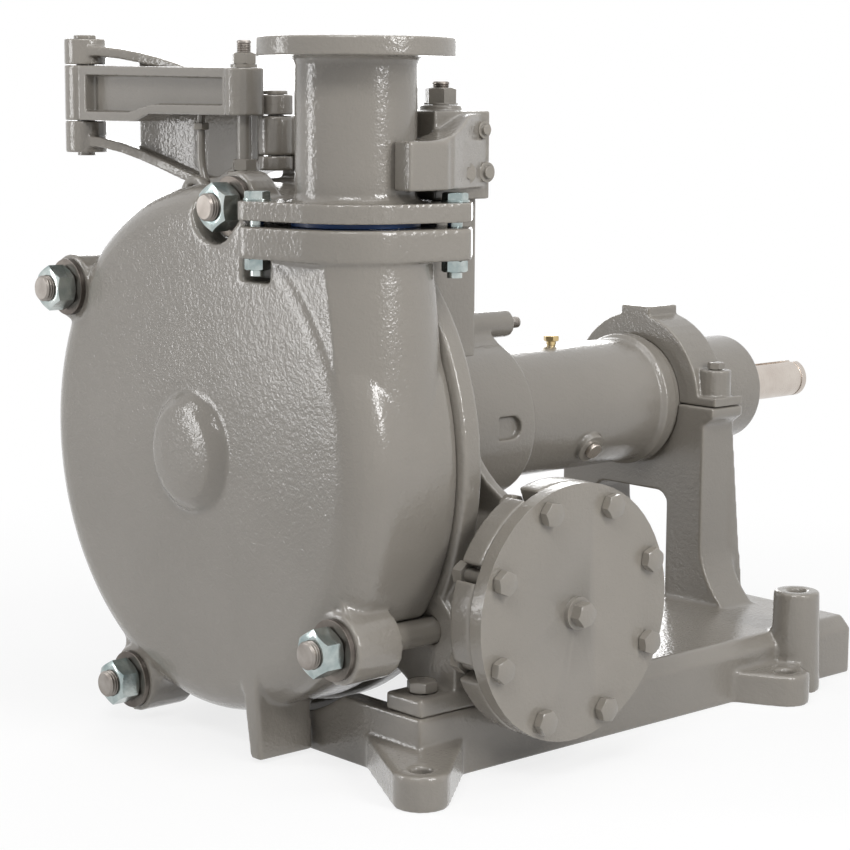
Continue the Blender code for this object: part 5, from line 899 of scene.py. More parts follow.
def weld(first, *others):
    """Unite solids into one."""
    return combine(first, others, "UNION")


def cut(target, *cutters):
    """Cut solids out of the target."""
    return combine(target, cutters, "DIFFERENCE")


def polar(centre, radius, angle):
    """Return the point of a plane at a distance and angle from a centre."""
    return centre[0] + radius * math.cos(angle), centre[1] + radius * math.sin(angle)


def arc(centre, radius, start, end, steps):
    """Return points on an arc, both ends included."""
    return [polar(centre, radius, start + (end - start) * n / steps) for n in range(steps + 1)]


def circle(centre, radius, sides=ROUND):
    """Return the points of a circle."""
    return arc(centre, radius, 0, 2 * math.pi * (sides - 1) / sides, sides - 1)


def hull(points):
    """Return the convex hull of plane points, in order."""
    ordered = sorted(set(points))

    def half(sequence):
        kept = []
        for p in sequence:
            while len(kept) > 1:
                a, b = kept[-2], kept[-1]
                if (b[0] - a[0]) * (p[1] - a[1]) - (b[1] - a[1]) * (p[0] - a[0]) > 0:
                    break
                kept.pop()
            kept.append(p)
        return kept[:-1]

    return half(ordered) + half(ordered[::-1])


def lobe(place, angle, radius, root, root_radius):
    """Return the outline of an ear: its round end joined to a rounder root nearer the shaft line."""
    return hull(circle(place, radius, COARSE) + circle(polar(SHAFT, root, angle), root_radius, COARSE))


def turn_about_neck(points):
    """Turn plan points from the flange's own frame to its place on the neck."""
    c, s = math.cos(EAR_TURN), math.sin(EAR_TURN)
    return [(NECK_X + c * u - s * v, NECK_Y + s * u + c * v) for u, v in points]


SHAFT = (0, AXIS_Z)
STUDS = [(name, angle, polar(SHAFT, distance, angle), back) for name, angle, distance, back in STUD_PLACES]
EAR_BOLTS = turn_about_neck([(EAR_BOLT_OFFSET, 0), (-EAR_BOLT_OFFSET, 0)])
COVER_ANGLES = [COVER_BOLT_TURN + 2 * math.pi * n / COVER_BOLTS for n in range(COVER_BOLTS)]
HOLD_BOLTS = (("right", BASE_RIGHT - BITE - PAD_WIDTH / 2, BASE_FRONT_Y + PAD_LENGTH / 3 + 2 * BITE),
              ("left", BASE_LEFT + 2 * BITE + PAD_WIDTH / 3, BASE_STEP_Y + BITE + PAD_LENGTH / 3))
ELBOW = Vector((ROOT_PIN.x - LINK * math.cos(LINK_REST), ROOT_PIN.y - LINK * math.sin(LINK_REST), 0))
HANG = Vector((ROOT_PIN.x, ROOT_PIN.y - 2 * LINK * math.sin(LINK_REST), 0))


def ear_outline(grow=0.0):
    """Return the plan of the two-bolt flange: a round middle and two square ears."""
    side = arc((0, 0), EAR_MIDDLE_RADIUS + grow, EAR_ARC_START, EAR_ARC_END, 10)
    end = EAR_HALF_LENGTH + grow
    width = EAR_END_HALF_WIDTH + grow
    left = [(-end + EAR_CORNER, width), (-end, width - EAR_CORNER), (-end, -width + EAR_CORNER),
            (-end + EAR_CORNER, -width)]
    return turn_about_neck(side + left + [(-u, -v) for u, v in side + left])


def cavity_outline():
    """Return the spiral wall of the volute, widest where the discharge leaves it."""
    points = []
    for n in range(CAVITY_STEPS + 1):
        share = n / CAVITY_STEPS
        angle = math.radians(CAVITY_TURN) + share * math.radians(CAVITY_SWEEP)
        points.append(polar(SHAFT, CAVITY_START + (CAVITY_END - CAVITY_START) * share, angle))
    return points


def make_case():
    """Make the one-piece case with its ears, neck, flange and leg."""
    y, flat = CASE_FRONT_Y, NOSE_RADIUS - NOSE_ROUND
    profile = [(0, y - NOSE_HEIGHT), (flat * NOSE_FLAT_SHARE, y - NOSE_HEIGHT),
               (flat, y - NOSE_HEIGHT * NOSE_SHOULDER_SHARE),
               (NOSE_RADIUS - NOSE_ROUND * NOSE_SIDE_SHARE, y - NOSE_HEIGHT * NOSE_DROP_SHARE),
               (NOSE_RADIUS, y)]
    profile += [(CASE_RADIUS - CASE_EDGE + CASE_EDGE * r, y + CASE_EDGE * (1 - a))
                for r, a in arc((0, 0), 1.0, math.radians(90), 0, 6)]
    profile += [(CASE_RADIUS, CASE_BACK_Y - CASE_BACK_EDGE),
                (CASE_RADIUS - CASE_BACK_EDGE * BACK_EDGE_SHARE, CASE_BACK_Y), (0, CASE_BACK_Y)]
    case = turned(profile)
    face = y - NOSE_HEIGHT
    for _, angle, (x, z), back in STUDS:
        front = EAR_FRONT_Y + back
        ear = lobe((x, z), angle, EAR_RADIUS * EAR_LOBE_SHARE, CASE_RADIUS - CASE_EDGE - CASE_WALL,
                   EAR_RADIUS * EAR_ROOT_SHARE)
        weld(case, prism(ear, front + BITE * 2, EAR_BACK_Y - BITE * 3, "y"),
             cylinder(EAR_RADIUS, (x, front - BITE, z), EAR_BACK_Y + BITE - front, "y", EAR_SIDES))
        cut(case, cylinder(EAR_RADIUS + BITE / 2, (x, face, z), front - face, "y", EAR_SIDES))
    flange_low = CASE_FLANGE_TOP - CASE_FLANGE_THICK
    neck = cylinder(NECK_ROOT_RADIUS, (NECK_X, NECK_Y, AXIS_Z), flange_low - AXIS_Z + BITE, "z", FINE,
                    radius_end=NECK_RADIUS)
    cut(neck, box((CASE_RADIUS, -FAR, 0), (FAR, FAR, FAR)), box((-FAR, -FAR, 0), (FAR, y + BITE, FAR)),
        box((-FAR, CASE_BACK_Y - BITE, 0), (FAR, FAR, FAR)))
    weld(case, neck)
    for x, y in EAR_BOLTS:
        cut(case, cylinder(EAR_BOLT_HEX, (x, y, flange_low - EAR_BOLT_POCKET), EAR_BOLT_POCKET + BITE, "z",
                           EAR_SIDES))
    weld(case, prism(ear_outline(), flange_low, CASE_FLANGE_TOP + BITE))
    cut(case, prism(ear_outline(2 * CLEARANCE), CASE_FLANGE_TOP, AXIS_Z + CASE_RADIUS + OVERRUN))
    top_x, leg_back = LEG_X - LEG_LEAN, LEG_FRONT_Y + LEG_LENGTH
    lug_root = AXIS_Z + CASE_RADIUS - CASE_WALL
    weld(case, loft([level_ring(top_x, top_x + LEG_THICK, LEG_FRONT_Y, leg_back, LEG_TOP),
                     level_ring(LEG_X, LEG_X + LEG_THICK * LEG_FOOT_SHARE, LEG_FRONT_Y, leg_back,
                                LEG_BOTTOM)]),
         cylinder(HANG_LUG_RADIUS, (0, NECK_Y, lug_root), HANG_LUG_TOP - lug_root, "z", PIN_SIDES),
         ring(LUG_INNER, LUG_OUTER, 0, LUG_THICK, MEDIUM,
              (LUG_PLACE[0], NECK_Y - LUG_THICK / 2, LUG_PLACE[1])))
    cut(case, prism(cavity_outline(), CASE_FRONT_Y + CASE_WALL, CASE_BACK_Y + OVERRUN, "y"),
        cylinder(NECK_BORE, (NECK_X, NECK_Y, AXIS_Z), CASE_FLANGE_TOP - AXIS_Z + OVERRUN),
        cylinder(LINER_SEAT_RADIUS + GAP, (0, CASE_BACK_Y - LINER_SEAT_DEPTH, AXIS_Z),
                 LINER_SEAT_DEPTH + OVERRUN, "y", FINE, turn=0))
    for _, _, (x, z), _ in STUDS:
        cut(case, hole(STUD_RADIUS + CLEARANCE, (x, EAR_FRONT_Y, z), CASE_BACK_Y - EAR_FRONT_Y, "y",
                       MEDIUM))
    for x, y in EAR_BOLTS:
        cut(case, hole(EAR_BOLT_RADIUS + CLEARANCE, (x, y, flange_low), CASE_FLANGE_THICK))
    cut(case, blind(HANG_ROD_RADIUS, (0, NECK_Y, HANG_LUG_TOP), HANG_LUG_DEPTH))
    finish(case, "volute_case", "paint")


def make_case_fasteners():
    """Make the tie studs, their nuts and washers."""
    for name, _, (x, z), back in STUDS:
        end = STUD_END_Y + back
        rod_y = end + STUD_THREAD
        finish(cylinder(STUD_RADIUS, (x, rod_y, z), STUD_BACK_Y - rod_y, "y", MEDIUM), "tie_stud_" + name,
               "bolt_paint")
        finish(threaded(STUD_RADIUS, (x, end, z), STUD_THREAD, "y", STUD_PITCH), "tie_stud_" + name,
               "bolt_steel", "thread")
        y = EAR_FRONT_Y + back - GAP - STUD_WASHER_THICK
        washer = cylinder(STUD_WASHER_RADIUS, (x, y, z), STUD_WASHER_THICK, "y")
        cut(washer, hole(STUD_RADIUS + CLEARANCE, (x, y, z), STUD_WASHER_THICK, "y", MEDIUM))
        finish(washer, "tie_washer_" + name, "washer")
        y = y - GAP - STUD_NUT_THICK
        nut = hexagon(STUD_NUT_HEX, (x, y, z), STUD_NUT_THICK, "y")
        cut(nut, hole(STUD_RADIUS + CLEARANCE / 2, (x, y, z), STUD_NUT_THICK, "y", MEDIUM))
        finish(nut, "tie_nut_" + name, "zinc")


def make_spool():
    """Make the discharge spool, its seal ring and the two flange bolts."""
    low = CASE_FLANGE_TOP + SEAL_RING_THICK
    foot_top = low + SPOOL_FLANGE_THICK
    top_low = SPOOL_TOP - SPOOL_TOP_THICK
    bulge, wide = SPOOL_FILLET * FILLET_SHARE, SPOOL_RADIUS + SPOOL_FILLET
    spool = prism(ear_outline(), low, foot_top)
    weld(spool, turned([
        (0, low + BITE), (wide, low + BITE), (wide, foot_top), (SPOOL_RADIUS + bulge, foot_top + bulge),
        (SPOOL_RADIUS, foot_top + SPOOL_FILLET), (SPOOL_RADIUS, top_low - SPOOL_FILLET),
        (SPOOL_RADIUS + bulge, top_low - bulge), (wide, top_low), (SPOOL_TOP_RADIUS, top_low),
        (SPOOL_TOP_RADIUS, SPOOL_TOP), (0, SPOOL_TOP)], (NECK_X, NECK_Y, 0), "z"))
    cut(spool, hole(NECK_BORE, (NECK_X, NECK_Y, low), SPOOL_TOP - low, sides=ROUND))
    for x, y in EAR_BOLTS:
        cut(spool, hole(EAR_BOLT_RADIUS + CLEARANCE, (x, y, low), SPOOL_FLANGE_THICK))
    for n in range(SPOOL_HOLES):
        place = polar((NECK_X, NECK_Y), SPOOL_HOLE_CIRCLE, 2 * math.pi * (n + 0.5) / SPOOL_HOLES)
        cut(spool, hole(SPOOL_HOLE_RADIUS, (*place, top_low), SPOOL_TOP_THICK, sides=COARSE))
    finish(spool, "discharge_spool", "paint")
    seal_place = (NECK_X, NECK_Y, CASE_FLANGE_TOP + GAP)
    seal = cylinder(SEAL_RING_RADIUS, seal_place, SEAL_RING_THICK - 2 * GAP, "z", FINE)
    cut(seal, hole(NECK_BORE, seal_place, SEAL_RING_THICK, sides=ROUND))
    finish(seal, "flange_seal_ring", "blue")
    head_low = foot_top + GAP
    nut_low = CASE_FLANGE_TOP - CASE_FLANGE_THICK - GAP - EAR_BOLT_NUT
    for name, (x, y) in zip(("rear", "front"), EAR_BOLTS):
        made = bolt(EAR_BOLT_RADIUS, (x, y, nut_low - EAR_BOLT_TAIL), head_low, EAR_BOLT_HEX, EAR_BOLT_HEAD,
                    turn=EAR_BOLT_TURN)
        weld(made, hexagon(EAR_BOLT_HEX, (x, y, nut_low), EAR_BOLT_NUT, turn=EAR_BOLT_TURN),
             cylinder(EAR_BOLT_HEX * HEAD_FLANGE_SHARE, (x, y, head_low), HEAD_FLANGE_THICK, "z", MEDIUM))
        finish(made, "flange_bolt_" + name, "zinc")


def slotted_flange():
    """Make the intake flange with a slot open to the rim at each bolt."""
    low = FLANGE_FACE_X - FLANGE_THICK
    flange = cylinder(FLANGE_RADIUS, (low, PIPE_Y, PIPE_Z), FLANGE_THICK, "x", FINE)
    for angle in COVER_ANGLES:
        slot = box((low - OVERRUN, FLANGE_RADIUS - SLOT_DEPTH, -SLOT_WIDTH / 2),
                   (FLANGE_FACE_X + OVERRUN, FLANGE_RADIUS + OVERRUN, SLOT_WIDTH / 2))
        slot.data.transform(Matrix.Translation((0, PIPE_Y, PIPE_Z)) @ Matrix.Rotation(angle, 4, "X"))
        cut(flange, slot)
    return flange


def make_intake_housing():
    """Make the back plate, intake chamber and side intake as one casting."""
    front, back, edge = CASE_BACK_Y + GAP, PLATE_BACK_Y, PLATE_RADIUS
    housing = turned([(0, front), (edge - 3 * BITE, front), (edge, front + BITE), (edge, back - BITE),
                      (edge - BITE, back), (0, back)])
    for _, angle, (x, z), _ in STUDS:
        ear = lobe((x, z), angle, EAR_RADIUS, edge - 2 * EAR_RADIUS, EAR_RADIUS * LUG_ROOT_SHARE)
        weld(housing, prism(ear, front + CLEARANCE, back + BITE, "y"),
             cylinder(EAR_RADIUS * LUG_SHARE, (x, back, z), LUG_BACK_Y - back, "y", EAR_SIDES))
    body = hull(circle(SHAFT, CHAMBER_RADIUS) + circle((SUMP_X, PIPE_Z), SUMP_RADIUS))
    flange_x = FLANGE_FACE_X - FLANGE_THICK
    weld(housing, prism(body, back - BITE, CHAMBER_BACK_Y, "y"),
         cylinder(PIPE_RADIUS, (SUMP_X, PIPE_Y, PIPE_Z), flange_x + BITE - SUMP_X, "x", PIPE_SIDES),
         slotted_flange())
    low_x, pipe_top = flange_x - BITE, PIPE_Z + PIPE_RADIUS
    fin = []
    for n in range(FIN_STEPS + 1):
        share = n / FIN_STEPS
        sag = FIN_SAG * math.sin(math.pi * share)
        fin.append((FIN_TOP_X + (low_x - FIN_TOP_X) * share - sag,
                    FIN_TOP_Z + (pipe_top - FIN_TOP_Z) * share - sag))
    fin += [(low_x, PIPE_Z), (SUMP_X, PIPE_Z), (SUMP_X, FIN_TOP_Z + BITE),
            (FIN_TOP_X - BITE, FIN_TOP_Z + BITE)]
    near, far = FIN_TOP_X - 2 * FIN_THICK, FIN_TOP_X - 3 * FIN_THICK
    root = [(near, FIN_TOP_Z), (far, FIN_TOP_Z), (far, PIPE_Z + BITE), (near, PIPE_Z + BITE)]
    pad_low = BASE_TOP + GAP
    pad_top = pad_low + PAD_THICK
    outer = BASE_RIGHT - BITE
    inner, pad_front = outer - PAD_WIDTH, BASE_FRONT_Y + BITE
    lean = edge - 2 * EAR_RADIUS - PAD_WIDTH
    rib = [(outer - BITE, pad_low + BITE), (inner, pad_low + BITE), (lean, AXIS_Z - edge * RIB_LOW_SHARE),
           (lean, AXIS_Z - edge * RIB_HIGH_SHARE), (outer - BITE, pad_top + EAR_RADIUS)]
    left, pad_y = BASE_LEFT + 2 * BITE, BASE_STEP_Y + BITE
    rear_rib = [(left + BITE, pad_low + BITE), (left + BITE, pad_top),
                (-CHAMBER_RADIUS * REAR_RIB_SHARE, AXIS_Z), (0, AXIS_Z), (-SUMP_X, pad_low + 2 * BITE)]
    rib_back = pad_y + PAD_LENGTH - 2 * BITE
    pin, neck = ROOT_PIN, KNUCKLE_RADIUS * KNUCKLE_NECK_SHARE
    weld(housing, prism(fin, FIN_Y - FIN_THICK / 2, FIN_Y + FIN_THICK / 2, "y"),
         prism(root, back - BITE, FIN_Y, "y"),
         box((inner, pad_front, pad_low), (outer, pad_front + PAD_LENGTH + 3 * BITE, pad_top)),
         prism(rib, front + CLEARANCE, back + CLEARANCE, "y"),
         box((left, pad_y, pad_low), (left + PAD_WIDTH, pad_y + PAD_LENGTH, pad_top)),
         prism(rear_rib, rib_back - FIN_THICK, rib_back, "y"),
         box((-REAR_PAD_HALF, CHAMBER_BACK_Y - REAR_PAD_DEPTH, pad_low),
             (REAR_PAD_HALF, CHAMBER_BACK_Y, PIPE_Z)),
         box((-BRACKET_HALF_WIDTH, pin.y + KNUCKLE_RADIUS + 2 * CLEARANCE, AXIS_Z + edge * BRACKET_SHARE),
             (BRACKET_HALF_WIDTH, back - BITE, KNUCKLE_HIGH)),
         box((-neck, pin.y, KNUCKLE_LOW), (neck, back - 2 * BITE, KNUCKLE_HIGH)),
         cylinder(KNUCKLE_RADIUS, (pin.x, pin.y, KNUCKLE_LOW), KNUCKLE_HIGH - KNUCKLE_LOW, "z", PIN_SIDES))
    inside = hull(circle(SHAFT, CHAMBER_RADIUS - CHAMBER_WALL, CHAMBER_SIDES)
                  + circle((SUMP_X, PIPE_Z), PIPE_BORE + BITE, CHAMBER_SIDES))
    before = front - OVERRUN
    cut(housing, cylinder(PIPE_BORE, (SUMP_X - BITE, PIPE_Y, PIPE_Z), FLANGE_FACE_X, "x", ROUND, turn=0),
        prism(inside, back + BITE, CHAMBER_BACK_Y - CHAMBER_WALL, "y"),
        cylinder(EYE_RADIUS + LINER_THICK, (0, before, AXIS_Z), back - front + 3 * OVERRUN, "y", FINE),
        cylinder(LINER_SEAT_RADIUS + GAP, (0, before, AXIS_Z), LINER_SEAT_DEPTH + OVERRUN, "y", FINE,
                 turn=0),
        cylinder(BACK_OPENING, (0, CHAMBER_BACK_Y - 2 * CHAMBER_WALL, AXIS_Z), 2 * CHAMBER_WALL + OVERRUN,
                 "y",
                 FINE, turn=0),
        box((NECK_X - EAR_MIDDLE_RADIUS + BITE, before, CASE_FLANGE_TOP - CASE_FLANGE_THICK - OVERRUN),
            (edge + OVERRUN, back + OVERRUN, AXIS_Z + edge + OVERRUN)),
        hole(ROOT_PIN_RADIUS + GAP, (pin.x, pin.y, KNUCKLE_LOW), KNUCKLE_HIGH - KNUCKLE_LOW))
    for _, _, (x, z), _ in STUDS:
        cut(housing, cylinder(STUD_RADIUS + GAP, (x, before, z), STUD_BACK_Y + GAP - front + OVERRUN, "y",
                              EAR_SIDES))
    for _, x, y in HOLD_BOLTS:
        cut(housing, cylinder(HOLD_BOLT_RADIUS + CLEARANCE, (x, y, 0), pad_top + OVERRUN, "z", SMALL))
    cut(housing, blind(POST_BOLT_RADIUS, (NECK_X, back, POST_BOLT_Z), POST_BOLT_DEPTH, "y"))
    finish(housing, "intake_housing", "paint")


def make_liner():
    """Make the wear plate between the impeller and the housing."""
    y = CASE_BACK_Y - LINER_SEAT_DEPTH + GAP
    finish(ring(EYE_RADIUS, LINER_SEAT_RADIUS, y, LINER_THICK, FINE), "rear_liner", "iron")


def make_cover():
    """Make the blanking plate on the intake, with its plug screwed in, and its bolts."""
    start = FLANGE_FACE_X + GAP
    face = start + COVER_THICK
    cover = cylinder(COVER_RADIUS, (start, PIPE_Y, PIPE_Z), COVER_THICK, "x", COVER_SIDES)
    weld(cover, cylinder(PLUG_SEAT_RADIUS, (face - BITE, PIPE_Y, PIPE_Z), PLUG_SEAT_HEIGHT + BITE, "x",
                         BOSS_SIDES))
    bolts = [(angle, *polar((PIPE_Y, PIPE_Z), COVER_BOLT_CIRCLE, angle)) for angle in COVER_ANGLES]
    for _, y, z in bolts:
        cut(cover, hole(COVER_BOLT_RADIUS + CLEARANCE, (start, y, z), COVER_THICK, "x"))
    weld(cover, hexagon(PLUG_HEX, (face + PLUG_SEAT_HEIGHT - BITE, PIPE_Y, PIPE_Z), PLUG_HEAD + BITE, "x",
                        PLUG_TURN))
    finish(cover, "intake_cover_plate", "paint")
    nut_x = FLANGE_FACE_X - FLANGE_THICK - GAP - COVER_NUT_THICK
    for n, (angle, y, z) in enumerate(bolts, 1):
        made = bolt(COVER_BOLT_RADIUS, (nut_x - COVER_BOLT_TAIL, y, z), face + GAP, COVER_BOLT_HEX,
                    COVER_BOLT_HEAD, "x", angle)
        weld(made, hexagon(COVER_BOLT_HEX, (nut_x, y, z), COVER_NUT_THICK, "x", angle))
        finish(made, "cover_bolt_" + str(n), "bolt_paint")


def base_chamfer(corner_x, side):
    """Make a cutter for the slope along an upper edge of the base."""
    reach = BASE_CHAMFER + OVERRUN
    outside = corner_x + side * OVERRUN
    section = [(outside, BASE_TOP - reach), (outside, BASE_TOP + OVERRUN),
               (corner_x - side * reach, BASE_TOP + OVERRUN)]
    return prism(section, BASE_STEP_Y + BITE, BASE_REAR_Y + OVERRUN, "y")


def feet():
    """Return each foot's place with the points of the base's side that it grows from."""
    right, left, spread = BASE_RIGHT - BASE_WALL, BASE_LEFT + BASE_WALL, FOOT_SPREAD
    rear = FOOT_REAR[1]
    return ((FOOT_FRONT, [(right, FOOT_FRONT[1] + 2 * spread), (right - spread, BASE_FRONT_Y + BITE)]),
            (FOOT_REAR, [(right, rear - spread), (right, rear + spread)]),
            ((FOOT_LEFT_X, FOOT_LEFT_Y), [(left, FOOT_LEFT_Y - spread / 2), (left, FOOT_LEFT_Y + spread)]),
            ((FOOT_LEFT_X, rear), [(left, rear - spread), (left, rear + spread)]))


def make_base():
    """Make the base, its feet and the pedestal as one casting."""
    wall, pad = BASE_WALL, BASE_RIGHT - PAD_WIDTH
    base = prism([(BASE_RIGHT, BASE_FRONT_Y), (BASE_RIGHT, BASE_REAR_Y), (BASE_LEFT, BASE_REAR_Y),
                  (BASE_LEFT, BASE_STEP_Y), (BASE_STEP_X, BASE_STEP_Y), (BASE_STEP_X, BASE_FRONT_Y)], 0,
                  BASE_TOP)
    cut(base, box((BASE_LEFT + wall, BASE_STEP_Y + wall, -OVERRUN),
                  (BASE_RIGHT - wall, BASE_REAR_Y - wall, BASE_TOP - DECK_THICK)),
        box((BASE_STEP_X + wall, BASE_FRONT_Y + wall, -OVERRUN),
            (pad - 3 * BITE, BASE_STEP_Y + 2 * wall, BASE_TOP + OVERRUN)),
        cylinder(CASE_RADIUS + 2 * OVERRUN, (0, BASE_FRONT_Y - OVERRUN, AXIS_Z),
                 BASE_STEP_Y - BITE - BASE_FRONT_Y, "y", MEDIUM),
        base_chamfer(BASE_RIGHT, 1), base_chamfer(BASE_LEFT, -1))
    for place, near in feet():
        weld(base, prism(hull(near + circle(place, FOOT_RADIUS, COARSE)), 0, FOOT_HEIGHT))
    bosses = (TALL_BOSS, (BASE_LEFT - (TALL_BOSS[0] - BASE_RIGHT), TALL_BOSS[1]))
    for x, y in bosses:
        weld(base, cylinder(TALL_BOSS_RADIUS * TALL_BOSS_SHARE, (x, y, 0), TALL_BOSS_TOP, "z", EAR_SIDES,
                            radius_end=TALL_BOSS_RADIUS))
    weld(base, pedestal())
    front_y = SADDLE_FRONT_Y
    cut(base, cylinder(BARREL_RADIUS + GAP, (0, front_y - 2 * OVERRUN, AXIS_Z),
                       SADDLE_THICK + 5 * OVERRUN, "y",
                       FINE, turn=0))
    for (x, y), _ in feet():
        cut(base, hole(FOOT_HOLE, (x, y, 0), FOOT_HEIGHT, sides=ROUND))
    for x, y in bosses:
        cut(base, hole(FOOT_HOLE, (x, y, 0), TALL_BOSS_TOP, sides=ROUND))
    for _, x, y in HOLD_BOLTS:
        cut(base, blind(HOLD_BOLT_RADIUS, (x, y, BASE_TOP), HOLD_BOLT_DEPTH))
    middle = (front_y + (front_y + SADDLE_THICK)) / 2
    cut(base, *[blind(CAP_BOLT_RADIUS, (side * CAP_BOSS_X, middle, AXIS_Z), CAP_BOLT_DEPTH)
                for side in (-1, 1)],
        cylinder(SIDE_HOLE_RADIUS, (pad - 4 * BITE, SIDE_HOLE_Y, SIDE_HOLE_Z),
                 PAD_WIDTH + 4 * BITE + OVERRUN,
                 "x", COARSE))
    finish(base, "base_frame", "paint")


def pedestal():
    """Make the portal that carries the rear of the bearing cartridge."""
    front, rear = SADDLE_FRONT_Y, SADDLE_FRONT_Y + SADDLE_THICK
    low, top = BASE_TOP - BITE, AXIS_Z - GAP
    right = []
    for n in range(FLARE_STEPS + 1):
        share = n / FLARE_STEPS
        right.append((LEG_OUTER_X + PEDESTAL_FLARE * (1 - share) ** 2,
                      low + (PEDESTAL_FLARE_Z - low) * share))
    right += [(LEG_OUTER_X, top - 2 * CAP_FLANGE_THICK), (CAP_FLANGE_X, top - CAP_FLANGE_THICK),
              (CAP_FLANGE_X, top)]
    body = prism(right + [(-x, z) for x, z in right[::-1]], front, rear, "y")
    for side in (1, -1):
        outer, inner = side * LEG_OUTER_X, side * LEG_INNER_X
        weld(body, loft([
            level_ring(outer, inner, rear - BITE, rear, top - 3 * CAP_FLANGE_THICK),
            level_ring(outer + side * BITE, inner, rear - BITE, front + SADDLE_FOOT_THICK, low)]))
    r, x = WINDOW_CORNER, LEG_INNER_X
    corner = arc((x - r, WINDOW_TOP - r), r, 0, math.pi / 2, 4)
    window = [(x, BASE_TOP), *corner, *[(-a, b) for a, b in corner[::-1]], (-x, BASE_TOP)]
    return cut(body, prism(window, front - OVERRUN, front + SADDLE_FOOT_THICK + OVERRUN, "y"))


def make_cap():
    """Make the saddle cap and its two bolts."""
    middle = SADDLE_FRONT_Y + SADDLE_THICK / 2
    front = middle - CAP_THICK / 2
    back, low = front + CAP_THICK, AXIS_Z + GAP * 2
    sides = (("left", -CAP_BOSS_X), ("right", CAP_BOSS_X))
    cap = prism(arc(SHAFT, CAP_RADIUS, 0, math.pi, 24), front, back, "y")
    weld(cap, box((-CAP_PAD_HALF, front, AXIS_Z + BARREL_RADIUS + BITE), (CAP_PAD_HALF, back, CAP_PAD_Z)),
         box((-CAP_FLANGE_X, front, low - BITE), (CAP_FLANGE_X, back, AXIS_Z + CAP_FLANGE_THICK)),
         *[cylinder(CAP_BOSS_RADIUS, (x, middle, AXIS_Z), CAP_BOSS_HEIGHT, "z", PIN_SIDES) for _,
           x in sides])
    cut(cap, hole(BARREL_RADIUS + GAP, (0, front, AXIS_Z), CAP_THICK, "y", FINE, turn=0),
        box((-CAP_FLANGE_X - OVERRUN, front - OVERRUN, AXIS_Z - CAP_RADIUS),
            (CAP_FLANGE_X + OVERRUN, back + OVERRUN, low)),
        *[hole(CAP_BOLT_RADIUS + CLEARANCE, (x, middle, AXIS_Z), CAP_BOSS_HEIGHT) for _, x in sides])
    finish(cap, "saddle_cap", "paint")
    for name, x in sides:
        finish(bolt(CAP_BOLT_RADIUS, (x, middle, AXIS_Z - CAP_BOLT_DEPTH), AXIS_Z + CAP_BOSS_HEIGHT + GAP,
                    CAP_BOLT_HEX, CAP_BOLT_HEAD), "cap_bolt_" + name, "bolt_paint")


def make_hold_bolts():
    """Make the bolts that hold the housing down on the base."""
    for name, x, y in HOLD_BOLTS:
        finish(bolt(HOLD_BOLT_RADIUS, (x, y, BASE_TOP - HOLD_BOLT_DEPTH), BASE_TOP + PAD_THICK + 2 * GAP,
                    HOLD_BOLT_HEX, HOLD_BOLT_HEAD), "hold_down_bolt_" + name, "bolt_paint")


def along_drain(radius, start, length, sides=SMALL):
    """Make a cylinder on the drain plug's own line."""
    made = cylinder(radius, (start, 0, 0), length, "x", sides)
    made.data.transform(Matrix.Translation((0, DRAIN_Y, AXIS_Z)) @ Matrix.Rotation(-DRAIN_ANGLE, 4, "Y"))
    return made


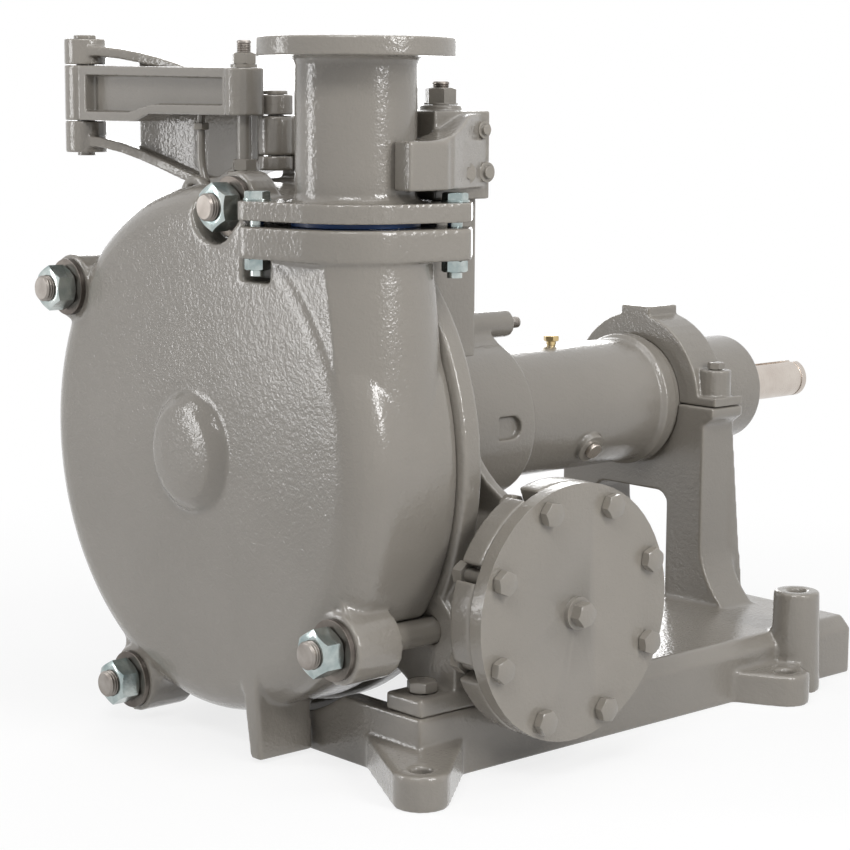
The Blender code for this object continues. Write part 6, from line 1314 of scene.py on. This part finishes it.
def make_cartridge():
    """Make the bearing housing with its plugs, bearings and shaft seals."""
    r, bore, seat = BARREL_RADIUS, BARREL_BORE, BEARING_OUTER
    small, lip = BARREL_REAR_RADIUS, r + LIP_HEIGHT
    front_seat_end = FRONT_BEARING_Y + BEARING_WIDTH + GAP
    housing = turned([
        (seat, BARREL_FRONT_Y), (r - BITE, BARREL_FRONT_Y), (r, BARREL_FRONT_Y + BITE),
        (r, LIP_Y - LIP_HEIGHT),
        (lip, LIP_Y), (lip, LIP_Y + LIP_WIDTH), (r, LIP_Y + LIP_WIDTH), (r, BARREL_STEP_Y),
        (small, BARREL_STEP_Y + BITE), (small, BARREL_REAR_Y - BITE), (small - BITE, BARREL_REAR_Y),
        (seat, BARREL_REAR_Y), (seat, REAR_BEARING_Y - GAP), (bore, REAR_BEARING_Y - GAP),
        (bore, front_seat_end), (seat, front_seat_end)])
    weld(housing, along_drain(DRAIN_SEAT_RADIUS, r - LANTERN_WALL, LANTERN_WALL + DRAIN_SEAT_HEIGHT,
                              CHAMBER_SIDES))
    plug_root = bore + OVERRUN
    cut(housing, along_drain(DRAIN_BORE + BITE / 2 + GAP, bore - OVERRUN, r),
        cylinder(BREATHER_THREAD + GAP, (0, BREATHER_Y, AXIS_Z + bore - OVERRUN), r, "z", SMALL))
    finish(housing, "bearing_housing", "paint")
    seat_top = r + DRAIN_SEAT_HEIGHT + GAP
    plug = along_drain(DRAIN_BORE + BITE / 2, plug_root, seat_top + BITE - plug_root)
    weld(plug, along_drain(DRAIN_RADIUS, seat_top, DRAIN_HEIGHT, BOSS_SIDES))
    cut(plug, along_drain(DRAIN_BORE, r, DRAIN_SEAT_HEIGHT + DRAIN_HEIGHT + OVERRUN))
    finish(plug, "drain_plug", "steel")
    # A near-black disc set down the plug's bore: painted shade for the shadow inside the hole.
    finish(along_drain(DRAIN_BORE - GAP, seat_top - BORE_SHADE_DEPTH, BORE_SHADE_DEPTH + GAP), "drain_plug",
           "socket",
           "socket")
    top, thread_low = AXIS_Z + r + GAP, AXIS_Z + plug_root
    breather = cylinder(BREATHER_THREAD, (0, BREATHER_Y, thread_low), top + BITE - thread_low, "z", SMALL)
    weld(breather, cylinder(BREATHER_CAP_RADIUS, (0, BREATHER_Y, top), BREATHER_HEIGHT, "z", SMALL),
         hexagon(BREATHER_HEX, (0, BREATHER_Y, top + BREATHER_HEIGHT - GAP), BREATHER_CAP_HEIGHT))
    finish(breather, "breather", "brass")
    race_inner = SHAFT_SEAT + GAP
    race_outer = race_inner + RACE_THICK
    ball_line = race_outer + BALL_RADIUS * RACE_DEPTH_SHARE
    for name, y in (("front", FRONT_BEARING_Y), ("rear", REAR_BEARING_Y)):
        finish(ring(ball_line + BALL_RADIUS + CLEARANCE, seat - GAP, y, BEARING_WIDTH),
               name + "_bearing_outer", "steel")
        inner = ring(race_inner, race_outer, y, BEARING_WIDTH)
        for n in range(BALLS):
            x, z = polar(SHAFT, ball_line, 2 * math.pi * n / BALLS)
            geometry = bmesh.new()
            bmesh.ops.create_uvsphere(geometry, u_segments=6, v_segments=4, radius=BALL_RADIUS,
                                      matrix=Matrix.Translation((x, y + BEARING_WIDTH / 2, z)))
            weld(inner, new_object("ball", geometry))
        finish(inner, name + "_bearing_inner", "steel")
    for name, y, radius in (("front", BARREL_FRONT_Y + BITE, SHAFT_WET_RADIUS),
                            ("rear", BARREL_REAR_Y - BITE - SEAL_WIDTH, SHAFT_SEAT)):
        finish(ring(radius + 2 * GAP, seat - GAP, y, SEAL_WIDTH), name + "_oil_seal", "iron")


def make_lantern():
    """Make the open lantern between the housing and the cartridge, and its jack screw."""
    front, rear, seam = LANTERN_FRONT_Y, LANTERN_REAR_Y, LANTERN_SEAM_Y
    big, small = LANTERN_FRONT_RADIUS, LANTERN_REAR_RADIUS
    inner, ring_front, bore = big - LANTERN_WALL, rear - LANTERN_RING, BARREL_RADIUS + GAP
    lantern = turned([
        (inner, front), (big - BITE, front), (big, front + BITE), (big, seam), (small, seam),
        (small, rear - BITE), (small - BITE, rear), (bore, rear), (bore, ring_front), (inner, ring_front)])
    tall = POCKET_HALF_HEIGHT
    pocket = [(seam, AXIS_Z - tall), *arc((seam + POCKET_LENGTH - tall, AXIS_Z), tall, -math.pi / 2,
                                          math.pi / 2, 8),
              (seam, AXIS_Z + tall)]
    for side in (-1, 1):
        ends = sorted((side * (small - POCKET_DEPTH), side * (small + OVERRUN)))
        cut(lantern, prism(pocket, *ends, "x"))
    boss_y, boss_z = JACK_BOSS_Y, AXIS_Z + JACK_BOSS_Z
    arm_front = rear - JACK_ARM_LENGTH
    weld(lantern, loft([level_ring(-wide, wide, near, rear - CLEARANCE, AXIS_Z + up)
                        for up, wide, near in JACK_FILLET]),
         box((-JACK_ARM_HALF, arm_front, AXIS_Z + bore + BITE), (JACK_ARM_HALF, rear - BITE, boss_z)),
         cylinder(JACK_BOSS_RADIUS, (0, boss_y, boss_z), JACK_BOSS_LENGTH, "y", BOSS_SIDES),
         cylinder(JACK_BOSS_RADIUS, (0, arm_front, boss_z), boss_y + BITE - arm_front, "y", BOSS_SIDES))
    cut(lantern, hole(JACK_SCREW_RADIUS + GAP, (0, arm_front, boss_z),
                      boss_y + JACK_BOSS_LENGTH - arm_front, "y"))
    finish(lantern, "bearing_lantern", "paint")
    head_y, length = arm_front - GAP, JACK_SCREW_LENGTH - ROD_THREAD
    screw = cylinder(JACK_SCREW_RADIUS - GAP, (0, head_y - BITE, boss_z), length + BITE, "y", SMALL)
    finish(threaded(JACK_SCREW_RADIUS, (0, head_y - BITE + length, boss_z), ROD_THREAD, "y"), "jack_screw",
           "bolt_steel", "thread")
    weld(screw, hexagon(JACK_HEX, (0, head_y - JACK_HEAD, boss_z), JACK_HEAD, "y"))
    finish(screw, "jack_screw", "bolt_paint")


def make_seal_end():
    """Make the expeller, its case and the shaft sleeve."""
    y, wall = EXPELLER_CASE_FRONT_Y, EXPELLER_CASE_WALL
    outer, back, flange = BACK_OPENING - GAP, CHAMBER_BACK_Y + GAP, LANTERN_FRONT_Y - GAP
    inner, neck = outer - wall, SLEEVE_RADIUS + RUNNING_GAP
    finish(turned([
        (neck, y), (outer, y), (outer, back), (SEAL_FLANGE_RADIUS, back), (SEAL_FLANGE_RADIUS, flange),
        (neck, flange), (neck, flange - wall), (inner, flange - wall), (inner, y + wall),
        (neck, y + wall)]),
        "expeller_case", "iron")
    y, hub, bore = EXPELLER_FRONT_Y, SLEEVE_RADIUS, SHAFT_WET_RADIUS + GAP
    web, total = y + EXPELLER_WEB, EXPELLER_WEB + EXPELLER_VANE
    expeller = turned([(bore, y), (EXPELLER_RADIUS, y), (EXPELLER_RADIUS, web), (hub, web),
                       (hub, y + total),
                       (bore, y + total)], sides=ROUND)
    for n in range(EXPELLER_VANES):
        vane = box((hub - BITE, web - BITE, -EXPELLER_VANE_THICK / 2),
                   (EXPELLER_RADIUS - BITE, y + total, EXPELLER_VANE_THICK / 2))
        turn = Matrix.Rotation(2 * math.pi * n / EXPELLER_VANES, 4, "Y")
        vane.data.transform(Matrix.Translation((0, 0, AXIS_Z)) @ turn)
        weld(expeller, vane)
    finish(expeller, "expeller", "iron")
    sleeve = turned([(bore, SLEEVE_FRONT_Y), (hub, SLEEVE_FRONT_Y), (hub, y - GAP), (bore, y - GAP)],
                    sides=ROUND)
    finish(sleeve, "shaft_sleeve", "steel")


def vane_outline(start_angle):
    """Return one swept impeller vane in the plane of the disc."""
    outer_side, inner_side = [], []
    root = IMPELLER_HUB * VANE_ROOT_SHARE
    for n in range(VANE_STEPS + 1):
        share = n / VANE_STEPS
        radius = root + (IMPELLER_RADIUS - root) * share
        angle = start_angle - VANE_SWEEP * share
        half = VANE_THICK / 2 / radius
        outer_side.append(polar(SHAFT, radius, angle + half))
        inner_side.append(polar(SHAFT, radius, angle - half))
    return outer_side + inner_side[::-1]


def make_rotor():
    """Make the shaft and the impeller screwed on its end."""
    front, rear = IMPELLER_FRONT_Y, IMPELLER_REAR_Y
    wet, seat, middle, end = SHAFT_WET_RADIUS, SHAFT_SEAT, SHAFT_MIDDLE, SHAFT_RADIUS
    start, stop = FRONT_BEARING_Y + BEARING_WIDTH + GAP, REAR_BEARING_Y - GAP
    groove, groove_back = end - RING_GROOVE_DEPTH, RING_GROOVE_Y + RING_GROOVE_WIDTH
    shaft = turned([
        (0, SHAFT_NOSE_Y), (SHAFT_NOSE, SHAFT_NOSE_Y), (SHAFT_NOSE, rear), (wet, rear + BITE),
        (wet, FRONT_BEARING_Y - BITE), (seat, FRONT_BEARING_Y - BITE), (seat, start), (middle, start),
        (middle, stop), (seat, stop), (seat, BARREL_REAR_Y), (end, BARREL_REAR_Y + BITE),
        (end, RING_GROOVE_Y),
        (groove, RING_GROOVE_Y), (groove, groove_back), (end, groove_back), (end, SHAFT_END_Y - BITE),
        (end - BITE, SHAFT_END_Y), (0, SHAFT_END_Y)], sides=ROUND)
    cut(shaft, box((-KEYWAY_WIDTH / 2, KEYWAY_FRONT_Y, AXIS_Z + end - KEYWAY_DEPTH),
                   (KEYWAY_WIDTH / 2, SHAFT_END_Y + OVERRUN, AXIS_Z + end + OVERRUN)))
    finish(shaft, "shaft", "steel")
    face, hub, disc = front - IMPELLER_CAP, IMPELLER_HUB, front + IMPELLER_DISC
    nose, nose_y = SHAFT_NOSE + GAP, SHAFT_NOSE_Y - GAP
    impeller = turned([
        (0, face), (hub * HUB_FACE_SHARE, face), (hub, front), (IMPELLER_RADIUS, front),
        (IMPELLER_RADIUS, disc),
        (hub, disc), (hub, rear - BITE), (nose, rear - BITE), (nose, nose_y), (0, nose_y)])
    for n in range(IMPELLER_VANES):
        weld(impeller, prism(vane_outline(2 * math.pi * n / IMPELLER_VANES), disc - BITE, rear - BITE, "y"))
    low = rear - IMPELLER_RING
    weld(impeller, turned([(IMPELLER_EYE, low), (IMPELLER_RADIUS, low), (IMPELLER_RADIUS, rear),
                           (IMPELLER_EYE, rear)]))
    finish(impeller, "impeller", "iron")


def ribbon(start, end, bow, first, last, width, low, high, steps=12):
    """Make a bar along a bowed line from start to end; low, high and width may follow the share."""
    along = end - start
    across = Vector((-along.y, along.x, 0)).normalized()
    sections = []
    for n in range(steps + 1):
        share = first + (last - first) * n / steps
        wide = width(share) if callable(width) else width
        side = across * bow * math.sin(math.pi * share)
        slope = across * bow * math.pi * math.cos(math.pi * share) + along
        normal = Vector((-slope.y, slope.x, 0)).normalized() * wide / 2
        middle = start + along * share + side
        a, b = middle - normal, middle + normal
        sections.append([(a.x, a.y, low(share)), (b.x, b.y, low(share)), (b.x, b.y, high(share)),
                         (a.x, a.y, high(share))])
    return loft(sections)


def upper_top(share):
    """Return the height of the rear link's top along it."""
    return ROOT_EYE_HIGH + (UPPER_TOP - ROOT_EYE_HIGH) * (share * share * (3 - 2 * share))


def lower_bottom(share):
    """Return the height of the rear link's underside along it, which first follows the back plate."""
    reach = PLATE_RADIUS + ROOT_EYE_LOW - DAVIT_Z
    dip = AXIS_Z + math.sqrt(reach ** 2 - (LINK * min(share, DIP_SHARE)) ** 2)
    rise = max(0, share - DIP_SHARE) / (1 - DIP_SHARE)
    return dip + (LOWER_BOTTOM - dip) * (rise * rise * (3 - 2 * rise))


def front_low(share):
    """Return the height of the front link's underside along it."""
    blend = min(1, max(0, (share - FRONT_STEP / LINK) / FRONT_STEP_SHARE))
    return FRONT_LOW + (FRONT_END_LOW - FRONT_LOW) * blend


def front_high(share):
    """Return the height of the front link's top along it."""
    return FRONT_HIGH + (FRONT_END_HIGH - FRONT_HIGH) * share


def upright(radius, place, low, high, sides=SMALL, over=False):
    """Make a vertical cylinder at a plan place, as a cutter if it runs over both ends."""
    return (hole if over else cylinder)(radius, (place.x, place.y, low), high - low, "z", sides)


def make_davit():
    """Make the two links, their pins, the hanging bolt and the hook bolt."""
    make_rear_link()
    make_front_link()
    pin = cylinder(ELBOW_PIN_RADIUS, (ELBOW.x, ELBOW.y, ELBOW_LOW - PIN_HEAD_HEIGHT),
                   ELBOW_HIGH + GAP - ELBOW_LOW + PIN_HEAD_HEIGHT + BITE, "z", SMALL)
    weld(pin, cylinder(PIN_HEAD_RADIUS, (ELBOW.x, ELBOW.y, ELBOW_HIGH + GAP), PIN_HEAD_HEIGHT, "z",
                       PIN_SIDES))
    finish(pin, "davit_elbow_pin", "bolt_paint")
    root = ROOT_PIN
    pin = cylinder(ROOT_PIN_RADIUS, (root.x, root.y, ROOT_EYE_LOW),
                   ROOT_EYE_HIGH + GAP - ROOT_EYE_LOW + BITE,
                   "z", SMALL)
    weld(pin, cylinder(PIN_HEAD_RADIUS, (root.x, root.y, ROOT_EYE_HIGH + GAP), PIN_HEAD_HEIGHT, "z",
                       PIN_SIDES))
    finish(pin, "davit_root_pin", "bolt_paint")
    thread_z = HANG_ROD_TOP - ROD_THREAD
    rod = upright(HANG_ROD_RADIUS, HANG, HANG_LUG_TOP - HANG_LUG_DEPTH, thread_z)
    finish(threaded(HANG_ROD_RADIUS, (HANG.x, HANG.y, thread_z), ROD_THREAD), "case_hanging_bolt",
           "bolt_steel", "thread")
    z = FRONT_END_HIGH + GAP
    weld(rod, cylinder(HANG_WASHER_RADIUS, (HANG.x, HANG.y, z), HANG_WASHER_THICK, "z", PIN_SIDES),
         hexagon(HANG_NUT_HEX, (HANG.x, HANG.y, z + HANG_WASHER_THICK - GAP), HANG_NUT_THICK),
         hexagon(HANG_NUT_HEX, (HANG.x, HANG.y, HANG_LUG_TOP + GAP), HANG_NUT_THICK))
    finish(rod, "case_hanging_bolt", "bolt_paint")
    make_hook()


def make_rear_link():
    """Make the arched I-section link between the housing and the elbow."""
    root, elbow, bow = ROOT_PIN, ELBOW, -REAR_BOW
    elbow_top, elbow_bottom = FRONT_HIGH + CLEARANCE, FRONT_LOW - CLEARANCE
    root_top, root_bottom = KNUCKLE_HIGH + CLEARANCE, KNUCKLE_LOW - CLEARANCE

    def wide(share):
        return REAR_ROOT_WIDTH + (REAR_WIDTH - REAR_ROOT_WIDTH) * min(1, share / REAR_WIDEN_SHARE)

    link = cylinder(KNUCKLE_RADIUS, (root.x, root.y, root_top - BITE), ROOT_EYE_HIGH - root_top + BITE, "z",
                    PIN_SIDES)
    weld(link, ribbon(root, elbow, bow, 0, 1, wide, lambda share: upper_top(share) - FLANGE_THIN,
                      upper_top),
         ribbon(root, elbow, bow, WEB_FIRST_SHARE, WEB_LAST_SHARE, WEB_THICK,
                lambda share: lower_bottom(share) + BITE, lambda share: upper_top(share) - BITE, 8),
         ribbon(root, elbow, bow, 0, 1, wide, lower_bottom,
                lambda share: lower_bottom(share) + FLANGE_THIN),
         cylinder(KNUCKLE_RADIUS, (root.x, root.y, ROOT_EYE_LOW), root_bottom + BITE - ROOT_EYE_LOW, "z",
                  PIN_SIDES),
         upright(ELBOW_RADIUS, elbow, elbow_top, ELBOW_HIGH, EAR_SIDES),
         upright(ELBOW_RADIUS, elbow, ELBOW_LOW, elbow_bottom, EAR_SIDES))
    cut(link, upright(ROOT_PIN_RADIUS + CLEARANCE, root, ROOT_EYE_LOW, ROOT_EYE_HIGH, over=True),
        upright(ELBOW_PIN_RADIUS + GAP, elbow, ELBOW_LOW, ELBOW_HIGH, over=True),
        upright(KNUCKLE_RADIUS + 2 * CLEARANCE, root, root_bottom, root_top, EAR_SIDES),
        cylinder(PIN_HEAD_RADIUS + CLEARANCE, (root.x, root.y, ROOT_EYE_HIGH - GAP), OVERRUN, "z",
                 EAR_SIDES))
    finish(link, "davit_rear_link", "paint")


def make_front_link():
    """Make the link with a pocket on each side that the case hangs on."""
    elbow, hang = ELBOW, HANG
    link = upright(ELBOW_RADIUS, elbow, FRONT_LOW, FRONT_HIGH, EAR_SIDES)
    bar = ribbon(elbow, hang, 0, 0, 1, FRONT_WIDTH, front_low, front_high)
    for side in (-1, 1):
        offset = ACROSS * side * FRONT_WIDTH / 2
        cut(bar, ribbon(elbow + offset, hang + offset, 0, POCKET_START_SHARE, POCKET_END_SHARE,
                        2 * FRONT_POCKET,
                        lambda share: front_low(share) + FRONT_RIM,
                        lambda share: front_high(share) - FRONT_RIM))
    weld(link, bar, upright(FRONT_EYE_RADIUS, hang, FRONT_END_LOW, FRONT_END_HIGH, EAR_SIDES))
    cut(link, upright(ELBOW_PIN_RADIUS + CLEARANCE, elbow, FRONT_LOW, FRONT_HIGH, over=True),
        upright(HANG_ROD_RADIUS + CLEARANCE, hang, FRONT_END_LOW, FRONT_END_HIGH, over=True),
        cylinder(HOOK_RADIUS + GAP, (HOOK.x, HOOK.y, FRONT_END_LOW - OVERRUN), FRONT_RIM + OVERRUN, "z",
                 SMALL))
    finish(link, "davit_front_link", "paint")


def make_hook():
    """Make the curved hook bolt under the front link."""
    path = [Vector((HOOK.x, HOOK.y, FRONT_END_LOW + FRONT_RIM - CLEARANCE))]
    for u, v in arc((HOOK_CURVE, HOOK_CURVE_Z), HOOK_CURVE, math.pi, math.pi + HOOK_SWEEP, 12):
        path.append(Vector((HOOK.x, HOOK.y, v)) + (HANG - ELBOW).normalized() * u)
    rings = []
    for before, point, after in zip(path[:1] + path, path, path[1:] + path[-1:]):
        side = (after - before).normalized().cross(ACROSS).normalized()
        rings.append([])
        for m in range(SMALL):
            angle = 2 * math.pi * m / SMALL
            rings[-1].append(point + HOOK_RADIUS * (math.cos(angle) * ACROSS + math.sin(angle) * side))
    hook = weld(loft(rings), hexagon(HOOK_NUT_HEX, (HOOK.x, HOOK.y, HOOK_NUT_Z), HOOK_NUT_THICK))
    finish(hook, "hook_bolt", "bolt_paint")


HOOK = HANG + (ELBOW - HANG).normalized() * HOOK_OFFSET
ACROSS = Vector((-(HANG - ELBOW).y, (HANG - ELBOW).x, 0)).normalized()


def make_yoke():
    """Make the post behind the neck, the yoke on it and its fasteners."""
    foot_y, back = PLATE_BACK_Y + GAP, POST_Y + POST_HALF_DEPTH
    left, right = NECK_X - POST_HALF_WIDTH, NECK_X + POST_HALF_WIDTH
    post = box((left, POST_Y - POST_HALF_DEPTH, POST_FOOT_Z), (right, back, YOKE_LOW - GAP))
    weld(post, box((left, foot_y, POST_FOOT_Z), (right, back, POST_STEP_Z)))
    cut(post, blind(YOKE_STUD_RADIUS, (NECK_X, POST_Y, YOKE_LOW), YOKE_STUD_DEPTH),
        hole(POST_BOLT_RADIUS + CLEARANCE, (NECK_X, foot_y, POST_BOLT_Z), back - foot_y, "y"))
    finish(post, "yoke_post", "paint")
    finish(bolt(POST_BOLT_RADIUS, (NECK_X, PLATE_BACK_Y - POST_BOLT_DEPTH, POST_BOLT_Z), back + GAP,
                POST_BOLT_HEX, POST_BOLT_HEAD, "y"), "post_bolt", "bolt_paint")
    outer, half, tall = ARM_INNER + ARM_THICK, YOKE_HALF_WIDTH, YOKE_HIGH - YOKE_LOW
    yoke = box((NECK_X - half, YOKE_FRONT_Y, YOKE_LOW), (NECK_X + half, YOKE_BACK_Y, YOKE_HIGH))
    u_shape = [(NECK_X - outer, ARM_FRONT_Y), (NECK_X - ARM_INNER, ARM_FRONT_Y),
               *arc((NECK_X, NECK_Y), ARM_INNER, math.pi, 0, 14),
               (NECK_X + ARM_INNER, ARM_FRONT_Y), (NECK_X + outer, ARM_FRONT_Y),
               (NECK_X + outer, NECK_Y + outer / 2), (NECK_X + half, YOKE_BACK_Y - OVERRUN),
               (NECK_X - half, YOKE_BACK_Y - OVERRUN), (NECK_X - outer, NECK_Y + outer / 2)]
    weld(yoke, prism(u_shape, ARM_LOW, ARM_HIGH))
    for side in (-1, 1):
        rings = []
        for n in range(WEB_STEPS + 1):
            share = n / WEB_STEPS
            y = WEB_FRONT_Y + (WEB_BACK_Y - WEB_FRONT_Y) * share
            top = ARM_HIGH + (YOKE_HIGH - BITE - ARM_HIGH) * min(1, share / WEB_RISE_SHARE) ** 2
            wide = outer - BITE - (outer - half) * max(0, share - WEB_WIDE_SHARE) / (1 - WEB_WIDE_SHARE)
            near, far = NECK_X + side * WEB_INNER_SHARE * wide, NECK_X + side * wide
            rings.append([(near, y, ARM_LOW + BITE), (far, y, ARM_LOW + BITE), (far, y, top),
                          (near, y, top)])
        weld(yoke, loft(rings))
    below = (NECK_X, NECK_Y, YOKE_LOW - OVERRUN)
    cut(yoke, hole(ARM_INNER, (NECK_X, NECK_Y, YOKE_LOW), tall, sides=FINE),
        cylinder(SPOOL_RADIUS + SPOOL_FILLET + CLEARANCE, below, OVERRUN + SPOOL_FILLET + BITE, "z", FINE),
        hole(YOKE_STUD_RADIUS + CLEARANCE, (NECK_X, POST_Y, YOKE_LOW), tall))
    weld(yoke, cylinder(YOKE_BOSS_RADIUS, (NECK_X, POST_Y, YOKE_HIGH - BITE), YOKE_BOSS_HEIGHT + BITE,
                        "z", MEDIUM))
    for number, (y, z, wide, start) in enumerate(YOKE_PINS, 1):
        pin = cylinder(wide, (start, y, z), YOKE_PIN_REACH, "x", MEDIUM)
        weld(pin, cylinder(wide * YOKE_PIN_SHARE, (start, y, z), YOKE_PIN_REACH + YOKE_PIN_HEAD, "x",
                           MEDIUM))
        finish(pin, "spool_yoke", "bolt_paint", "pin_" + str(number))
    finish(yoke, "spool_yoke", "paint")
    stud_low, thread_z = YOKE_LOW - YOKE_STUD_DEPTH, YOKE_STUD_TOP - ROD_THREAD
    nut_z = YOKE_HIGH + YOKE_BOSS_HEIGHT + GAP
    stud = cylinder(YOKE_STUD_RADIUS, (NECK_X, POST_Y, stud_low), thread_z - stud_low, "z", SMALL)
    finish(threaded(YOKE_STUD_RADIUS, (NECK_X, POST_Y, thread_z), ROD_THREAD), "yoke_stud", "bolt_steel",
           "thread")
    weld(stud, hexagon(YOKE_NUT_HEX, (NECK_X, POST_Y, nut_z), YOKE_NUT_THICK),
         cylinder(YOKE_NUT_HEX * HEAD_FLANGE_SHARE, (NECK_X, POST_Y, nut_z), HEAD_FLANGE_THICK, "z",
                  MEDIUM))
    finish(stud, "yoke_stud", "bolt_paint")


def make_camera():
    """Put the camera where the photograph was taken."""
    sin, cos = math.sin, math.cos
    azimuth, pitch, roll = CAMERA_AZIMUTH, CAMERA_PITCH, CAMERA_ROLL
    back = Vector((sin(azimuth) * cos(pitch), -cos(azimuth) * cos(pitch), sin(pitch)))
    level = Vector((cos(azimuth), sin(azimuth), 0))
    up = back.cross(level)
    right = cos(roll) * level + sin(roll) * up
    top = cos(roll) * up - sin(roll) * level
    data = bpy.data.cameras.new("camera")
    data.lens = CAMERA_LENS
    data.sensor_width = 36
    data.clip_end = 50
    camera = bpy.data.objects.new("camera", data)
    bpy.context.scene.collection.objects.link(camera)
    place = level * CAMERA_SHIFT_RIGHT + Vector((0, 0, CAMERA_HEIGHT)) + back * CAMERA_DISTANCE
    turn = Matrix((right, top, back)).transposed().to_4x4()
    camera.matrix_world = Matrix.Translation(place) @ turn
    bpy.context.scene.camera = camera
    return level, Vector((0, 0, 1)), back


def area_light(name, place, width, height, power):
    """Add a soft rectangular lamp that faces the pump."""
    data = bpy.data.lights.new(name, "AREA")
    data.shape = "RECTANGLE"
    data.size = width
    data.size_y = height
    data.energy = power
    lamp = bpy.data.objects.new(name, data)
    bpy.context.scene.collection.objects.link(lamp)
    lamp.location = place
    lamp.rotation_euler = (MIDDLE - place).to_track_quat("-Z", "Y").to_euler()


def white_to_camera(tree, surface, plain, bright):
    """Show white to camera, glossy and clear rays, and the plain surface to the others."""
    path = tree.nodes.new("ShaderNodeLightPath")
    seen = path.outputs["Is Camera Ray"]
    for kind in ("Is Glossy Ray", "Is Transmission Ray"):
        larger = tree.nodes.new("ShaderNodeMath")
        larger.operation = "MAXIMUM"
        tree.links.new(seen, larger.inputs[0])
        tree.links.new(path.outputs[kind], larger.inputs[1])
        seen = larger.outputs[0]
    mix = tree.nodes.new("ShaderNodeMixShader")
    tree.links.new(seen, mix.inputs[0])
    tree.links.new(plain, mix.inputs[1])
    tree.links.new(bright, mix.inputs[2])
    tree.links.new(mix.outputs[0], surface)


def make_studio(level, up, back):
    """Add the floor, the lamps and the pale surroundings."""
    geometry = bmesh.new()
    bmesh.ops.create_grid(geometry, x_segments=1, y_segments=1, size=FLOOR_HALF_SIZE)
    floor = new_object("floor", geometry)
    material = bpy.data.materials.new("pale_floor")
    material.use_nodes = True
    tree = material.node_tree
    output = tree.nodes["Material Output"]
    tree.nodes.remove(tree.nodes["Principled BSDF"])
    diffuse = tree.nodes.new("ShaderNodeBsdfDiffuse")
    diffuse.inputs["Color"].default_value = FLOOR_COLOUR
    glow = tree.nodes.new("ShaderNodeEmission")
    glow.inputs["Strength"].default_value = 1.0
    half = tree.nodes.new("ShaderNodeMixShader")
    place = tree.nodes.new("ShaderNodeTexCoord")
    reach = tree.nodes.new("ShaderNodeVectorMath")
    reach.operation = "LENGTH"
    far = tree.nodes.new("ShaderNodeMapRange")
    far.inputs["From Min"].default_value = FLOOR_NEAR
    far.inputs["From Max"].default_value = FLOOR_FAR
    far.inputs["To Min"].default_value = FLOOR_GLOW_SHARE
    tree.links.new(place.outputs["Object"], reach.inputs[0])
    tree.links.new(reach.outputs["Value"], far.inputs["Value"])
    tree.links.new(far.outputs["Result"], half.inputs[0])
    tree.links.new(diffuse.outputs[0], half.inputs[1])
    tree.links.new(glow.outputs[0], half.inputs[2])
    white_to_camera(tree, output.inputs["Surface"], diffuse.outputs[0], half.outputs[0])
    floor.data.materials.append(material)
    world = bpy.data.worlds.new("studio")
    bpy.context.scene.world = world
    world.use_nodes = True
    tree = world.node_tree
    plain = tree.nodes["Background"]
    plain.inputs["Color"].default_value = SKY_COLOUR
    plain.inputs["Strength"].default_value = SKY_STRENGTH
    bright = tree.nodes.new("ShaderNodeBackground")
    bright.inputs["Color"].default_value = (1, 1, 1, 1)
    bright.inputs["Strength"].default_value = 1.0
    white_to_camera(tree, tree.nodes["World Output"].inputs["Surface"], plain.outputs[0], bright.outputs[0])
    for name, right, near, high, width, height, power in LAMPS:
        area_light(name, MIDDLE + level * right + back * near + up * high, width, height, power)


def main():
    """Dress the pump and light it."""
    level, up, back = make_camera()
    make_base()
    make_intake_housing()
    make_liner()
    make_cover()
    make_hold_bolts()
    make_cap()
    make_cartridge()
    make_lantern()
    make_seal_end()
    make_rotor()
    make_davit()
    make_yoke()
    make_case()
    make_case_fasteners()
    make_spool()
    make_studio(level, up, back)
    bpy.context.scene.view_settings.view_transform = "Standard"


main()
